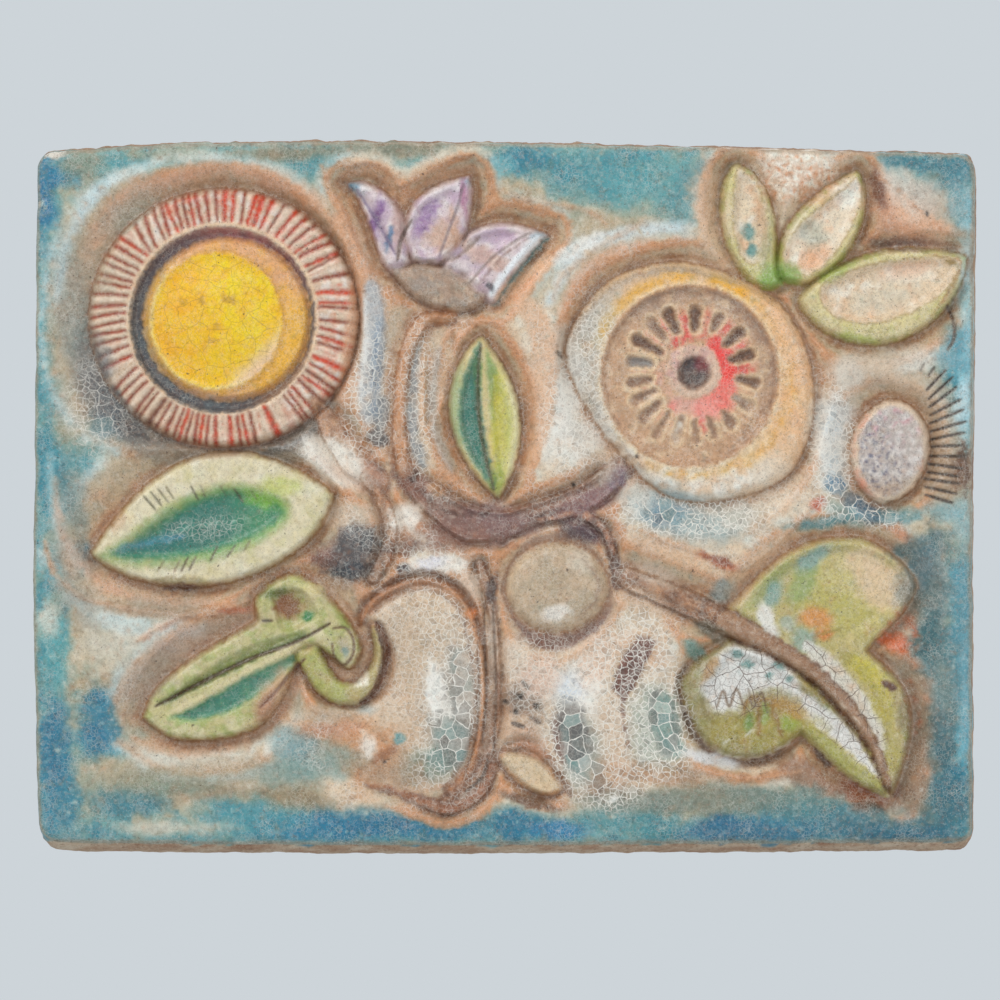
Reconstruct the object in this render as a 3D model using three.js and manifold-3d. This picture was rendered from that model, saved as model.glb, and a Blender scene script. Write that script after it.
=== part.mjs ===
// A decorative wall plaque: one rectangular slab of fired clay, modelled upright as it hangs.
// Millimetres. +X runs along the width, +Z is up, the carved face looks along -Y and the plain
// back lies on the plane y = 0. The origin is the middle of the back.
//
// The face is a level field of clay. Each flower, leaf and stem stands in a hollow cut down round
// its outline, so its own top comes back to about the level of the field: the relief is a height
// above the back, worked out point by point from the outlines, widths and depths named below.

import * as THREE from "three";
import { mergeVertices } from "three/addons/utils/BufferGeometryUtils.js";
import Module from "manifold-3d";

const wasm = await Module();
wasm.setup();

// ---- slab ---------------------------------------------------------------------------------
const FIELD = 20; // clay thickness at the level field
const FLOOR = 13.6; // thickness left under the deepest hollows
const ROLL = 3.4; // how far the glazed edge rolls back
const ROLL_WIDTH = 4.6; // width of that roll
const CORNER = { topLeft: 7, topRight: 6.5, bottomLeft: 9, bottomRight: 6 };
const SIDE_DEPTH = 5; // where the cut sides reach their widest, above the back
const BACK_BEVEL = 1.4; // softened edge of the back
const FLARE = { left: 0.7, right: 1.7, top: 1.3, bottom: 4.6 }; // sides lean out toward the back
// hand-cut edges: [place along the edge, distance from the middle]
const LEFT = [[-152, -197.8], [-110, -199.2], [-45, -200.6], [20, -199.9], [85, -199.4], [152, -198.6]];
const RIGHT = [[-152, 199.2], [-60, 198.9], [0, 199.0], [70, 199.8], [125, 200.3], [152, 199.6]];
const TOP = [[-200, 147.3], [-130, 150.7], [-75, 151.4], [0, 150.8], [82, 149.1], [168, 146.9], [200, 146.2]];
const BOTTOM = [[-200, -150.6], [-120, -151.4], [-20, -151.8], [80, -151.2], [200, -150.4]];

// ---- hanging sockets in the back ------------------------------------------------------------
const SOCKET = { width: 24, height: 14, depth: 9, apart: 220, level: 98 };

// ---- carving levels, above the back -----------------------------------------------------------
const LEAF_TOP = 20.6;
const PETAL_TOP = 20.9;
const STEM_TOP = 18.6;
const STEM_FLOOR = 14.2; // thickness left beside the stems
const RISE = 2.2; // width of the steep step at a motif's foot
const LAP = { width: 2.2, depth: 3.6 }; // groove where one motif lies on another
const SHARP = 1; // marks a pointed corner in an outline

// ---- mesh ----------------------------------------------------------------------------------
const CELL = 1.25; // spacing the relief is measured at
const MAX_POINTS = 4450; // points kept on the face

// ================================ curves ======================================================

// closed or open curve through points; a point marked SHARP keeps a corner
function spline(points, closed = true, steps = 5) {
  const n = points.length;
  const at = (i) => new THREE.Vector2(points[i][0], points[i][1]);
  const out = [];
  for (let i = 0; i < (closed ? n : n - 1); i++) {
    const j = (i + 1) % n;
    const p1 = at(i), p2 = at(j);
    let p0 = closed || i > 0 ? at((i - 1 + n) % n) : p1.clone().multiplyScalar(2).sub(p2);
    let p3 = closed || i < n - 2 ? at((j + 1) % n) : p2.clone().multiplyScalar(2).sub(p1);
    if (points[i][2] === SHARP) p0 = p1.clone().multiplyScalar(2).sub(p2);
    if (points[j][2] === SHARP) p3 = p2.clone().multiplyScalar(2).sub(p1);
    const t = [0];
    for (const [a, b] of [[p0, p1], [p1, p2], [p2, p3]]) t.push(t[t.length - 1] + Math.sqrt(Math.max(a.distanceTo(b), 1e-6)));
    for (let k = 0; k < steps; k++) {
      const u = t[1] + ((t[2] - t[1]) * k) / steps;
      const mix = (a, b, ta, tb) => a.clone().lerp(b, (u - ta) / (tb - ta));
      const a1 = mix(p0, p1, t[0], t[1]), a2 = mix(p1, p2, t[1], t[2]), a3 = mix(p2, p3, t[2], t[3]);
      const b1 = mix(a1, a2, t[0], t[2]), b2 = mix(a2, a3, t[1], t[3]);
      const c = mix(b1, b2, t[1], t[2]);
      out.push([c.x, c.y]);
    }
  }
  if (!closed) out.push([points[n - 1][0], points[n - 1][1]]);
  return out;
}

// outline of a leaf or petal from its base to its tip: the greatest half-width on each side, how
// full each side is near [base, tip], and how far the middle line bends
function leaf(base, tip, left, right, fullLeft, fullRight, bend, steps = 12) {
  const b = new THREE.Vector2(...base), t = new THREE.Vector2(...tip);
  const along = t.clone().sub(b), side = new THREE.Vector2(-along.y, along.x).normalize();
  const full = (s, [p, q]) => (s ** p * (1 - s) ** q) / ((p / (p + q)) ** p * (q / (p + q)) ** q);
  const edge = (s, width, f, sign) =>
    b.clone().addScaledVector(along, s).addScaledVector(side, bend * 4 * s * (1 - s) + sign * width * full(s, f));
  const out = [];
  for (let k = 0; k < steps; k++) out.push(edge((1 - Math.cos((Math.PI * k) / steps)) / 2, left, fullLeft, 1));
  for (let k = steps; k > 0; k--) out.push(edge((1 - Math.cos((Math.PI * k) / steps)) / 2, right, fullRight, -1));
  return out.map((p) => [p.x, p.y]);
}

const smooth = (t) => { t = Math.min(1, Math.max(0, t)); return t * t * (3 - 2 * t); };

// smooth curve through [place, value] pairs
function through(knots, s) {
  let i = 0;
  while (i < knots.length - 2 && s > knots[i + 1][0]) i++;
  const [a, va] = knots[i], [b, vb] = knots[i + 1];
  return va + (vb - va) * smooth((s - a) / (b - a));
}

// distance inside a closed outline, negative outside it
function region(points) {
  const xs = points.map((p) => p[0]), zs = points.map((p) => p[1]);
  const box = [Math.min(...xs), Math.max(...xs), Math.min(...zs), Math.max(...zs)];
  return (x, z, reach = 0) => {
    if (x < box[0] - reach || x > box[1] + reach || z < box[2] - reach || z > box[3] + reach) return -1e3;
    let best = 1e9, inside = false;
    for (let i = 0, j = points.length - 1; i < points.length; j = i++) {
      const [ax, az] = points[j], [bx, bz] = points[i];
      if (az > z !== bz > z && x < ((bx - ax) * (z - az)) / (bz - az) + ax) inside = !inside;
      const dx = bx - ax, dz = bz - az;
      const t = Math.min(1, Math.max(0, ((x - ax) * dx + (z - az) * dz) / (dx * dx + dz * dz + 1e-12)));
      best = Math.min(best, (x - ax - t * dx) ** 2 + (z - az - t * dz) ** 2);
    }
    return inside ? Math.sqrt(best) : -Math.sqrt(best);
  };
}

const ellipse = ([cx, cz], rx, rz) => (x, z) => (1 - Math.hypot((x - cx) / rx, (z - cz) / rz)) * Math.min(rx, rz);

// distance inside a band that follows a line of [x, z, half-width]; also its half-width there
function band(points) {
  const line = spline(points, false, 4);
  const widths = line.map((p, i) => {
    const s = (i / (line.length - 1)) * (points.length - 1), k = Math.min(points.length - 2, Math.floor(s));
    return points[k][2] + (points[k + 1][2] - points[k][2]) * (s - k);
  });
  return (x, z) => {
    let best = -1e3, width = 1;
    for (let i = 0; i < line.length - 1; i++) {
      const [ax, az] = line[i], dx = line[i + 1][0] - ax, dz = line[i + 1][1] - az;
      const t = Math.min(1, Math.max(0, ((x - ax) * dx + (z - az) * dz) / (dx * dx + dz * dz + 1e-12)));
      const w = widths[i] + (widths[i + 1] - widths[i]) * t;
      const d = w - Math.hypot(x - ax - t * dx, z - az - t * dz);
      if (d > best) { best = d; width = w; }
    }
    return [best, width];
  };
}

// ================================ carving =====================================================

// stems and roots: rounded bands
const STEMS = [
  { line: [[-8.3, -26.8, 4.3], [-7, -43.8, 4.7], [-6.6, -86.4, 4.3], [-8.3, -105.5, 4.3], [-12.6, -120.4, 3.8], [-23.6, -128.9, 3.4]], top: 18.4, hollow: 5 },
  { line: [[-27.9, -129.8, 3.2], [-15.1, -128.9, 3.2], [-2.3, -125.5, 2.6]], top: 17.6, hollow: 4 },
  { line: [[-54.3, 11.5, 5.1], [-27.9, -1.3, 7.7], [-15.1, -11.9, 11.1], [-2.3, -14, 8.5], [14.7, -8.1, 5.5], [42.3, 5.1, 5.1], [52.1, 13.2, 4.7]], top: 17.4, hollow: 6 },
  { line: [[-2.3, -16.2, 4.3], [33.8, -9.8, 4.3], [41.9, -14.9, 3.4], [46.2, -26.8, 3]], top: 17.8, hollow: 5 },
  { line: [[-82.3, 38.7, 3.4], [-72.5, 28.5, 4.7], [-62.8, 16.6, 5.1], [-53.4, 8.1, 5.1]], top: STEM_TOP, hollow: 9 },
  { line: [[-59.4, 8.1, 2.6], [-50, -14, 2.6], [-53, -26.8, 2.6]], top: 18, hollow: 5 },
  { line: [[-23.6, 76.2, 3.8], [-34.7, 74.5, 3.8], [-41.5, 62.5, 3.4], [-44.5, 43.4, 3.4], [-44.9, 24.3, 3.4], [-42.8, 11.5, 3.8]], top: STEM_TOP, hollow: 14 },
  { line: [[51.3, -34.5, 4.3], [79.4, -46, 5.1], [93.8, -53.2, 5.5]], top: 19, hollow: 11 },
];

// midrib that carries the last stem on between the two lobes of the large leaf
const RIB = { line: [[93.8, -53.2, 5.5], [112.5, -63, 3.8], [130.4, -74.5, 3.4], [144.5, -88.5, 3], [155.1, -104.2, 2.1], [161.9, -122.5, 1.3]], top: 20.2, groove: 1.8, sunk: 1 };

// leaves, petals, buds and cushions, in the order they overlap. A part of the design stands `top`
// above the back, `hollow` is the width of the cut round it (`well` where that cut has a shape of
// its own), and each scoop is [outline, depth, width of its wall].
const MOTIFS = [
  { outline: spline([[-60.2, -49.8, SHARP], [-41.5, -37.9], [-31.3, -37], [-21.5, -41.3], [-10.4, -63], [-8.7, -77.9], [-10.9, -95.7], [-24.5, -122.1], [-50, -123.8], [-74.7, -111.9], [-74.7, -98.3], [-51.7, -82.1], [-48.3, -67.2]]), top: 18.2, rise: 3.4, dome: 1.2, hollow: 4.2, floor: 14.6 },
  { outline: spline([[23.2, -86.4], [18.1, -102.5], [33.8, -127.2], [48.7, -128.9], [61.5, -116.2], [70.8, -86.4], [69.1, -65.1], [57.2, -48.9], [31.7, -71.1]]), top: 17.4, rise: 6, dome: 0.8, hollow: 3.5, floor: 15.2 },
  { outline: spline([[56.4, -59.1, SHARP], [64, -60.8, SHARP], [54.7, -79.6], [50, -86.4, SHARP], [44.9, -80.8, SHARP], [49.1, -69.4]]), top: 19.2, rise: 1.2, hollow: 0, foot: 18 },
  // round bud in its cup
  { outline: spline([[21.9, -15.3], [36, -19.6], [46.2, -43.8], [40.2, -55.7], [19.8, -65.5], [8.3, -59.1], [-2.8, -38.3], [10.4, -17.4]]), top: 15.4, rise: 1.5, foot: 16.4, hollow: 6, floor: 16.4 },
  { round: ellipse([21.9, -38.3], 22.1, 19.6), top: 19.2, rise: 4, dome: 1.4, foot: 14.6, hollow: 0 },
  // big round flower
  { outline: spline([[25.7, 63.4], [40.2, 88.5], [57.2, 97.4], [78.5, 99.1], [116.8, 81.7], [130.8, 44.7], [120.2, 9.8], [81.9, -2.1], [63.6, 3.8], [35.1, 37]]), well: [[19.8, 47.7], [24, 75.3], [36.8, 95.7], [78.5, 109.4], [101.9, 102.5], [136.4, 64.7], [139.8, 41.3], [121.1, -3.4], [99.8, -17.4], [78.5, -20.4], [53, -9.8], [23.2, 26.4]], top: 20.2, rise: 4.2, dome: 1, daisy: true },
  // left leaf
  { outline: leaf([-72.7, 1.8], [-175.7, -23.7], 52.5, 3.6, [0.81, 0.85], [0.9, 2], -26.1), well: [[-195.5, -25.1], [-179.3, 5.5], [-162.3, 19.1], [-134.2, 26], [-104.5, 24.3], [-74.7, 11.5], [-66.2, -5.5], [-74.7, -26.8], [-98.1, -39.6], [-125.3, -49.8], [-151.3, -51.5], [-175.9, -46.4]], top: LEAF_TOP, rise: 2.4, scoops: [[leaf([-94.8, -3.7], [-169.3, -23.3], 8, 15.2, [0.25, 0.46], [0.91, 1.46], 3.1), 3.6, 4.5]] },
  // folded leaf with a curled end, lower left
  { outline: spline([[-154.2, -93.6, SHARP], [-148.7, -82.1], [-134.2, -69.4], [-105.7, -52.3, SHARP], [-105.7, -42.1], [-90.8, -32.3], [-79.8, -37.4], [-63.6, -56.6], [-61.1, -66], [-66.2, -72.8], [-78.1, -65.1, SHARP], [-87.4, -71.1], [-95.1, -86.4], [-105.3, -97.9], [-123.6, -103], [-141.9, -102.1]]), top: LEAF_TOP, rise: 2.2, hollow: 15,
    scoops: [
      [leaf([-146.9, -87.9], [-83.4, -55.8], 1.3, 6.1, [2, 1.15], [0.75, 0.77], 3.9), 2.4, 2.2],
      [leaf([-142.7, -93.1], [-79.9, -64.3], 3.1, 9.7, [2, 0.77], [0.79, 1.36], 0.1), 2.8, 2.6],
      [spline([[-100.2, -40, SHARP], [-85.7, -39.1], [-78.1, -50.6, SHARP], [-93.8, -57.4]]), 3.6, 2],
    ] },
  { outline: spline([[-87.4, -66], [-78.1, -64.3], [-73, -71.1], [-61.5, -67.7], [-56.8, -72.8], [-58.5, -82.1], [-65.3, -88.9], [-73, -86], [-84, -70.2, SHARP]]), top: 20.2, rise: 2.2, hollow: 5 },
  // tulip
  { outline: leaf([-40.5, 97.9], [-67.5, 132.6], 9.8, 10.1, [0.27, 1.66], [0.78, 0.58], -1.7), top: PETAL_TOP, rise: RISE, hollow: 9.5, scoops: [[leaf([-45.9, 103.1], [-66.2, 131.7], 6.1, 3.1, [0.29, 2], [1.62, 0.87], -1.4), 2.6, 2.4]] },
  { outline: spline([[-16.4, 112.3, SHARP], [-9.2, 115.3], [1.9, 116.2], [18.5, 111.5, SHARP], [9.6, 101.7], [1.1, 90.6], [-5.7, 81.7], [-18.5, 91.5], [-27.9, 96.6]]), top: PETAL_TOP, rise: RISE, hollow: 9.5, scoops: [[leaf([-21.8, 95.3], [10.2, 112.4], 4.7, 11.7, [0.25, 1.82], [0.44, 1.06], 6.8), 3, 2.8]] },
  { outline: leaf([-39.9, 99.8], [-15.1, 136.4], 3.1, 24.1, [0.88, 2], [0.7, 0.91], 10.8), top: PETAL_TOP + 0.4, rise: RISE, hollow: 9.5, scoops: [[leaf([-38.5, 102.3], [-19.3, 133], 4.7, 12.8, [1.05, 2], [0.39, 0.76], 5.8), 2.8, 2.8]] },
  { outline: leaf([-49.6, 96], [-8, 85.1], 13.3, 6, [0.98, 1.06], [0.97, 0.3], -5.7), top: 20, rise: 2.4, hollow: 6 },
  // upright leaf in the middle
  { outline: leaf([-9.8, 68.1], [-3, -1], 24.8, 5.8, [1, 0.97], [0.38, 0.77], -11.9), top: LEAF_TOP, rise: 2, hollow: 8.6,
    scoops: [
      [leaf([-10.9, 66], [-5.3, 3.9], 8.2, 1.9, [0.95, 0.99], [2, 1.3], -10.1), 2.8, 2.6],
      [leaf([-1.9, 9.4], [-8.3, 62.6], 1.2, 6.6, [0.25, 1.03], [1.13, 1.22], 0.1), 2, 2.2],
    ] },
  { outline: leaf([-3.2, -108.6], [25.1, -123.3], 1.9, 11.5, [0.71, 0.94], [0.77, 0.63], 3.8), top: 18.4, rise: 2, hollow: 5, floor: 14.4 },
  // three leaves, top right
  { outline: leaf([118.6, 89.6], [97.9, 141.1], 13.6, 10.5, [0.25, 0.48], [1.48, 0.85], 3.4), top: LEAF_TOP, rise: RISE, hollow: 9, scoops: [[leaf([108.4, 99.2], [98.5, 139.2], 7.2, 7.9, [0.26, 0.98], [0.73, 0.72], 1.1), 3, 2.4]] },
  { outline: leaf([116.9, 91.6], [148.7, 138.5], 11.4, 16.2, [0.68, 1.01], [0.49, 0.6], -0.7), top: LEAF_TOP, rise: RISE, hollow: 8.5, scoops: [[leaf([120.5, 95.3], [149, 134.8], 6.5, 12.8, [0.47, 2], [0.48, 0.63], 2.8), 3, 2.6]] },
  { outline: leaf([124, 83.2], [195.2, 101.4], 9, 29.9, [0.66, 0.78], [0.63, 0.7], 2.8), top: LEAF_TOP, rise: RISE, hollow: 10.5, scoops: [[leaf([133.3, 85], [192, 100.4], 5.3, 18.7, [0.39, 0.93], [0.48, 0.62], 1.9), 3.2, 3]] },
  // small round flower, right
  { outline: spline([[162.8, 41.3], [171.7, 38.7], [178.1, 30.6], [179.8, 20], [176.4, 8.9], [159.3, -3], [146.6, 13.6], [146.6, 24.3], [151.7, 34.5]]), well: [[132.1, 24.3], [136.4, 37.9], [158.5, 51.5], [183.2, 39.6], [186.6, 24.3], [185.7, 8.1], [165.7, -10.6], [140.6, -2.1]], top: 19.6, rise: 2.6, dome: 0.8 },
  // large leaf of two lobes, lower right
  { outline: spline([[93.8, -47.2, SHARP], [110, -31.1], [121.9, -22.1], [138.1, -17.4], [154.2, -18.7], [173.4, -35.3], [170, -46.4], [153.4, -64.7, SHARP], [167.9, -80], [172.1, -95.7], [164, -128.9, SHARP], [148.7, -94], [136.4, -78.7], [116.8, -65.1]]), top: LEAF_TOP, rise: 2.2, hollow: 11,
    scoops: [[spline([[104.9, -43.8], [125.3, -23.4], [141.5, -20.4], [158.5, -23.4], [169.6, -33.6], [167.9, -44.7], [145.7, -63.4], [155.9, -77.9], [163.6, -94.9], [160.2, -108.5], [136.4, -74.5], [117.7, -60.8]]), 2.6, 3.4]] },
  { outline: spline([[94.2, -60, SHARP], [76, -74.5], [74.2, -83], [86.2, -105.5], [99.8, -111.1], [113.4, -108.5], [125.3, -100.4, SHARP], [147.4, -120.4], [162.8, -128.1, SHARP], [156.8, -111.9], [130.4, -79.6], [110.8, -66]]), top: LEAF_TOP, rise: 2.2, hollow: 9,
    scoops: [[spline([[94.7, -64.3, SHARP], [81.9, -83], [84.5, -94.9], [97.7, -101.7], [125.3, -94], [158.5, -118.7, SHARP], [141.5, -93.2], [110.8, -69.4]]), 2.6, 3]] },
];

// sunflower: a ribbed ring, a deep round groove, a flat disc and a domed heart
const SUN = {
  ring: ellipse([-119.4, 75.7], 57, 54.9), body: { top: 21.4, rise: 2.2, cuts: [] }, ringWell: region(spline([[-195.5, 71.1], [-193, 96.6], [-183.6, 119.6], [-167.4, 133.2], [-144.9, 139.1], [-119.4, 141.3], [-95.1, 135.7], [-66.2, 104.2], [-60.2, 76.2], [-66.2, 47.7], [-85.3, 24.3], [-119.4, 17.4], [-151.3, 17.9], [-175.9, 24.3], [-190.4, 43.4]])),
  groove: ellipse([-119.8, 74.7], 41.7, 41.7), grooveDepth: 6,
  disc: ellipse([-118.1, 75.3], 35.7, 34.9), discHeight: 3.8,
  heart: ellipse([-122.3, 74.5], 27.7, 28.9), heartLip: 0.8, heartDome: 3,
};

// big round flower: a sunk dish with ribs like spokes round a hub with a hole in it
const DAISY = { rim: ellipse([77.9, 51.1], 37.4, 38.3), sunk: 2, dish: ellipse([78.1, 51.5], 29.8, 29.8), dishSunk: 0.8, ribs: 22, ribHeight: 1.6, hub: ellipse([79.4, 53.2], 11.5, 11.5), hubHeight: 1.2, hole: ellipse([79.8, 52.3], 7.2, 7.2), holeDepth: 4.4 };

for (const m of MOTIFS) {
  m.inside = m.round ?? region(m.outline);
  if (m.well) m.wellInside = region(spline(m.well));
  m.cuts = (m.scoops ?? []).map(([outline, depth, wall]) => [region(outline), depth, wall]);
}
for (const s of [...STEMS, RIB]) s.inside = band(s.line);

// level of the clay in a hollow, `away` from the motif's foot
const hollow = (away, width, floor) => floor + (FIELD - floor) * (0.5 - 0.5 * Math.cos(Math.PI * Math.min(1, away / width)));

// one part of the design laid on the clay `h` already there: a groove at its foot, then the part
function lay(h, d, m, x, z) {
  const floor = m.foot ?? m.floor ?? FLOOR, foot = Math.max(floor, h - LAP.depth);
  if (d < 0) return -d < LAP.width ? Math.min(h, foot + (h - foot) * smooth(-d / LAP.width)) : h;
  let up = foot + (m.top - foot) * smooth(d / m.rise) + (m.dome ?? 0) * smooth(d / 14);
  for (const [cut, depth, wall] of m.cuts) up -= depth * smooth(cut(x, z) / wall);
  return m.daisy ? daisy(x, z, up) : up;
}

// height of the face above the back at a point, before the edge is rolled
function relief(x, z) {
  let h = FIELD;
  const sun = SUN.ring(x, z), well = SUN.ringWell(x, z);
  if (sun < 0 && well > 0) h = Math.min(h, hollow(-sun, well - sun, FLOOR));
  const stems = STEMS.map((s) => s.inside(x, z));
  const motifs = MOTIFS.map((m) => m.inside(x, z, 26));
  STEMS.forEach((s, i) => { const [d] = stems[i]; if (d < 0 && -d < s.hollow) h = Math.min(h, hollow(-d, s.hollow, STEM_FLOOR)); });
  MOTIFS.forEach((m, i) => {
    const d = motifs[i];
    if (d >= 0) return;
    const edge = m.wellInside?.(x, z);
    if (edge > 0) h = Math.min(h, hollow(-d, edge - d, m.floor ?? FLOOR));
    else if (m.hollow && -d < m.hollow) h = Math.min(h, hollow(-d, m.hollow, m.floor ?? FLOOR));
  });
  const round = (s, [d, w]) => STEM_FLOOR + (s.top - STEM_FLOOR) * Math.sqrt(1 - (1 - Math.min(1, d / w)) ** 2);
  const standing = STEMS.map((s, i) => (stems[i][0] > 0 ? round(s, stems[i]) : 0));
  if (Math.max(...standing) > 0) h = Math.max(...standing);
  MOTIFS.forEach((m, i) => { if (motifs[i] > -LAP.width) h = lay(h, motifs[i], m, x, z); });
  const [d, w] = RIB.inside(x, z);
  if (d > 0) h = Math.max(h, h + (RIB.top - h) * Math.sqrt(1 - (1 - Math.min(1, d / w)) ** 2));
  else if (-d < RIB.groove) h -= RIB.sunk * (1 - smooth(-d / RIB.groove));
  if (sun > -LAP.width) {
    h = lay(h, sun, SUN.body, x, z);
    if (sun > 0) h -= SUN.grooveDepth * smooth(SUN.groove(x, z) / 1.6) - SUN.discHeight * smooth(SUN.disc(x, z) / 2.4);
    const heart = SUN.heart(x, z);
    if (heart > 0) h += SUN.heartLip * smooth(heart / 1.2) + SUN.heartDome * smooth(heart / 20);
  }
  return h;
}

function daisy(x, z, h) {
  h += 0.7 * Math.exp(-((DAISY.rim(x, z) / 1.6) ** 2)) - DAISY.sunk * smooth(DAISY.rim(x, z) / 2.4);
  const dish = DAISY.dish(x, z), hub = DAISY.hub(x, z);
  if (dish > 0) {
    const turn = Math.atan2(z - 53.2, x - 79.4);
    const spokes = 0.5 + 0.5 * Math.cos(DAISY.ribs * turn);
    h += -DAISY.dishSunk * smooth(dish / 1.2) + DAISY.ribHeight * spokes * smooth(dish / 2.4) * smooth(-hub / 2.4);
  }
  return h + DAISY.hubHeight * smooth(hub / 1.6) - DAISY.holeDepth * smooth(DAISY.hole(x, z) / 2.6);
}

// ================================ slab surface ================================================

// place on the slab's outline box, from u and v in -1..1, drawn in by `inset` on each side
function place(u, v, inset) {
  let x = u * 200, z = v * 151;
  for (let k = 0; k < 2; k++) {
    const left = through(LEFT, z) + inset.left, right = through(RIGHT, z) - inset.right;
    const bottom = through(BOTTOM, x) + inset.bottom, top = through(TOP, x) - inset.top;
    x = left + ((right - left) * (u + 1)) / 2;
    z = bottom + ((top - bottom) * (v + 1)) / 2;
  }
  const left = through(LEFT, z) + inset.left, right = through(RIGHT, z) - inset.right;
  const bottom = through(BOTTOM, x) + inset.bottom, top = through(TOP, x) - inset.top;
  const r = u < 0 ? (v < 0 ? CORNER.bottomLeft : CORNER.topLeft) : v < 0 ? CORNER.bottomRight : CORNER.topRight;
  const sx = u < 0 ? -1 : 1, sz = v < 0 ? -1 : 1;
  const cx = (u < 0 ? left : right) - sx * r, cz = (v < 0 ? bottom : top) - sz * r;
  const px = sx * (x - cx), pz = sz * (z - cz);
  let edge = Math.min(x - left, right - x, z - bottom, top - z);
  if (px > 0 && pz > 0) {
    const m = Math.max(px, pz), l = Math.hypot(px, pz);
    x = cx + (sx * px * m) / l;
    z = cz + (sz * pz * m) / l;
    edge = r - m;
  }
  return [x, z, Math.max(0, edge)];
}

// front of the slab, at grid place (i, j)
const NU = Math.round(400 / CELL) + 1, NV = Math.round(302 / CELL) + 1;
function front(i, j) {
  const [x, z, edge] = place((2 * i) / (NU - 1) - 1, (2 * j) / (NV - 1) - 1, FLARE);
  const roll = ROLL * (1 - Math.sqrt(1 - (1 - Math.min(1, edge / ROLL_WIDTH)) ** 2));
  return [x, -(Math.min(relief(x, z), FIELD + 4) - roll), z];
}

// the rolled edge is followed more closely than the field
const weight = (i, j) => (Math.min(i, j, NU - 1 - i, NV - 1 - j) * CELL < ROLL_WIDTH + 1 ? 2.2 : 1);

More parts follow.
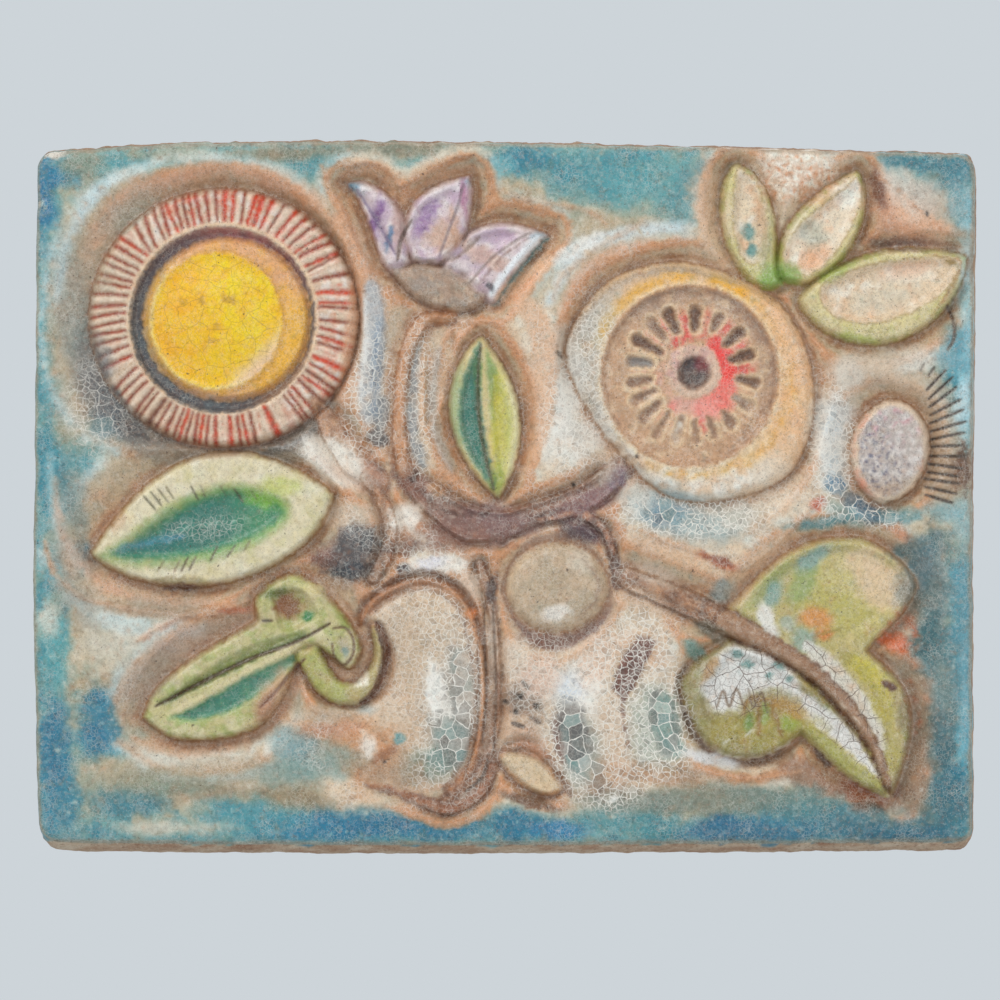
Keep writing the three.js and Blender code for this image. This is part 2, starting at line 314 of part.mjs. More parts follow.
// triangles over the grid, refined where the surface bends most, kept Delaunay in the grid plane
function refine(nu, nv, point, budget) {
  const P = new Float64Array(nu * nv * 3);
  for (let j = 0; j < nv; j++) for (let i = 0; i < nu; i++) P.set(point(i, j), 3 * (j * nu + i));
  const X = [], Y = [], T = [], H = [], best = [], stamp = [], heap = [];
  const next = (e) => (e % 3 === 2 ? e - 2 : e + 1), prev = (e) => (e % 3 === 0 ? e + 2 : e - 1);
  const cross = (ax, ay, bx, by, cx, cy) => (bx - ax) * (cy - ay) - (by - ay) * (cx - ax);
  const push = (item) => {
    let k = heap.push(item) - 1;
    while (k > 0) { const up = (k - 1) >> 1; if (heap[up][0] >= heap[k][0]) break; [heap[up], heap[k]] = [heap[k], heap[up]]; k = up; }
  };
  const pop = () => {
    const top = heap[0], last = heap.pop();
    if (heap.length) {
      heap[0] = last;
      for (let k = 0; ;) { let c = 2 * k + 1; if (c >= heap.length) break; if (c + 1 < heap.length && heap[c + 1][0] > heap[c][0]) c++; if (heap[k][0] >= heap[c][0]) break; [heap[k], heap[c]] = [heap[c], heap[k]]; k = c; }
    }
    return top;
  };
  const dirty = new Set();
  const put = (t, a, b, c, h0, h1, h2) => {
    T[3 * t] = a; T[3 * t + 1] = b; T[3 * t + 2] = c;
    [h0, h1, h2].forEach((h, k) => { H[3 * t + k] = h; if (h >= 0) H[h] = 3 * t + k; });
    dirty.add(t);
  };
  const legalise = (e) => {
    const f = H[e];
    if (f < 0) return;
    const a = T[e], b = T[next(e)], p = T[prev(e)], q = T[prev(f)];
    const [ax, ay, bx, by, px, py] = [X[a] - X[q], Y[a] - Y[q], X[b] - X[q], Y[b] - Y[q], X[p] - X[q], Y[p] - Y[q]];
    const det = (ax * ax + ay * ay) * (bx * py - px * by) - (bx * bx + by * by) * (ax * py - px * ay) + (px * px + py * py) * (ax * by - bx * ay);
    if (det <= 0) return;
    const pa = H[prev(e)], bp = H[next(e)], aq = H[next(f)], qb = H[prev(f)];
    const t = (e - (e % 3)) / 3, u = (f - (f % 3)) / 3;
    put(t, p, a, q, pa, aq, -1);
    put(u, q, b, p, qb, bp, 3 * t + 2);
    legalise(3 * t + 1);
    legalise(3 * u);
  };
  const measure = (t) => {
    const [a, b, c] = [T[3 * t], T[3 * t + 1], T[3 * t + 2]];
    const area = cross(X[a], Y[a], X[b], Y[b], X[c], Y[c]);
    const [pa, pb, pc] = [a, b, c].map((k) => 3 * (Y[k] * nu + X[k]));
    const [A, B, C] = [pa, pb, pc].map((k) => new THREE.Vector3(P[k], P[k + 1], P[k + 2]));
    const normal = B.sub(A).cross(C.sub(A)).normalize();
    let worst = 0, wi = -1, wj = -1;
    for (let j = Math.min(Y[a], Y[b], Y[c]); j <= Math.max(Y[a], Y[b], Y[c]); j++)
      for (let i = Math.min(X[a], X[b], X[c]); i <= Math.max(X[a], X[b], X[c]); i++) {
        const wa = cross(X[b], Y[b], X[c], Y[c], i, j) / area, wb = cross(X[c], Y[c], X[a], Y[a], i, j) / area, wc = 1 - wa - wb;
        if (wa < -1e-9 || wb < -1e-9 || wc < -1e-9 || wa > 1 - 1e-9 || wb > 1 - 1e-9 || wc > 1 - 1e-9) continue;
        const g = 3 * (j * nu + i);
        const dx = wa * P[pa] + wb * P[pb] + wc * P[pc] - P[g], dy = wa * P[pa + 1] + wb * P[pb + 1] + wc * P[pc + 1] - P[g + 1], dz = wa * P[pa + 2] + wb * P[pb + 2] + wc * P[pc + 2] - P[g + 2];
        const onRim = i === 0 || j === 0 || i === nu - 1 || j === nv - 1;
        const err = onRim ? 2 * Math.hypot(dx, dy, dz) : Math.abs(dx * normal.x + dy * normal.y + dz * normal.z) * weight(i, j);
        if (err > worst) { worst = err; wi = i; wj = j; }
      }
    best[t] = [wi, wj];
    stamp[t] = (stamp[t] ?? 0) + 1;
    if (wi >= 0) push([worst, t, stamp[t]]);
  };
  const flush = () => { for (const t of dirty) measure(t); dirty.clear(); };
  for (const [i, j] of [[0, 0], [nu - 1, 0], [nu - 1, nv - 1], [0, nv - 1]]) { X.push(i); Y.push(j); }
  put(0, 0, 1, 2, -1, -1, -1);
  put(1, 0, 2, 3, 2, -1, -1);
  flush();
  while (X.length < budget && heap.length) {
    const [, t, mark] = pop();
    if (stamp[t] !== mark) continue;
    const [i, j] = best[t], p = X.length;
    X.push(i); Y.push(j);
    const on = [0, 1, 2].find((k) => cross(X[T[3 * t + k]], Y[T[3 * t + k]], X[T[next(3 * t + k)]], Y[T[next(3 * t + k)]], i, j) === 0);
    const n = T.length / 3;
    if (on === undefined) {
      const [a, b, c] = [T[3 * t], T[3 * t + 1], T[3 * t + 2]], [h0, h1, h2] = [H[3 * t], H[3 * t + 1], H[3 * t + 2]];
      put(t, a, b, p, h0, -1, -1);
      put(n, b, c, p, h1, -1, 3 * t + 1);
      put(n + 1, c, a, p, h2, 3 * t + 2, 3 * n + 1);
      legalise(3 * t); legalise(3 * n); legalise(3 * n + 3);
    } else {
      const e = 3 * t + on, f = H[e], a = T[e], b = T[next(e)], c = T[prev(e)], hca = H[prev(e)], hbc = H[next(e)];
      if (f < 0) {
        put(t, c, a, p, hca, -1, -1);
        put(n, b, c, p, hbc, 3 * t + 2, -1);
        legalise(3 * t); legalise(3 * n);
      } else {
        const u = (f - (f % 3)) / 3, d = T[prev(f)], had = H[next(f)], hdb = H[prev(f)];
        put(t, c, a, p, hca, -1, -1);
        put(n, b, c, p, hbc, 3 * t + 2, -1);
        put(u, a, d, p, had, -1, 3 * t + 1);
        put(n + 1, d, b, p, hdb, 3 * n + 2, 3 * u + 1);
        legalise(3 * t); legalise(3 * n); legalise(3 * u); legalise(3 * n + 3);
      }
    }
    flush();
  }
  const vertices = X.map((i, k) => [...P.subarray(3 * (Y[k] * nu + i), 3 * (Y[k] * nu + i) + 3)]);
  const rim = new Map();
  H.forEach((h, e) => { if (h < 0) rim.set(T[e], T[next(e)]); });
  const loop = [0];
  while (rim.get(loop[loop.length - 1]) !== 0) loop.push(rim.get(loop[loop.length - 1]));
  return { vertices, triangles: T, loop, grid: (k) => [(2 * X[k]) / (nu - 1) - 1, (2 * Y[k]) / (nv - 1) - 1] };
}

// closed slab: carved front, leaning sides, bevelled plain back
function slab() {
  const { vertices, triangles, loop, grid } = refine(NU, NV, front, MAX_POINTS);
  const zero = { left: 0, right: 0, top: 0, bottom: 0 };
  const bevel = { left: BACK_BEVEL, right: BACK_BEVEL, top: BACK_BEVEL, bottom: BACK_BEVEL };
  const ring = (inset, y) => loop.map((k) => { const [x, z] = place(...grid(k), inset); vertices.push([x, y, z]); return vertices.length - 1; });
  const faces = [...triangles];
  const join = (a, b) => a.forEach((_, i) => {
    const j = (i + 1) % a.length;
    faces.push(a[j], a[i], b[i], a[j], b[i], b[j]);
  });
  const widest = ring(zero, -SIDE_DEPTH), back = ring(bevel, 0);
  join(loop, widest);
  join(widest, back);
  const flat = back.map((k) => new THREE.Vector2(vertices[k][0], vertices[k][2]));
  for (const [a, b, c] of THREE.ShapeUtils.triangulateShape(flat, [])) faces.push(back[a], back[c], back[b]);
  const g = new THREE.BufferGeometry();
  g.setAttribute("position", new THREE.Float32BufferAttribute(vertices.flat(), 3));
  g.setIndex(faces);
  return g;
}

// ================================ assembly ====================================================

const solid = (geometry) => {
  const g = geometry.clone();
  g.deleteAttribute("normal");
  g.deleteAttribute("uv");
  const m = mergeVertices(g, 1e-4);
  return new wasm.Manifold(new wasm.Mesh({ numProp: 3, vertProperties: new Float32Array(m.attributes.position.array), triVerts: new Uint32Array(m.index.array) }));
};

let body = solid(slab());
for (const side of [-1, 1]) {
  const socket = new THREE.BoxGeometry(SOCKET.width, SOCKET.depth * 2, SOCKET.height);
  socket.translate((side * SOCKET.apart) / 2, 0, SOCKET.level);
  body = body.subtract(solid(socket));
}
const cut = body.getMesh();
const geometry = new THREE.BufferGeometry();
geometry.setAttribute("position", new THREE.BufferAttribute(new Float32Array(cut.vertProperties), 3));
geometry.setIndex(new THREE.BufferAttribute(new Uint32Array(cut.triVerts), 1));
geometry.computeVertexNormals();

const plaque = new THREE.Mesh(geometry, new THREE.MeshStandardMaterial({ color: 0x8d8474, roughness: 0.38, metalness: 0 }));
plaque.name = "plaque";

const model = new THREE.Group();
model.name = "wall_plaque";
model.add(plaque);

export default model;
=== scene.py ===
# Looks of the glazed clay wall plaque. Lengths below are millimetres from the middle of the
# plaque (x to the right, z up), turned into metres when the mesh is made.
import bpy
import math
import numpy as np
from mathutils.geometry import tessellate_polygon
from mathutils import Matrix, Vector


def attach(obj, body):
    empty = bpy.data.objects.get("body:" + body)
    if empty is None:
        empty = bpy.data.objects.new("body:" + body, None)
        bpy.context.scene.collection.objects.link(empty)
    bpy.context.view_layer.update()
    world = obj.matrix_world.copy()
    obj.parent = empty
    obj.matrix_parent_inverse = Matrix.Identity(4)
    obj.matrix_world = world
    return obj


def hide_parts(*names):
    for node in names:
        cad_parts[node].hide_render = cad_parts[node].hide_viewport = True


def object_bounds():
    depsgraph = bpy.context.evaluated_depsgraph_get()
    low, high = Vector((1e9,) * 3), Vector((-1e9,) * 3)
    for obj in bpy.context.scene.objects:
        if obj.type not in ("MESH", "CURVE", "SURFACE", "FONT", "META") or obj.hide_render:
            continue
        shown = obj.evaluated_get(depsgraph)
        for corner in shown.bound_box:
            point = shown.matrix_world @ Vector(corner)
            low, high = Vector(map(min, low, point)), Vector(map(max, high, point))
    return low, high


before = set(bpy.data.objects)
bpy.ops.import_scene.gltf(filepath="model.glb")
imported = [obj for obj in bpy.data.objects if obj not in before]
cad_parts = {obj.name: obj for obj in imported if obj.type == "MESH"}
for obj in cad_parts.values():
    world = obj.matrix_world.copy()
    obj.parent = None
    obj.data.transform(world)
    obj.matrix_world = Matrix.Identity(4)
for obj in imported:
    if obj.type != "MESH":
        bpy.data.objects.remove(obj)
CAD_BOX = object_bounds()
KEY_POWER, FILL_POWER = 16.0, 6.5

# ================================ tools =======================================================

STEP = 0.5  # spacing of the drawing board the relief and the glaze are worked out on, mm
XS = np.arange(-203.0, 203.01, STEP)
ZS = np.arange(-154.0, 154.01, STEP)
X, Z = np.meshgrid(XS, ZS)
SHAPE = X.shape
SHARP = 1


def smooth(t):
    t = np.clip(t, 0.0, 1.0)
    return t * t * (3.0 - 2.0 * t)


def ramp(value, low, high):
    return smooth((value - low) / (high - low))


def mix(a, b, t):
    return a + (b - a) * t


def noise(x, z, size, seed=0):
    """smooth random field from -1 to 1 with features about `size` mm across"""
    u, v = x / size + 37.7 * (seed % 29), z / size - 19.3 * (seed % 31)
    i, j = np.floor(u).astype(np.int64), np.floor(v).astype(np.int64)
    f, g = u - i, v - j

    def corner(a, b, du, dv):
        h = (i + a) * 374761393 + (j + b) * 668265263 + (seed + 11) * 982451653
        h = (h ^ (h >> 13)) * 1274126177 & 0xFFFFFFFF
        turn = ((h ^ (h >> 16)) & 0xFFFF) * (2 * math.pi / 65536.0)
        return np.cos(turn) * du + np.sin(turn) * dv

    p, q = f * f * f * (f * (f * 6 - 15) + 10), g * g * g * (g * (g * 6 - 15) + 10)
    low = mix(corner(0, 0, f, g), corner(1, 0, f - 1, g), p)
    high = mix(corner(0, 1, f, g - 1), corner(1, 1, f - 1, g - 1), p)
    return 1.45 * mix(low, high, q)


def cloud(x, z, size, octaves=4, seed=0, fall=0.55):
    total, weight, out = 0.0, 1.0, 0.0
    for k in range(octaves):
        out = out + weight * noise(x, z, size / 2**k, seed + 7 * k)
        total += weight
        weight *= fall
    return out / total


def blur(field, radius):
    """soft average over about `radius` mm, by three running means each way"""
    n = max(1, int(round(radius / STEP)))
    out = field
    for axis in (0, 1):
        for _ in range(3):
            pad = [(0, 0)] * out.ndim
            pad[axis] = (n + 1, n)
            c = np.cumsum(np.pad(out, pad, mode="edge"), axis=axis)
            a = [slice(None)] * out.ndim
            b = [slice(None)] * out.ndim
            a[axis], b[axis] = slice(2 * n + 1, None), slice(0, -(2 * n + 1))
            out = (c[tuple(a)] - c[tuple(b)]) / (2 * n + 1)
    return out


# ---- curves ----


def spline(points, closed=True, steps=8):
    """smooth curve through points; a point marked SHARP keeps its corner"""
    n, out = len(points), []
    at = [np.array(p[:2], float) for p in points]
    sharp = [len(p) > 2 and p[2] == SHARP for p in points]
    for i in range(n if closed else n - 1):
        j = (i + 1) % n
        p1, p2 = at[i], at[j]
        p0 = at[(i - 1) % n] if (closed or i > 0) else 2 * p1 - p2
        p3 = at[(j + 1) % n] if (closed or i < n - 2) else 2 * p2 - p1
        if closed and sharp[i]:
            p0 = 2 * p1 - p2
        if closed and sharp[j]:
            p3 = 2 * p2 - p1
        t = [0.0]
        for a, b in ((p0, p1), (p1, p2), (p2, p3)):
            t.append(t[-1] + math.sqrt(max(float(np.hypot(*(b - a))), 1e-6)))
        for k in range(steps):
            u = t[1] + (t[2] - t[1]) * k / steps
            a1, a2, a3 = (mix(a, b, (u - ta) / (tb - ta)) for a, b, ta, tb in ((p0, p1, t[0], t[1]), (p1, p2, t[1], t[2]), (p2, p3, t[2], t[3])))
            b1, b2 = mix(a1, a2, (u - t[0]) / (t[2] - t[0])), mix(a2, a3, (u - t[1]) / (t[3] - t[1]))
            out.append(mix(b1, b2, (u - t[1]) / (t[2] - t[1])))
    if not closed:
        out.append(at[-1])
    return np.array(out)


def leaf(base, tip, left, right, full_left, full_right, bend, steps=26):
    """outline of a leaf or petal: greatest half-width on each side, fullness near [base, tip], bend"""
    b, t = np.array(base, float), np.array(tip, float)
    along = t - b
    side = np.array([-along[1], along[0]]) / np.hypot(*along)
    s = (1 - np.cos(np.linspace(0, math.pi, steps + 1))) / 2

    def edge(width, full, sign):
        p, q = full
        w = width * s**p * (1 - s) ** q / ((p / (p + q)) ** p * (q / (p + q)) ** q)
        return b + np.outer(s, along) + np.outer(bend * 4 * s * (1 - s) + sign * w, side)

    return np.vstack([edge(left, full_left, 1)[:-1], edge(right, full_right, -1)[:0:-1]])


def window(poly, reach):
    """the part of the board within `reach` of some points"""
    lo, hi = poly.min(0) - reach, poly.max(0) + reach
    i0, i1 = np.searchsorted(XS, [lo[0], hi[0]])
    j0, j1 = np.searchsorted(ZS, [lo[1], hi[1]])
    return slice(max(0, j0 - 1), min(len(ZS), j1 + 1)), slice(max(0, i0 - 1), min(len(XS), i1 + 1))


def to_line(x, z, line, closed):
    """distance to a line, and how far along it (0 to 1) the nearest place is"""
    best, where = np.full(x.shape, 1e9), np.zeros(x.shape)
    n = len(line) if closed else len(line) - 1
    for k in range(n):
        a, b = line[k], line[(k + 1) % len(line)]
        d = b - a
        t = np.clip(((x - a[0]) * d[0] + (z - a[1]) * d[1]) / (d @ d + 1e-12), 0, 1)
        r = (x - a[0] - t * d[0]) ** 2 + (z - a[1] - t * d[1]) ** 2
        near = r < best
        best = np.where(near, r, best)
        where = np.where(near, (k + t) / n, where)
    return np.sqrt(best), where


def region(poly, reach=26.0):
    """distance inside an outline, negative outside it, over the board"""
    out = np.full(SHAPE, -1e3)
    w = window(poly, reach)
    x, z = X[w], Z[w]
    dist, _ = to_line(x, z, poly, True)
    inside = np.zeros(x.shape, bool)
    for a, b in zip(poly, np.roll(poly, -1, 0)):
        if a[1] != b[1]:
            inside ^= ((a[1] > z) != (b[1] > z)) & (x < (b[0] - a[0]) * (z - a[1]) / (b[1] - a[1]) + a[0])
    out[w] = np.where(inside, dist, -dist)
    return out


def ellipse(centre, rx, rz):
    return (1 - np.hypot((X - centre[0]) / rx, (Z - centre[1]) / rz)) * min(rx, rz)


def band(points, reach=16.0):
    """distance inside a band along [x, z, half-width] points, its half-width there, and the place along it"""
    line = spline([p[:2] for p in points], False, 6)
    width = np.array([p[2] for p in points], float)
    d, w, s = np.full(SHAPE, -1e3), np.ones(SHAPE), np.zeros(SHAPE)
    at = window(line, reach + width.max())
    dist, where = to_line(X[at], Z[at], line, False)
    half = np.interp(where * (len(points) - 1), np.arange(len(points)), width)
    d[at], w[at], s[at] = half - dist, half, where
    return d, w, s


def stroke(points, half, soft=0.35):
    """mask of a thin line of the given half-width, tapering to its ends"""
    line = spline(points, False, 6) if len(points) > 2 else np.array([p[:2] for p in points], float)
    out = np.zeros(SHAPE)
    at = window(line, half + 3)
    dist, where = to_line(X[at], Z[at], line, False)
    taper = 0.55 + 0.45 * np.sqrt(np.clip(4 * where * (1 - where), 0, 1))
    out[at] = 1 - ramp(dist, half * taper - soft, half * taper + soft)
    return out


def blob(centre, rx, rz, turn=0.0, soft=0.3, rag=0.3, size=5.0, seed=1):
    """soft patch with a ragged edge"""
    c, s = math.cos(math.radians(turn)), math.sin(math.radians(turn))
    dx, dz = X - centre[0], Z - centre[1]
    r = np.hypot((dx * c + dz * s) / rx, (dz * c - dx * s) / rz)
    near = r < 2.2
    out = np.zeros(SHAPE)
    ragged = r[near] + rag * cloud(X[near], Z[near], size, 3, seed)
    out[near] = 1 - smooth((ragged - (1 - soft)) / (2 * soft))
    return out


def moved(field, dx, dz):
    """a board field read dx, dz millimetres away from each place"""
    u = np.clip((X + dx - XS[0]) / STEP, 0, len(XS) - 1.001)
    v = np.clip((Z + dz - ZS[0]) / STEP, 0, len(ZS) - 1.001)
    i, j = u.astype(int), v.astype(int)
    f, g = u - i, v - j
    if field.ndim > 2:
        f, g = f[..., None], g[..., None]
    return mix(mix(field[j, i], field[j, i + 1], f), mix(field[j + 1, i], field[j + 1, i + 1], f), g)

# ================================ design ======================================================

FIELD, FLOOR = 20.0, 13.4  # thickness at the level field and under the deepest hollows
LAP_WIDTH, LAP_DEPTH = 1.9, 3.4  # groove where one motif lies on another
STEM_FLOOR = 14.2

# stems and roots: [x, z, half-width] points, height at the top, width of the hollow beside
STEMS = {
    "arch": ([(-61.1, -53.2, 1.3), (-57.7, -46.4, 1.7), (-50, -40.4, 1.9), (-40.6, -36.2, 2.1), (-31.3, -35.7, 2.1), (-22.8, -39.6, 2.1), (-16.8, -46.8, 1.9), (-12.6, -59.1, 1.9), (-10, -73.6, 1.7), (-9.6, -88.5, 1.7), (-11.7, -103.4, 1.7), (-16, -115.3, 1.7), (-22.8, -123.8, 1.7)], 19.4, 3),
    "trunk": ([(-10.9, -28.9, 2.1), (-6.6, -43.8, 1.7), (-4, -63, 1.1), (-3.2, -86.4, 1.1), (-4.9, -102.5, 1.3), (-9.1, -113.6, 1.7), (-16.8, -123, 2.1), (-26.2, -128.9, 2.1)], 18.4, 4),
    "root": ([(-58.5, -121.3, 1), (-46.6, -124.7, 1.3), (-35.5, -128.9, 2.1), (-25.3, -131.9, 2.6), (-15.1, -128.9, 2.1), (-8.3, -122.1, 1.9), (-4.9, -114, 1.7), (0.2, -107.7, 1.3)], 18.0, 4),
    "root_right": ([(0.2, -106.8, 1.7), (7.9, -105.1, 1.7), (16.8, -109.4, 1.4), (23.2, -116.2, 1.3), (27.4, -125.5, 1)], 18.4, 3),
    "branch": ([(-43.2, 10.6, 4.3), (-32.1, -0.4, 5.1), (-15.1, -11.5, 7.2), (-0.2, -11.5, 5.5), (16.8, -6.4, 5.1), (33.8, 0, 5.5), (44.5, 8.1, 5.1), (52.1, 14.9, 4.3)], 17.0, 6),
    "wedge": ([(-2.3, -18.3, 2.1), (6.2, -12.3, 2.1), (18.1, -8.5, 2.1), (31.7, -7.7, 2.1), (41.1, -13.2, 1.7), (45.7, -25.1, 1.4), (47, -37.4, 1.3)], 17.4, 4),
    "branch_left": ([(-80.6, 40.4, 2.1), (-73, 28.5, 5.5), (-63.6, 14.9, 6.4), (-54.3, 6.4, 5.1)], 17.4, 7),
    "fork": ([(-59.4, 8.1, 2.1), (-52.5, -1.3, 2.6), (-48.7, -14, 2.6), (-50.8, -24.7, 2.6), (-56, -34.5, 2.1)], 17.6, 5),
    "tulip_stem": ([(-23.6, 76.2, 3.0), (-34.7, 74.5, 3.0), (-41.5, 62.5, 2.6), (-44.5, 43.4, 2.6), (-44.9, 24.3, 2.9), (-42.8, 11.5, 3.4)], 18.4, 14),
    "leaf_stem": ([(51.3, -34.5, 4.3), (79.4, -46, 5.1), (95.8, -54.2, 5.3)], 18.9, 11),
}
RIB = [(93.8, -53.2, 5.5), (112.5, -63, 3.8), (130.4, -74.5, 3.4), (144.5, -88.5, 3), (155.1, -104.2, 2.1), (161.9, -122.5, 1.3)]


def motif(outline, top, rise=2.2, dome=0.0, hollow=0.0, floor=FLOOR, foot=None, well=None, scoops=()):
    return dict(outline=outline, top=top, rise=rise, dome=dome, hollow=hollow, floor=floor, foot=foot, well=well, scoops=scoops)


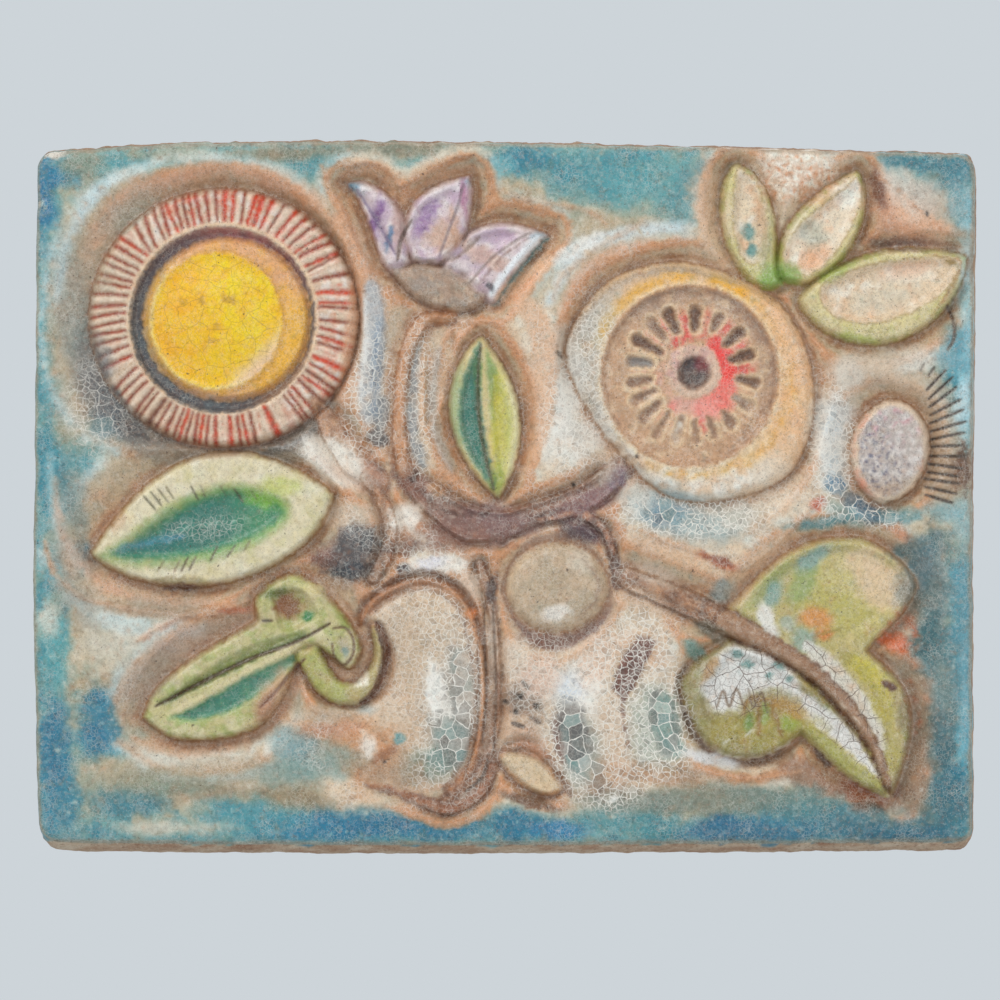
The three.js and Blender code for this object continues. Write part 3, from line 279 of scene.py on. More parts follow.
# leaves, petals, buds and cushions in the order they overlap; each scoop is (outline, depth, wall)
MOTIFS = {
    "lobe": motif(spline([(-60.2, -49.8, SHARP), (-41.5, -37.9), (-31.3, -37), (-21.5, -41.3), (-10.4, -63), (-8.7, -77.9), (-10.9, -95.7), (-24.5, -122.1), (-50, -123.8), (-74.7, -111.9), (-74.7, -98.3), (-51.7, -82.1), (-48.3, -67.2)]), 18.2, 3.4, 1.2, 4.2, 14.6),
    "lobe_right": motif(spline([(23.2, -86.4), (18.1, -102.5), (33.8, -127.2), (48.7, -128.9), (61.5, -116.2), (70.8, -86.4), (69.1, -65.1), (57.2, -48.9), (31.7, -71.1)]), 18.4, 9, 0.6, 3.5, 16.6),
    "lozenge": motif(spline([(56.4, -59.1, SHARP), (64, -60.8, SHARP), (54.7, -79.6), (50, -86.4, SHARP), (44.9, -80.8, SHARP), (49.1, -69.4)]), 19.2, 1.2, 0, 0, foot=18),
    "cup": motif(spline([(21.9, -15.3), (36, -19.6), (46.2, -43.8), (40.2, -55.7), (19.8, -65.5), (8.3, -59.1), (-2.8, -38.3), (10.4, -17.4)]), 15.4, 1.5, 0, 6, 16.4, 16.4),
    "bud": motif(spline([(44, -38.3), (41.2, -29.3), (33, -21.8), (21.9, -18.8), (10.9, -21.6), (2.6, -28.4), (-0.2, -38.3), (3, -48.6), (11, -55.4), (21.9, -57.8), (33, -55), (41, -47.6)]), 19.2, 4, 1.4, 0, foot=14.6),
    "flower": motif(spline([(25.7, 63.4), (40.2, 88.5), (57.2, 97.4), (78.5, 99.1), (116.8, 81.7), (130.8, 44.7), (120.2, 9.8), (81.9, -2.1), (63.6, 3.8), (35.1, 37)]), 20.2, 4.2, 1, well=[(19.8, 47.7), (24, 75.3), (36.8, 95.7), (78.5, 109.4), (101.9, 102.5), (136.4, 64.7), (139.8, 41.3), (121.1, -3.4), (99.8, -17.4), (78.5, -20.4), (53, -9.8), (23.2, 26.4)]),
    "leaf_left": motif(leaf([-72.7, 1.8], [-175.7, -23.7], 52.5, 3.6, [0.81, 0.85], [0.9, 2], -26.1), 20.6, 2.4, well=[(-195.5, -25.1), (-179.3, 5.5), (-162.3, 19.1), (-134.2, 26), (-104.5, 24.3), (-74.7, 11.5), (-66.2, -5.5), (-74.7, -26.8), (-98.1, -39.6), (-125.3, -49.8), (-151.3, -51.5), (-175.9, -46.4)],
                       scoops=[(leaf([-92.6, -1.8], [-171.2, -24.4], 11.5, 16.8, [0.3, 0.6], [0.91, 1.4], 3.1), 3.8, 5.5)]),
    "curl": motif(spline([(-154.2, -93.6, SHARP), (-148.7, -82.1), (-134.2, -69.4), (-105.7, -52.3, SHARP), (-105.7, -42.1), (-90.8, -32.3), (-79.8, -37.4), (-63.6, -56.6), (-61.1, -66), (-66.2, -72.8), (-78.1, -65.1, SHARP), (-87.4, -71.1), (-95.1, -86.4), (-105.3, -97.9), (-123.6, -103), (-141.9, -102.1)]), 20.6, 2.2, 0, 15,
                  scoops=[
                      (leaf([-146.9, -87.9], [-83.4, -55.8], 1.3, 6.1, [2, 1.15], [0.75, 0.77], 3.9), 2.4, 2.2),
                      (leaf([-142.7, -93.1], [-79.9, -64.3], 3.1, 9.7, [2, 0.77], [0.79, 1.36], 0.1), 2.8, 2.6),
                      (spline([(-100.2, -40, SHARP), (-85.7, -39.1), (-78.1, -50.6, SHARP), (-93.8, -57.4)]), 3.6, 2),
                  ]),
    "curl_arm": motif(spline([(-89.1, -66.8), (-85.7, -74.5), (-80.6, -82.1), (-73, -87.2), (-63.6, -88.5), (-56, -83.8), (-51.3, -73.6), (-50, -62.5), (-53.4, -54), (-57.2, -54.9), (-56, -64.3), (-57.7, -71.9), (-62.8, -77.4), (-68.3, -78.3), (-73, -74.5), (-76.4, -68.1), (-80.6, -63)]), 20.2, 1.8, 0, 5),
    "tulip_left": motif(leaf([-40.5, 97.9], [-67.5, 132.6], 9.8, 10.1, [0.27, 1.66], [0.78, 0.58], -1.7), 20.9, 2.2, 0, 9.5, scoops=[(leaf([-45.9, 103.1], [-66.2, 131.7], 6.1, 3.1, [0.29, 2], [1.62, 0.87], -1.4), 2.6, 2.4)]),
    "tulip_right": motif(spline([(-16.4, 112.3, SHARP), (-9.2, 115.3), (1.9, 116.2), (18.5, 111.5, SHARP), (9.6, 101.7), (1.1, 90.6), (-5.7, 81.7), (-18.5, 91.5), (-27.9, 96.6)]), 20.9, 2.2, 0, 9.5, scoops=[(leaf([-21.8, 95.3], [10.2, 112.4], 4.7, 11.7, [0.25, 1.82], [0.44, 1.06], 6.8), 3, 2.8)]),
    "tulip_mid": motif(leaf([-39.9, 99.8], [-15.1, 136.4], 3.1, 24.1, [0.88, 2], [0.7, 0.91], 10.8), 21.3, 2.2, 0, 9.5, scoops=[(leaf([-38.5, 102.3], [-19.3, 133], 4.7, 12.8, [1.05, 2], [0.39, 0.76], 5.8), 2.8, 2.8)]),
    "calyx": motif(leaf([-49.6, 96], [-8, 85.1], 13.3, 6, [0.98, 1.06], [0.97, 0.3], -5.7), 20, 2.4, 0, 6),
    "leaf_mid": motif(leaf([-9.8, 68.1], [-3, -1], 24.8, 5.8, [1, 0.97], [0.38, 0.77], -11.9), 20.6, 2, 0, 8.6,
                      scoops=[
                          (leaf([-10.9, 66], [-5.3, 3.9], 8.2, 1.9, [0.95, 0.99], [2, 1.3], -10.1), 2.8, 2.6),
                          (leaf([-1.9, 9.4], [-8.3, 62.6], 1.2, 6.6, [0.25, 1.03], [1.13, 1.22], 0.1), 2, 2.2),
                      ]),
    "leaf_base": motif(leaf([-3.2, -108.6], [25.1, -123.3], 1.9, 11.5, [0.71, 0.94], [0.77, 0.63], 3.8), 18.4, 2, 0, 5, 14.4),
    "leaf_a": motif(leaf([118.6, 89.6], [97.9, 141.1], 13.6, 10.5, [0.25, 0.48], [1.48, 0.85], 3.4), 20.6, 2.2, 0, 9, scoops=[(leaf([108.4, 99.2], [98.5, 139.2], 7.2, 7.9, [0.26, 0.98], [0.73, 0.72], 1.1), 3, 2.4)]),
    "leaf_b": motif(leaf([116.9, 91.6], [148.7, 138.5], 11.4, 16.2, [0.68, 1.01], [0.49, 0.6], -0.7), 20.6, 2.2, 0, 8.5, scoops=[(leaf([120.5, 95.3], [149, 134.8], 6.5, 12.8, [0.47, 2], [0.48, 0.63], 2.8), 3, 2.6)]),
    "leaf_c": motif(leaf([124, 83.2], [195.2, 101.4], 9, 29.9, [0.66, 0.78], [0.63, 0.7], 2.8), 20.6, 2.2, 0, 10.5, scoops=[(leaf([133.3, 85], [192, 100.4], 5.3, 18.7, [0.39, 0.93], [0.48, 0.62], 1.9), 3.2, 3)]),
    "thistle": motif(spline([(162.8, 41.3), (171.7, 38.7), (178.1, 30.6), (179.8, 20), (176.4, 8.9), (169, 0.4), (159.3, -3), (151, 3), (146.6, 13.6), (146.6, 24.3), (151.7, 34.5)]), 19.6, 2.6, 0.8, well=[(132.1, 24.3), (136.4, 37.9), (158.5, 51.5), (183.2, 39.6), (186.6, 24.3), (185.7, 8.1), (165.7, -10.6), (140.6, -2.1)]),
    "leaf_up": motif(spline([(93.8, -47.2, SHARP), (110, -31.1), (121.9, -22.1), (138.1, -17.4), (154.2, -18.7), (173.4, -35.3), (170, -46.4), (153.4, -64.7, SHARP), (167.9, -80), (172.1, -95.7), (164, -128.9, SHARP), (148.7, -94), (136.4, -78.7), (116.8, -65.1)]), 20.6, 2.2, 0, 11,
                     scoops=[(spline([(104.9, -43.8), (125.3, -23.4), (141.5, -20.4), (158.5, -23.4), (169.6, -33.6), (167.9, -44.7), (145.7, -63.4), (155.9, -77.9), (163.6, -94.9), (160.2, -108.5), (136.4, -74.5), (117.7, -60.8)]), 2.6, 3.4)]),
    "leaf_low": motif(spline([(94.2, -60, SHARP), (76, -74.5), (74.2, -83), (86.2, -105.5), (99.8, -111.1), (113.4, -108.5), (125.3, -100.4, SHARP), (147.4, -120.4), (162.8, -128.1, SHARP), (156.8, -111.9), (130.4, -79.6), (110.8, -66)]), 20.6, 2.2, 0, 9,
                      scoops=[(spline([(94.7, -64.3, SHARP), (81.9, -83), (84.5, -94.9), (97.7, -101.7), (125.3, -94), (158.5, -118.7, SHARP), (141.5, -93.2), (110.8, -69.4)]), 2.6, 3)]),
}
SUN_WELL = [(-195.5, 71.1), (-193, 96.6), (-183.6, 119.6), (-167.4, 133.2), (-144.9, 139.1), (-119.4, 141.3), (-95.1, 135.7), (-66.2, 104.2), (-60.2, 76.2), (-66.2, 47.7), (-85.3, 24.3), (-119.4, 17.4), (-151.3, 17.9), (-175.9, 24.3), (-190.4, 43.4)]

# ================================ relief ======================================================

H = np.full(SHAPE, FIELD)  # height of the face above the back
IN = {}  # distance inside each part of the design
TROUGH = np.full(SHAPE, 9.0)  # across the nearest hollow: 0 at the foot, 1 at the outer edge, more beyond
FOOT = np.full(SHAPE, 60.0)  # distance outside the nearest part of the design
DEEP = {}  # distance inside each scoop


def hollow(away, width, floor):
    return floor + (FIELD - floor) * (0.5 - 0.5 * np.cos(math.pi * np.clip(away / width, 0, 1)))


def dig(away, width, floor):
    """cut a hollow of the given width, starting `away` from a foot"""
    out = away > 0
    H[out] = np.minimum(H, hollow(away, width, floor))[out]
    across = np.where(away < width, away / width, 1 + (away - width) / 12)
    TROUGH[out] = np.minimum(TROUGH, across)[out]
    FOOT[out] = np.minimum(FOOT, away)[out]


SUN = ellipse((-119.4, 75.7), 57, 54.9)
SUN_R = np.hypot(X + 119.6, Z - 75.4)
SUN_A = np.degrees(np.arctan2(Z - 75.4, X + 119.6)) % 360
edge = region(spline(SUN_WELL))
dig(-SUN, np.where(edge > 0, edge - SUN, 0.001 - SUN - np.minimum(-edge, 40) * 1.0), FLOOR)

# where the arched cushion has no edge: towards the lower left
SOFT_SIDE = ramp(-(X + 66) * 0.5 - (Z + 84), -8, 8)
stems = {}
for name, (points, top, width) in STEMS.items():
    stems[name] = band(points, width + 3)
    d = stems[name][0]
    H = np.where((d < 0) & (d > -width), np.minimum(H, hollow(-d, width, STEM_FLOOR)), H)
    FOOT = np.where(d < 0, np.minimum(FOOT, -d), FOOT)
    TROUGH = np.where((d < 0) & (d > -width), np.minimum(TROUGH, -d / width), TROUGH)
for name, m in MOTIFS.items():
    IN[name] = d = region(m["outline"], 34)
    if m["well"]:
        edge = region(spline(m["well"]), 20)
        dig(-d, np.where(edge > 0, edge - d, 0.001 - d - np.minimum(-edge, 20)), m["floor"])
    elif m["hollow"]:
        kept = TROUGH.copy(), FOOT.copy()
        dig(-d, m["hollow"], m["floor"])
        if name in ("lobe", "lobe_right"):
            # these run out into the field on one side without an edge
            faint = 1.0 if name == "lobe_right" else SOFT_SIDE
            TROUGH, FOOT = mix(TROUGH, kept[0], faint), mix(FOOT, kept[1], faint)
    else:
        FOOT = np.where(d < 0, np.minimum(FOOT, -d), FOOT)

# slow waves of hand-pressed clay
H += 0.35 * cloud(X, Z, 34, 3, 3) + 0.12 * cloud(X, Z, 7, 2, 8)

standing = np.zeros(SHAPE)
waver = 0.9 * noise(X, Z, 9, 12) + 0.5 * noise(X, Z, 3.5, 13)
for name, (points, top, width) in STEMS.items():
    d, w, s = stems[name]
    d = d + np.where(d > -4, waver * 0.8, 0)
    base = {"arch": 16.6, "root": 15.4, "root_right": 15.6, "branch": 15.2, "wedge": 15.4}.get(name, 15.0)
    t = np.clip((d + 1.0) / (w + 1.0), 0, 1)
    round_top = base + (top + 0.5 * waver - base) * smooth(t * 1.15) ** 0.8
    standing = np.maximum(standing, np.where(t > 0, round_top, 0))


standing = np.where(standing > 0, mix(standing, blur(standing, 1.6), 0.5), standing)
# a fine double crest on the flat stems and branches
for points in (
    [(-81.5, 37.9), (-74.7, 24.3), (-67.9, 12.3), (-61.9, 3)], [(-71.3, 37.9), (-65.3, 26), (-57.7, 17.4), (-45.7, 14.9)], [(-41.5, 11.5), (-33.8, 1.3), (-26.2, -6.4), (-15.1, -9.8), (-5.7, -6.4)], [(-2.3, -14.9), (10.4, -9.8), (21.5, -4.7), (36, 2.1), (45.3, 12.3)],
    [(-55.1, 3), (-49.1, -6.4), (-46.6, -17.4), (-50, -29.4)], [(-43.2, -9.8), (-23.6, -21.7), (-15.1, -26.8), (-10, -39.6)], [(-36.4, 3.8), (-30.4, 6.4), (-25.3, 2.1), (-28.7, -2.1), (-34.7, 2.1)],
    [(46.2, -39.6), (65.7, -45.5), (82.8, -53.2)], [(49.6, -31.1), (67.4, -36.2), (84.5, -43)],
):
    crest = stroke(points, 0.9, 0.8)
    standing = np.where(standing > 0, standing + 0.8 * crest, standing)
    H += 0.9 * crest * (standing <= 0)
blend_in = ramp(standing, 15.0, 16.2)
H = np.where(standing > 0, np.maximum(mix(H, standing, blend_in), np.minimum(standing, H)), H)


def lay(d, m):
    """one part of the design laid on the clay already there: a groove at its foot, then the part"""
    global H
    floor = m["foot"] or m["floor"]
    foot = np.maximum(floor, H - LAP_DEPTH)
    out = (d < 0) & (d > -LAP_WIDTH)
    H = np.where(out, np.minimum(H, foot + (H - foot) * smooth(-d / LAP_WIDTH)), H)
    up = foot + (m["top"] - foot) * smooth(d / m["rise"]) + m["dome"] * smooth(d / 14)
    H = np.where(d >= 0, up, H)


for name, m in MOTIFS.items():
    before = H
    lay(IN[name], m)
    if name == "lobe":
        arch_d = stems["arch"][0]
        H = mix(H, np.maximum(H, before), ramp(arch_d, -0.8, 1.2))
        H = mix(H, blur(H, 5), SOFT_SIDE * ramp(-np.abs(IN[name]), -9, -2))
    elif name == "lobe_right":
        H = mix(H, blur(H, 4), ramp(-np.abs(IN[name]), -9, -2))
    for k, (outline, depth, wall) in enumerate(m["scoops"]):
        DEEP[name, k] = cut = region(outline, 6)
        H -= np.where(IN[name] > 0, depth * smooth(cut / wall), 0)

# midrib over the two lobes of the large leaf
rib, rib_w, rib_s = band(RIB, 8)
H = np.where(rib > 0, np.maximum(H, H + (20.2 - H) * np.sqrt(1 - (1 - np.clip(rib / rib_w, 0, 1)) ** 2)), H - (1 - smooth(-rib / 1.8)) * 1.0)

# sunflower: ring, deep groove, disc and domed heart
lay(SUN, dict(top=21.2, rise=2.6, foot=None, floor=FLOOR, dome=0.0))
groove = ellipse((-119.8, 74.7), 39.4, 39.4)
disc = ellipse((-118.1, 75.3), 35.7, 34.9)
heart = ellipse((-122.3, 74.5), 27.7, 28.9)
HEART, DISC, GROOVE = heart, disc, groove
H -= 6.2 * smooth(groove / 2.0) - 3.9 * smooth(disc / 2.6)
H += np.where(heart > -2, 0.9 * np.exp(-(((heart - 0.2) / 1.3) ** 2)) + 2.6 * smooth(heart / 22), 0)

# ribs of the ring: [angle at the inner end, angle at the outer end, half-width, redness]
RIBS = [
    (-0.8, -2, 0.7, 0.3), (6.9, 4.2, 0.7, 0.2), (9.3, 6.6, 0.6, 0.9), (15, 11.5, 0.8, 1), (22.5, 20, 0.9, 0.2), (28.7, 28.7, 0.6, 0.1), (32, 30, 0.8, 0.9), (38.7, 35.5, 0.9, 0.4), (42.5, 39.5, 0.6, 0.8),
    (47.5, 45.5, 0.7, 0.2), (52, 50.5, 0.8, 0.6), (57, 55.5, 0.8, 0.8), (62.5, 61.5, 0.6, 0.2), (67.5, 67, 0.9, 0.8), (71.6, 71.5, 1.3, 1), (75.5, 74.5, 0.8, 0.9), (79.2, 80, 0.7, 0.3), (84.7, 84.7, 0.8, 1),
    (88.9, 88.9, 1.1, 0.9), (93, 93.2, 0.7, 0.3), (97.8, 97.8, 0.8, 0.4), (102.5, 102.5, 0.9, 0.5), (106.5, 105.5, 0.8, 0.7), (110.3, 108.3, 0.8, 0.2), (114, 112, 0.8, 0.4), (117, 116.5, 0.7, 1), (122, 118.6, 0.8, 0.4),
    (126, 122.5, 0.7, 0.3), (132.5, 127, 0.8, 0.4), (137, 132.8, 0.8, 0.3), (140.2, 141.7, 0.7, 0.7), (145, 145.8, 0.9, 0.4), (150, 151, 0.8, 0.3), (154, 154.7, 0.7, 0.2), (158.3, 160, 0.8, 0.3), (162, 163.8, 0.7, 0.3),
    (166.7, 169, 0.8, 0.3), (172.2, 175, 0.9, 0.4), (176.7, 179.6, 0.8, 0.4), (181.7, 184, 0.7, 0.3), (187, 187.5, 0.8, 0.4), (191, 192, 0.8, 0.2), (196, 197.7, 0.8, 0.3), (202.2, 202.8, 0.9, 0.6), (209.8, 213.3, 0.8, 0.3),
    (215, 217, 0.7, 0.2), (219.8, 221, 0.8, 0.2), (225.3, 227, 0.8, 0.2), (229, 229.6, 0.7, 0.1), (234.6, 234.6, 1.4, 0), (238.5, 238.5, 0.7, 0.2), (242.8, 243.3, 0.8, 0.3), (247, 247.3, 0.7, 0.4), (249.8, 249.8, 0.7, 0.9),
    (252.5, 252.8, 0.7, 0.2), (255.9, 257, 0.8, 0.4), (259, 259.3, 0.7, 0.9), (262, 262.4, 0.7, 0.5), (266, 267, 0.8, 0.7), (274, 274, 0.9, 1), (278.3, 278.3, 0.8, 0.5), (281.5, 281.5, 0.7, 0.8), (286, 285, 0.8, 0.2),
    (295.5, 295.5, 1.1, 1), (308.5, 308.5, 0.7, 0.2), (312, 310.5, 0.7, 0.3), (315.5, 314.5, 0.7, 0.6), (321, 320, 1.0, 0.2), (324.5, 324.5, 0.7, 0.8), (328.3, 327.6, 0.9, 0.1), (333, 332, 0.7, 0.6), (337.5, 337, 1.0, 1),
    (345.8, 345, 0.8, 0.2), (349.5, 347.5, 0.8, 0.8), (354.4, 352, 0.7, 0.5),
]
NOTCH = np.full(SHAPE, 9.0)  # distance from the nearest notch between ribs, in its half-widths
NOTCH_RED = np.zeros(SHAPE)
ring = (SUN > -0.6) & (SUN_R > 40)
reach = (1 - SUN / 57)  # 1 at the outer edge of the ring
along = np.clip((SUN_R - 42.4) / 12.4, 0, 1)
for a0, a1, half, red in RIBS:
    off = (SUN_A - mix(a0, a1, along) + 180) % 360 - 180
    d = np.abs(np.radians(off)) * SUN_R / (half * mix(0.8, 1.15, along))
    near = ring & (d < NOTCH)
    NOTCH[near], NOTCH_RED[near] = d[near], red
open_at = ramp(SUN_R, 40.2, 41.6) * ramp(SUN, -0.4, 0.8)
H -= np.where(ring, 1.55 * np.exp(-(NOTCH**2)) * open_at, 0)

# daisy: rim, sunk ring, scooped dish, hub and hole
FL_RIM, FL_DISH = ellipse((77.9, 51.1), 37.4, 38.3), ellipse((78.4, 52.1), 29.8, 29.8)
FL_HUB, FL_HOLE = ellipse((79.4, 53.2), 11.8, 11.8), ellipse((79.8, 52.3), 7.6, 7.8)
FL_R = np.hypot(X - 79.4, Z - 53.2)
FL_A = np.degrees(np.arctan2(Z - 53.2, X - 79.4)) % 360
H += 0.9 * np.exp(-(((FL_RIM - 0.3) / 1.1) ** 2)) - 1.9 * smooth(FL_RIM / 2.2)
# scoops between the spokes: [angle, inner end, outer end, half-width, depth]
SCOOPS = [
    (112.8, 16, 28.5, 2.9, 2.5), (87.7, 15.5, 27.5, 2.9, 2.6), (64, 17.5, 27, 2.5, 1.8), (39.4, 16, 27.5, 2.9, 2.7), (16.3, 14.5, 27, 2.8, 2.6), (-10.5, 17.5, 28.5, 2.6, 2.2), (-32, 19, 29.5, 2.6, 1.4),
    (-53.8, 20, 29.5, 2.7, 1.5), (-71.6, 19, 30, 2.0, 1.4), (-88, 19.5, 31, 1.9, 1.3), (-104, 18.5, 31, 2.2, 1.3), (-120, 19, 33, 2.1, 1.3), (-137, 17.5, 31, 2.6, 1.4), (-153, 16.5, 29.5, 2.4, 1.5), (-169, 16.5, 28.5, 2.6, 1.6),
    (170.5, 16, 28.5, 2.6, 2.2), (150.8, 13.5, 29.5, 2.8, 2.7), (131, 17, 29, 2.6, 1.6),
]
SCOOP = np.full(SHAPE, -9.0)  # distance inside the nearest scoop
SCOOP_DEPTH = np.zeros(SHAPE)
near = FL_R < 38
for k, (angle, r0, r1, half, depth) in enumerate(SCOOPS):
    t = math.radians(angle)
    a, b = r0 + half * 0.8, r1 - half * 0.8
    x, z = X - 79.4, Z - 53.2
    s = np.clip(x * math.cos(t) + z * math.sin(t), a, b)
    wide = half * mix(0.72, 1.1, (s - a) / (b - a))
    d = np.where(near, wide - np.hypot(x - s * math.cos(t), z - s * math.sin(t)) + 0.25 * noise(X, Z, 3, 40 + k), -9)
    SCOOP_DEPTH = np.where(d > SCOOP, depth, SCOOP_DEPTH)
    SCOOP = np.maximum(SCOOP, d)
H -= SCOOP_DEPTH * ramp(SCOOP, -0.35, 1.7)
H += 0.5 * np.exp(-(((SCOOP + 0.5) / 0.6) ** 2)) * (near & (SCOOP_DEPTH > 0))
H += 1.2 * smooth(FL_HUB / 1.8) - 4.4 * smooth(FL_HOLE / 3.2)

# glaze has run into every angle and softened it
H = mix(H, blur(H, 0.55), 0.85)

CREST = H - blur(H, 2.0)  # above 0 on crests, below 0 in angles

# sharp ridges between neighbouring hollows, where the glaze runs thin
RIDGES = [
    ([(-78.1, 140.8), (-73.8, 130.6), (-67.9, 117), (-63.6, 106.8), (-56, 94), (-52.5, 78.7), (-54.3, 58.3), (-57.7, 40.4)], 1.1, 1.0), ([(-70.4, 138.3), (-59.8, 141.7), (-50, 139.1), (-44.9, 131.5)], 1.0, 0.9), ([(-44.9, 131.5), (-36.4, 134.9), (-28.7, 140), (-17.7, 144.7), (-10, 142.5), (-4, 130.6)], 1.0, 0.9),
    ([(-4, 130.6), (7, 126.4), (21.5, 123.8), (36, 120.4), (42.8, 115.3)], 1.0, 0.7), ([(-7.4, 70.6), (-14.3, 74.5), (-21.5, 71.9), (-27, 64.7), (-30.8, 51.1), (-32.1, 36.2), (-28.7, 21.7), (-20.2, 7.2)], 1.0, 1.0), ([(-5.7, 74.5), (1.9, 71.1), (7.9, 61.7), (12.1, 45.5), (13, 28.5), (8.7, 11.5)], 0.9, 0.5),
    ([(19.8, 83.8), (23.2, 92.3), (31.7, 100), (41.9, 107.7), (57.2, 115.3)], 1.0, 0.6), ([(57.2, -14), (69.1, -19.1), (82.8, -23.8), (92.1, -29.4), (99.8, -30.6), (116.8, -18.3), (131.7, -2.1)], 1.2, 1.1), ([(-194.7, -18.7), (-191.3, -31.1), (-181.1, -41.3), (-164, -46.4), (-144.9, -48.9), (-125.3, -50.2), (-108.7, -43.8)], 1.1, 1.0),
    ([(-155.5, -60.8), (-142.8, -53.2), (-127.9, -48.1), (-114.7, -46.4)], 1.0, 0.9), ([(-164, -103.4), (-159.8, -86.4), (-151.3, -69.4), (-140.2, -59.1)], 1.0, 0.6), ([(159.3, 107.2), (173, 112.8), (189.1, 111.9)], 1.0, 0.6), ([(154.2, 139.1), (161.9, 128.1), (161.1, 115.3), (155.9, 107.7)], 1.0, 0.7), ([(144.9, 61.7), (159.3, 58.3), (176.4, 61.7), (189.1, 71.1)], 1.0, 0.7),
    ([(82.8, 147.6), (87.9, 130.6), (85.3, 111.1)], 1.0, 0.5), ([(106.6, 143.4), (115.9, 126.4), (118.5, 119.6)], 1.0, 0.8), ([(133.8, 49.8), (141.5, 60), (151.7, 58.3)], 1.0, 0.5), ([(173, -4.7), (181.5, -14), (183.2, -43.8), (180.6, -77.9)], 1.1, 0.6), ([(74.2, -111.9), (89.6, -117), (108.3, -118.7), (125.3, -116.2)], 1.1, 0.8),
    ([(-0.2, -108.5), (4.5, -116.2), (14.7, -123.8), (24, -127.2)], 1.2, 1.0), ([(50.8, -108.5), (70, -112.8), (82.8, -116.2)], 1.1, 0.8),
]
RIDGE = np.zeros(SHAPE)
for points, half, tall in RIDGES:
    cut = stroke(points, half, 0.9)
    H += 0.9 * tall * cut * ramp(FOOT, 0.5, 2.5)
    RIDGE = np.maximum(RIDGE, tall * stroke(points, half * 1.1, 1.0))

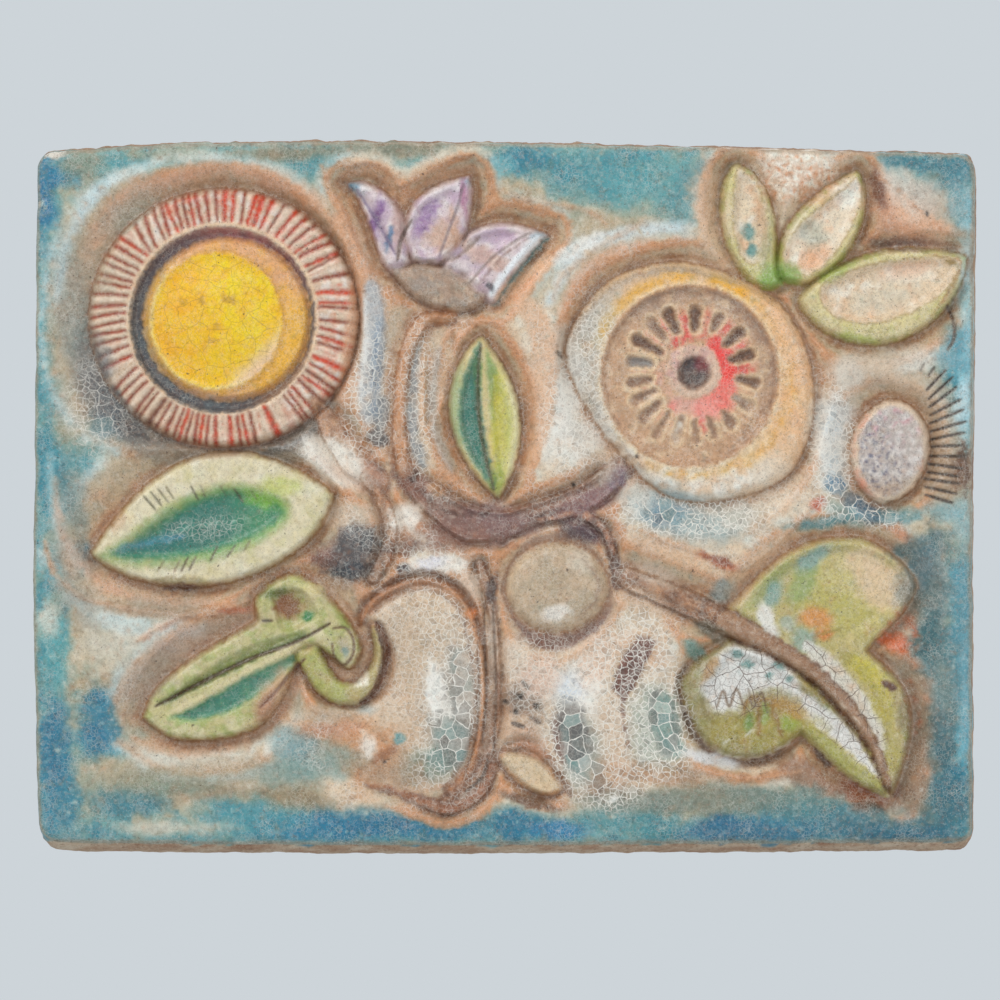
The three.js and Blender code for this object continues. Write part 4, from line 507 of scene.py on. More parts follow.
# small cuts and tool marks: [points, half-width, depth, colour, strength of the colour]
CUTS = [
    # creases of the petals
    ([(-62.8, 129.8), (-56.8, 120.4), (-50.8, 110.2), (-46.6, 102.5)], 0.7, 0.5, "#7c6a86", 0.7),
    ([(-17.7, 132.3), (-20.2, 123), (-24, 112.8), (-27.9, 101.7)], 0.7, 0.6, "#6f5f66", 0.6),
    ([(10.9, 111.9), (1.9, 106.8), (-7, 100), (-15.1, 90.6)], 0.7, 0.6, "#84726c", 0.65),
    ([(-39.8, 117), (-44, 109.4), (-45.7, 100)], 0.9, 0.6, "#5f4c44", 0.7),
    ([(-22.8, 100), (-16.8, 104.2), (-10.9, 110.2)], 0.8, 0.5, "#7a5f50", 0.5),
    # upright leaf: the middle line
    ([(-10.4, 64.7), (-11.7, 49.8), (-11.3, 34.9), (-9.1, 20), (-4.9, 3)], 0.75, 0.7, "#5a5a3e", 0.85),
    # left leaf: comb marks above and below the scoop
    ([(-153, 0.4), (-147.9, -5.5)], 0.45, 0.35, "#4f4a34", 0.8), ([(-150, 2.1), (-145.3, -3.8)], 0.45, 0.35, "#4f4a34", 0.8), ([(-147, 3.4), (-142.3, -2.6)], 0.4, 0.3, "#5f5a40", 0.7),
    ([(-143.6, 4.3), (-140.2, -0.9)], 0.4, 0.3, "#5f5a40", 0.7), ([(-133, 4.7), (-130, -1.3)], 0.45, 0.35, "#4f4a34", 0.8), ([(-129.1, 5.1), (-127, 0)], 0.4, 0.3, "#5f5a40", 0.6),
    ([(-114.7, 3.4), (-111.3, -2.1)], 0.45, 0.35, "#4f4a34", 0.8), ([(-120.6, 4.7), (-118.1, 0)], 0.4, 0.3, "#5f5a40", 0.55), ([(-107.9, 3), (-105.3, -1.3)], 0.4, 0.3, "#5f5a40", 0.5),
    ([(-137.2, -31.5), (-134.2, -25.5)], 0.45, 0.35, "#4f3f2c", 0.8), ([(-133.8, -31.1), (-130.8, -25.1)], 0.45, 0.35, "#4f3f2c", 0.75), ([(-140.2, -31.5), (-137.6, -26.8)], 0.4, 0.3, "#5f4c34", 0.6),
    ([(-124.9, -27.2), (-121.9, -20.8)], 0.45, 0.35, "#4f3f2c", 0.75), ([(-117.7, -25.5), (-114.2, -20.4)], 0.45, 0.35, "#4f3f2c", 0.75), ([(-110.8, -23), (-107.9, -18.3)], 0.4, 0.3, "#5f4c34", 0.6),
    ([(-147, -31.5), (-144.5, -27.2)], 0.4, 0.3, "#5f4c34", 0.5),
    # folded leaf: the fold, the throat and the curl
    ([(-147.9, -88.5), (-130, -79.1), (-108.7, -68.9), (-87.4, -60.8), (-74.2, -53.6)], 0.8, 1.1, "#5b4630", 0.85),
    ([(-73, -55.7), (-67.9, -55.3), (-64.5, -60), (-64.5, -66.4), (-68.3, -71.1), (-72.1, -68.1), (-73.4, -62.1)], 0.6, 0.7, "#6c5138", 0.85),
    ([(-103.6, -88.9), (-96.8, -82.1), (-90.8, -74.5), (-84.9, -68.5)], 0.8, 0.8, "#7a4f3a", 0.7),
    ([(-55.1, -54.9), (-51.7, -63.4), (-52.5, -73.2), (-56, -82.5), (-61.9, -87.2)], 0.9, 0.9, "#5f4634", 0.75),
    ([(-102.8, -52.3), (-98.5, -52.3)], 0.7, 0.4, "#3f332a", 0.8),
    # trunk: fine ridges run down it
    ([(-9.1, -48.9), (-8.7, -65.1), (-8.3, -86.4), (-10, -104.2)], 0.6, 0.6, "#5e4636", 0.7),
    ([(-5.3, -46.4), (-4.5, -65.1), (-4, -86.4), (-4.9, -106.8)], 0.6, 0.6, "#5e4636", 0.7),
    ([(-11.7, -60.8), (-11.3, -82.1), (-12.6, -101.3), (-16.8, -117)], 0.6, 0.5, "#5e4636", 0.6),
    ([(-7, -108.5), (-10, -118.7), (-16.8, -124.7)], 0.7, 0.6, "#553f31", 0.7),
    # holes and dents beside the trunk
    ([(5.7, -84.2), (6.6, -85.1)], 1.3, 1.4, "#31261f", 0.95), ([(12.1, -88.1), (13.4, -88.9)], 1.2, 1.2, "#31261f", 0.9), ([(-0.2, -86.4), (0.6, -87.2)], 1.1, 1.2, "#3a2c24", 0.9), ([(4, -90.6), (4.9, -91.5)], 1.2, 1.2, "#3a2c24", 0.9),
    ([(7, -77.9), (9.6, -81.3)], 0.9, 0.8, "#4b392e", 0.8), ([(2.8, -95.7), (7.9, -97.4)], 1.0, 0.8, "#4b392e", 0.8), ([(10.4, -93.2), (14.7, -95.7)], 0.9, 0.7, "#5b4636", 0.7),
    ([(28.3, 5.5), (29.1, 5.1)], 0.9, 0.8, "#2c2521", 0.9), ([(178.1, 120.8), (178.5, 118.7)], 0.6, 0.5, "#3f352e", 0.8), ([(-51.3, -111.9), (-50.8, -112.3)], 0.8, 0.6, "#3a2f28", 0.85), ([(55.1, 17.4), (56, 16.6)], 0.8, 0.8, "#3a2c24", 0.8),
    # comb strokes beside the round bud on the right
    ([(178.1, 45.1), (186.2, 53.6)], 0.6, 0.9, "#3f332b", 0.95), ([(178.9, 41.3), (189.1, 50.6)], 0.6, 0.9, "#3f332b", 0.95), ([(179.3, 37.9), (190.8, 46.4)], 0.6, 0.9, "#3f332b", 0.95), ([(179.8, 34.5), (192.5, 41.3)], 0.6, 0.9, "#3f332b", 0.95),
    ([(179.8, 31.1), (193.8, 37)], 0.6, 0.9, "#3f332b", 0.95), ([(180.2, 27.7), (194.7, 31.9)], 0.6, 0.9, "#3f332b", 0.95), ([(180.2, 24.3), (194.2, 27.2)], 0.6, 0.9, "#3f332b", 0.95), ([(180.6, 21.3), (193.4, 21.7)], 0.6, 0.9, "#3f332b", 0.95),
    ([(179.8, 17.4), (193.8, 17)], 0.6, 0.9, "#3f332b", 0.95), ([(179.3, 14), (193.4, 11.9)], 0.6, 0.9, "#3f332b", 0.95), ([(178.9, 10.6), (191.7, 8.5)], 0.6, 0.9, "#3f332b", 0.95), ([(177.6, 7.7), (192.1, 5.5)], 0.6, 0.9, "#3f332b", 0.95),
    ([(177.6, 4.3), (190.8, 1.3)], 0.6, 0.9, "#3f332b", 0.95), ([(177.6, 0.9), (189.1, -2.6)], 0.6, 0.9, "#3f332b", 0.95), ([(178.9, 51.1), (181.5, 54.9)], 0.6, 0.8, "#4d4136", 0.75), ([(175.5, 53.2), (177.2, 56.6)], 0.5, 0.6, "#5d5146", 0.6),
    # lower lobe of the large leaf: strokes and scratches
    ([(89.6, -88.9), (92.1, -82.1), (94.7, -88.9), (97.7, -81.3), (100.6, -88.1)], 0.5, 0.4, "#6b4f36", 0.75), ([(102.8, -81.3), (104.9, -88.9), (108.3, -83), (110.8, -91.5)], 0.5, 0.4, "#6b4f36", 0.7),
    ([(92.1, -104.2), (94.7, -102.5)], 0.5, 0.2, "#e2ddd0", 0.8), ([(101.1, -101.3), (104.9, -98.3)], 0.5, 0.2, "#e2ddd0", 0.8), ([(96, -98.3), (98.9, -95.7)], 0.4, 0.2, "#d8d0b8", 0.6),
    # large flower: cracks at the rim
    ([(21.9, 61.7), (23.6, 59.1)], 0.8, 0.6, "#4a382c", 0.7), ([(187, 81.3), (189.6, 74.5), (189.6, 66.8), (187, 62.1)], 0.8, 0.8, "#4f3d30", 0.8),
]
MARK = []  # (mask, colour, strength) of each cut, for the glaze
for points, half, depth, colour, strong in CUTS:
    cut = stroke(points, half)
    H -= depth * cut
    MARK.append((cut, colour, strong))

# the flaked corner, top left
CHIP = blob((-190.8, 145.5), 4.6, 2.2, 4, 0.2, 0.4, 3, 91)
H -= 0.9 * CHIP
# fine unevenness of the fired surface
H += 0.05 * cloud(X, Z, 2.2, 2, 61)

# crumbs of clay and holes beside the trunk
CRUMBS = blob((8.3, -86.4), 11, 14, 0, 0.4, 0.3, 5, 93)
H += CRUMBS * (0.8 * cloud(X, Z, 2.6, 3, 94) - 0.3)
ROUGH = np.maximum(CRUMBS, blob((12.6, -105.5), 12, 9, -30, 0.4, 0.3, 5, 95) * 0.7)
H += (ROUGH - CRUMBS).clip(0) * 0.5 * cloud(X, Z, 3.0, 3, 96)

# ================================ glaze =======================================================

tone = np.empty(SHAPE + (3,))  # colour of the glaze as it is seen


def rgb(text):
    return np.array([int(text[i : i + 2], 16) / 255 for i in (1, 3, 5)])


def paint(colour, mask, amount=1.0):
    m = np.clip(mask * amount, 0, 1)
    rows, cols = np.nonzero(m.max(1) > 0.003)[0], np.nonzero(m.max(0) > 0.003)[0]
    if len(rows):
        w = (slice(rows[0], rows[-1] + 1), slice(cols[0], cols[-1] + 1))
        tone[w] += (rgb(colour) - tone[w]) * m[w][..., None]


def patch(colour, centre, rx, rz, turn=0.0, amount=1.0, soft=0.35, rag=0.35, size=5.0, seed=1, within=None):
    m = blob(centre, rx, rz, turn, soft, rag, size, seed)
    paint(colour, m if within is None else m * within, amount)


def line(colour, points, half, amount=1.0, soft=0.35, rough=0.0, within=None):
    m = stroke(points, half, soft)
    if rough:
        m = m * ramp(cloud(X, Z, 3, 3, int(half * 97) + len(points)), -rough, rough)
    paint(colour, m if within is None else m * within, amount)


# noise used everywhere: broad, middling, small and fine
N1, N2, N3, N4 = cloud(X, Z, 48, 3, 21), cloud(X, Z, 17, 4, 22), cloud(X, Z, 6, 4, 23), cloud(X, Z, 2.0, 3, 24)
N5, N6 = cloud(X, Z, 9, 4, 25), cloud(X, Z, 3.2, 3, 26)

# ---- the field: worn beige and brown towards the design, sea green and blue towards the edges ----
EDGE = np.minimum(200 - np.abs(X), 151 - np.abs(Z))
tone[:] = rgb("#b9a98f")
paint("#9c8468", ramp(N2 + 0.5 * N3, -0.05, 0.45), 0.75)
paint("#d8cdb9", ramp(N5 + 0.5 * N3, -0.05, 0.4), 0.6)
paint("#8c9c90", ramp(cloud(X, Z, 12, 4, 28), 0.0, 0.35), 0.6)
SEA = ramp(-(EDGE - 14 - 16 * N2 - 9 * N5), -7, 7)
paint("#6f9c9e", SEA, 0.9)
paint("#3f7f8c", SEA * ramp(cloud(X, Z, 14, 4, 29), -0.1, 0.3), 0.85)
paint("#7f9a8c", SEA * ramp(cloud(X, Z, 9, 4, 30), 0.05, 0.4), 0.7)
for colour, centre, rx, rz, turn in (
    ("#1f6a8e", (-196.4, 130.6), 6, 20, 0), ("#2c7690", (-188.7, 138.3), 10, 7, 0), ("#5c989e", (-168.3, 143.4), 22, 5, 0), ("#4a8a94", (-147, 145.1), 16, 4, 0), ("#2f7688", (9.6, 142.1), 14, 6, 0), ("#6fa3a8", (-2.3, 139.1), 7, 5, 0), ("#4a8a94", (40.2, 134.9), 22, 11, 0),
    ("#5f989c", (63.6, 132.8), 22, 13, 0), ("#5d8d92", (78.5, 120), 12, 14, 0), ("#4f7d86", (84.9, 132.8), 8, 10, 0), ("#3d737e", (163.6, 142.1), 14, 4, 0), ("#3d7480", (187, 138.3), 10, 8, 0), ("#8fbcc4", (196.8, 83.8), 5, 30, 0), ("#7fb4be", (195.9, 49.8), 6, 14, 0), ("#5a9ba6", (189.1, 58.3), 8, 6, 0),
    ("#5fa0b0", (194.2, -35.3), 6, 20, 0), ("#5a9cac", (191.3, -69.4), 6, 18, 0), ("#6fb0be", (195.9, -94.9), 5, 22, 0), ("#2d7080", (189.1, -124.7), 9, 16, 0), ("#2c6c80", (163.6, -140.8), 26, 6, 0), ("#3a7f92", (116.8, -138.3), 26, 7, 0), ("#4a8890", (133.8, -131.1), 12, 4, 0),
    ("#22627e", (92.1, -140), 18, 6, 0), ("#4a858c", (61.5, -137.4), 14, 8, 0), ("#226c86", (1.9, -138.3), 16, 7, 0), ("#2f789c", (23.2, -140.8), 12, 4, 0), ("#1c6684", (-56.8, -136.6), 26, 9, 0), ("#2f7892", (-83.2, -140), 18, 6, 0), ("#2a7088", (-27.9, -140.8), 16, 5, 0),
    ("#4a8c98", (-108.7, -134), 22, 8, 0), ("#3f8796", (-168.3, -103.4), 16, 7, 0), ("#3a7c90", (-188.7, -128.9), 9, 18, 0), ("#2f7088", (-191.3, -103.4), 7, 18, 0), ("#245a78", (-181.1, -26), 7, 9, 20), ("#3f7f8c", (-193.8, 11.5), 6, 22, 0), ("#4f8e98", (-181.1, 17.9), 10, 8, -20),
    ("#5c9a9e", (-190.4, -65.1), 6, 14, 0), ("#30748c", (-172.5, -88.5), 9, 6, 30), ("#357a8c", (-185.3, -1.3), 4, 12, 10), ("#4f8f98", (-194.7, 71.1), 4, 20, 0), ("#5a9098", (-189.6, 45.5), 8, 9, 0), ("#4f8a90", (-117.2, 140), 22, 3.4, 0), ("#5f9296", (-87.4, 136.6), 12, 5, 30),
    ("#3f7a88", (-159.8, -128.9), 18, 6, 0), ("#5c9a9c", (-138.5, -121.3), 14, 4, 0), ("#4f8890", (40.2, -134), 12, 7, 0), ("#468490", (180.6, -145.9), 12, 3, 0),
):
    patch(colour, centre, rx, rz, turn, 0.85, soft=0.5, rag=0.6, size=9, seed=int(rx * 7 + centre[0]) % 997)
for k, (colour, centre, rx, rz, turn) in enumerate((
    ("#8c8a76", (-178.9, 141.3), 10, 6, 0), ("#a39880", (-138.5, 144.7), 22, 3.4, 0), ("#8f7e66", (-96, 145.1), 18, 3.2, 0), ("#8a7a62", (-44.9, 146.8), 34, 3.4, 0), ("#b3a48a", (108.3, 145.1), 24, 4, 0), ("#9a9684", (146.6, 143.4), 12, 4, 0), ("#b5a48c", (190, 11.5), 9, 18, 0),
    ("#a8a08a", (191.3, -18.3), 8, 10, 0), ("#a2937a", (-130, -115.3), 30, 6, 4), ("#83755e", (78.5, -128.9), 40, 5, 0), ("#8c7c62", (-87.4, -125.5), 26, 6, -4), ("#c9c2b2", (-167.4, -60.8), 12, 14, 20), ("#cfc9bb", (-151.3, -60.8), 16, 6, 0), ("#c2b59c", (-113, -103.4), 26, 6, 0),
    ("#b8a890", (-104.5, -116.2), 26, 8, 0), ("#cdc4b4", (-142.8, -140), 22, 2.8, 0), ("#d9d2c4", (-193, -52.3), 4, 8, 0), ("#d8cdb8", (125.3, 143.4), 16, 4, 0), ("#b9a890", (182.8, -43.8), 5, 20, 0), ("#b59a80", (184.9, -86.4), 6, 18, 0), ("#a58a6e", (170, -137.4), 14, 3, 0),
    ("#9a8a70", (-185.3, 71.1), 8, 30, 0), ("#a8977c", (-181.9, 32.8), 8, 12, 0), ("#bfae95", (-117.2, 17.9), 30, 4, 0), ("#c8b8a0", (6.2, 83.8), 16, 26, 0), ("#b5a58c", (44.5, 109.4), 20, 8, -20),
)):
    patch(colour, centre, rx, rz, turn, 0.75, soft=0.5, rag=0.6, size=8, seed=201 + k)
paint("#7d6a52", ramp(N3 + 0.7 * N4 - 0.3, 0.0, 0.35), 0.45)
paint("#d5cfc0", ramp(cloud(X, Z, 7, 4, 27) + 0.5 * N4 - 0.3, 0.0, 0.35), 0.6)

# ---- hollows round the design: pale streak outside (painted sheen), orange-brown slope, dark line at the foot (pooled glaze with painted shade) ----
T = TROUGH + 0.16 * N3 + 0.10 * N2
OUTSIDE = 1 - ramp(-FOOT, -0.6, 0.2)  # 1 away from the design
for d in list(IN.values()) + [SUN]:
    OUTSIDE = OUTSIDE * (1 - ramp(d, -0.3, 0.3))
WARM = region(spline([(-65.3, 113.6), (-44.9, 88.1), (-10.9, 83.8), (23.2, 83.8), (48.7, 105.1), (82.8, 109.4), (91.3, 83.8), (138.1, 62.5), (146.6, 41.3), (142.3, -18.3), (99.8, -31.9), (82.8, -26.8), (61.5, -26.8), (78.5, -60.8), (70.8, -111.9), (40.2, -132.3), (-2.3, -130.2), (-27.9, -132.3), (-74.7, -128.1), (-84.9, -103.4), (-70.4, -65.1), (-78.9, -43.8), (-68.3, -26.8), (-74.7, -1.3), (-87.4, 20), (-68.3, 49.8), (-61.9, 83.8)]), 30)
WARM = ramp(np.maximum(WARM, -30) + 5 * N2, -5, 5)
paint("#d2bda4", WARM)
paint("#c2a68c", WARM * ramp(N2 + 0.5 * N3, 0.0, 0.5), 0.7)
paint("#e2d8c8", WARM * ramp(N5 + 0.4 * N3 - 0.1, 0.0, 0.4), 0.7)
# painted sheen: a pale grey and bluish streak on the outer shoulder of each hollow, where it catches the light
sheen_band = np.exp(-(((T - 1.05) / 0.22) ** 2)) * OUTSIDE
paint("#aebfc0", sheen_band * (1 - WARM) * ramp(N2 + 0.3 * N3, -0.5, 0.25), 0.8)
paint("#ccd2cb", sheen_band * ramp(N5 + 0.5 * N3, -0.05, 0.4), 0.75)
slope = np.exp(-(((T - 0.55) / 0.26) ** 2)) * OUTSIDE
paint("#c2ab90", slope, 0.75)
paint("#aba695", slope * ramp(-N2 + 0.4 * N3, 0.0, 0.4), 0.6)
paint("#c99c7c", slope * ramp(N2 + 0.4 * N3, 0.05, 0.45), 0.6)
paint("#b5997c", np.exp(-(((T - 0.22) / 0.14) ** 2)) * OUTSIDE, 0.5)
paint("#c59472", np.exp(-(((FOOT - 3.2 - N3) / 1.6) ** 2)) * OUTSIDE * ramp(N2 + 0.4 * N3, -0.3, 0.2), 0.5)
# dark line at the foot of the design: pooled glaze, with painted shade where the hollow meets it
paint("#8a6346", np.exp(-((np.maximum(FOOT - 0.1, 0) / 0.8) ** 2)) * OUTSIDE * ramp(N3, -0.9, 0.1), 0.7)
# the pale grey, white and bluish strokes are painted sheen on the outer shoulders of the hollows; the salmon and orange
# ones are glaze colour
for k, (colour, points, half, amount) in enumerate((
    ("#c3d2d4", [(-189.6, 83.8), (-187, 100.8), (-181.1, 117), (-170.8, 130.6), (-163.2, 136.6)], 2.6, 0.9), ("#d9dcd6", [(-167.4, 133.2), (-151.3, 140.8), (-133.4, 144.2), (-117.2, 143.4)], 2.0, 0.6), ("#c9ccc4", [(-113, 141.7), (-96, 138.3), (-84.9, 130.6), (-78.1, 120.4)], 2.4, 0.8),
    ("#cfa286", [(-180.2, 83.8), (-175.9, 105.1), (-164.9, 123), (-147, 133.2), (-130, 136.6)], 3.4, 0.7), ("#c9997c", [(-108.7, 134.9), (-91.7, 128.1), (-78.1, 111.1), (-69.6, 95.7)], 3.0, 0.6),
    ("#a9c2c4", [(-193, 17.9), (-191.3, -1.3), (-187, -18.3), (-177.6, -32.8)], 2.2, 0.7), ("#c6cfcb", [(-183.6, -42.1), (-170.8, -51.5), (-151.3, -55.7), (-127.4, -56.6)], 3.4, 0.75), ("#cf9f84", [(-190.4, 7.2), (-188.7, -9.8), (-182.8, -25.1), (-169.1, -37.9), (-147, -43.8), (-124, -44.7)], 1.8, 0.6),
    ("#d2d3cb", [(-164.9, -104.2), (-147, -111.1), (-121.5, -111.1), (-100.2, -105.1), (-87.4, -94)], 3.6, 0.75), ("#cda184", [(-158.1, -102.5), (-140.2, -107.7), (-118.1, -105.9), (-101.1, -98.3)], 2.0, 0.6), ("#d0cbc0", [(-164, -86.4), (-156.4, -71.1), (-142.8, -59.1), (-127.4, -52.3)], 2.4, 0.7),
    ("#cdd5d6", [(18.1, 82.1), (26.6, 97.4), (39.4, 107.7), (57.2, 112.8), (78.5, 114.5)], 3.0, 0.85), ("#cf9d80", [(23.2, 77), (30.8, 92.3), (42.8, 102.5), (61.5, 107.7)], 2.4, 0.65), ("#cdbfae", [(82.8, 114.5), (99.8, 110.2), (116.8, 100)], 2.4, 0.5),
    ("#c9b8a4", [(-65.3, 113.6), (-60.2, 100), (-56.8, 83.8), (-58.5, 66.8)], 2.2, 0.6), ("#b4c4c8", [(170.4, -18.3), (177.2, -33.2), (178.1, -52.3)], 2.0, 0.8), ("#d5cfc2", [(78.5, -115.3), (98.1, -121.3), (119.4, -119.6), (133.8, -123)], 2.4, 0.7), ("#c7ccc9", [(180.6, 105.1), (192.5, 79.6), (186.6, 61.7)], 2.0, 0.6),
)):
    m = stroke(points, half, 1.9) * ramp(cloud(X, Z, 7, 3, 130 + k), -0.6, -0.1)
    paint(colour, m * OUTSIDE, amount)

# glaze breaks to rust on crests and gathers brown in the angles; the brown in the angles is also painted shade
paint("#c08a64", OUTSIDE * ramp(CREST + 0.12 * N3, 0.10, 0.42), 0.8)
paint("#8a6248", OUTSIDE * ramp(-CREST + 0.15 * N3, 0.25, 0.8) * ramp(N5, -0.6, 0.2), 0.6)

# ---- sunflower ----
sun = ramp(SUN, -0.5, 0.3)
away = np.clip(-SUN, 0, 60)
SX, SZ = X + 119.6, Z - 75.4
LOWER = ramp(-SZ - 0.35 * SX, 5, 38)  # towards the lower left
# its hollow: grey and dark where the glaze has pooled below
near_sun = OUTSIDE * ramp(26 - away, 0, 6)
paint("#8b867b", near_sun * LOWER * ramp(15 - away + 3 * N2, 0, 5), 0.8)
paint("#6a6a6a", near_sun * LOWER * ramp(8 - away + 3 * N2, 0, 4), 0.85)
paint("#55585a", near_sun * LOWER * ramp(N3 + 0.2, 0, 0.4) * ramp(6 - away, 0, 4), 0.8)
paint("#cfa488", near_sun * (1 - LOWER) * np.exp(-(((away - 7.5) / 3.4) ** 2)) * ramp(N3, -0.7, 0.1), 0.75)
paint("#a08e78", near_sun * np.exp(-(((away - 2.5) / 1.8) ** 2)), 0.5)
# dark line round the foot of the sunflower: pooled glaze with painted shade
paint("#6a4a38", sun * 0 + OUTSIDE * np.exp(-((away / 1.0) ** 2)), 0.9)
paint("#c6ad97", sun)
paint("#d9cab4", sun * ramp(N3 + 0.5 * N4, -0.1, 0.4), 0.75)
paint("#c58e7c", sun * ramp(N5 + 0.4 * N6, 0.05, 0.45), 0.5)


def sector(middle, half, soft=10):
    """1 within `half` degrees of a direction round the sunflower"""
    off = np.abs((SUN_A - middle + 180) % 360 - 180)
    return ramp(half - off, -soft, soft)


RIBBED = ramp(SUN_R, 40.2, 41.4) * ramp(SUN, -0.2, 0.8)
paint("#c4604c", RIBBED * (sector(85, 50) + sector(350, 38)) * ramp(N6 + 0.4 * N4, -0.1, 0.35), 0.5)
paint("#d8d3cf", RIBBED * (sector(95, 40) + sector(345, 40)) * ramp(cloud(X, Z, 4, 2, 77), 0.0, 0.35), 0.75)
paint("#bb6f58", RIBBED * sector(270, 30) * ramp(N6, -0.1, 0.4), 0.4)
paint("#b59a80", RIBBED * sector(200, 50) * ramp(N6, -0.4, 0.3), 0.5)
notch = np.exp(-((NOTCH / 0.85) ** 2)) * open_at * ring
paint("#6a4030", notch, 0.95)
paint("#c8371f", notch * NOTCH_RED * ramp(N6, -0.7, 0.2), 0.95)
paint("#eaddcc", np.exp(-(((NOTCH - 2.6) / 0.7) ** 2)) * open_at * ring * ramp(N6, -0.5, 0.3), 0.75)
paint("#cf5a3a", np.exp(-((NOTCH / 1.5) ** 2)) * open_at * ring * np.clip(NOTCH_RED - 0.55, 0, 1) * 2 * ramp(N6, -0.5, 0.4), 0.6)
# painted highlight: pale line along the inner edge of the ring
paint("#e2c4a4", sun * np.exp(-(((SUN_R - 40.0) / 0.7) ** 2)), 0.8)
paint("#7d5a48", sun * np.exp(-(((SUN - 0.3) / 0.55) ** 2)), 0.65)
dark = ramp(GROOVE, -0.3, 0.7)
paint("#5b585a", dark)
paint("#c07a7c", dark * sector(78, 28, 18) * ramp(N3, -0.8, 0.1), 0.9)
paint("#a87a74", dark * sector(112, 18, 14), 0.8)
paint("#7f5a5e", dark * sector(40, 22, 14), 0.8)
paint("#6c6064", dark * sector(130, 26, 12), 0.7)
paint("#59656a", dark * sector(228, 44, 12) * ramp(N3, -0.3, 0.3), 0.7)
paint("#9a7c68", dark * sector(318, 26, 12), 0.8)
paint("#7f7a7c", dark * sector(2, 22, 12), 0.6)
flat = ramp(DISC, -0.5, 0.6)
paint("#d9a650", flat)
paint("#e0b04a", flat * (sector(190, 60, 20) + sector(345, 40, 16)), 0.7)
paint("#d5a484", flat * sector(75, 60, 18) * ramp(N3, -0.6, 0.2), 0.8)
paint("#c99c80", flat * np.exp(-(((DISC - 0.8) / 1.0) ** 2)), 0.7)
paint("#c9bc9c", flat * sector(180, 46) * ramp(N3, -0.3, 0.3), 0.6)
paint("#cfa898", flat * sector(262, 30) * ramp(N3, -0.5, 0.2), 0.6)
gold = ramp(HEART, -0.4, 0.8)
paint("#f0bb10", gold)
paint("#dda40e", gold * ramp(-SX + 0.3 * SZ, -6, 20) * ramp(N5, -0.5, 0.4), 0.6)
paint("#fad02e", gold * ramp(N5 + 0.3, 0, 0.5) * ramp(SX + 0.5 * SZ, -12, 12), 0.6)
paint("#a98b4a", gold * ramp(cloud(X, Z, 9, 4, 78) - 0.12, 0, 0.3) * ramp(30 - np.hypot(SX, SZ), 0, 14), 0.65)
paint("#dcc3a2", gold * ramp(SX - 0.9 * SZ + 3 * N5, 21, 31), 0.85)
paint("#d8b6a8", gold * ramp(SX - 1.0 * SZ + 3 * N5, 30, 38), 0.7)
paint("#e4d3a0", np.exp(-(((HEART - 0.2) / 0.75) ** 2)) * sector(215, 75, 12), 0.85)
paint("#b98a3c", np.exp(-(((HEART + 0.7) / 0.7) ** 2)), 0.6)

# ---- tulip ----
for name in ("tulip_left", "tulip_mid", "tulip_right"):
    d = ramp(IN[name], -0.2, 0.5)
    paint("#c9b8b6", d)
    paint("#a692a8", d * ramp(N5 + 0.4 * N6, -0.1, 0.35), 0.75)
    paint("#e6ddda", d * ramp(cloud(X, Z, 6, 3, 34), 0.0, 0.35), 0.8)
    paint("#86645a", np.exp(-(((IN[name] - 0.1) / 0.6) ** 2)) * ramp(IN[name], -1, 0), 0.7)
    # pale line just inside each petal's edge: painted highlight on the rounded rim
    paint("#dccbbb", np.exp(-(((IN[name] - 1.5) / 0.8) ** 2)), 0.6)
t = ramp(IN["tulip_left"], 0, 1)
patch("#8b6f96", (-54.7, 117), 4.2, 11, -20, 0.85, within=t)
patch("#6f8fa6", (-64, 130.6), 5, 3, -20, 0.75, within=t)
t = ramp(IN["tulip_mid"], 0, 1)
patch("#7f5f90", (-34.7, 117), 4, 10, -28, 0.7, within=t)
patch("#9c7fa8", (-22.8, 128.1), 7, 3.5, 30, 0.7, within=t)
patch("#6d9ab2", (-16.8, 134.5), 3.4, 2.4, 20, 0.8, within=t)
# painted highlight: white streak beside the middle petal's crease
patch("#efe9e6", (-29.6, 124.2), 5, 9, -30, 0.7, within=t)
patch("#b9a08c", (-25.3, 107.7), 5, 5, 0, 0.8, within=t)
t = ramp(IN["tulip_right"], 0, 1)
patch("#9a86aa", (-8.3, 104.2), 5, 9, -40, 0.6, within=t)
# painted highlight: white streak beside the right petal's crease
patch("#efe8e4", (-2.3, 109.4), 9, 3.4, 18, 0.75, within=t)
patch("#6fa3b4", (15.1, 111.1), 5, 2.0, 20, 0.85, within=t)
patch("#c0a48e", (-11.7, 89.8), 5, 5, 0, 0.7, within=t)
line("#4f8791", [(17.7, 109.8), (10.4, 101.3), (1.9, 90.6), (-4.9, 81.3)], 0.8, 0.8, within=ramp(IN["tulip_right"], -2.4, -0.4))
t = ramp(IN["calyx"], -0.2, 0.8)
paint("#a98f7e", t)
paint("#82705f", t * ramp(N3 + 0.3 * N4, 0, 0.4), 0.7)
# painted highlight: pale line just inside the calyx's edge
paint("#c9b9a8", t * np.exp(-(((IN["calyx"] - 1.4) / 0.9) ** 2)), 0.7)
paint("#6d5344", np.exp(-(((IN["calyx"]) / 0.7) ** 2)), 0.8)
patch("#8d8f94", (-34.3, 90.2), 6, 3.2, 10, 0.6, within=t)

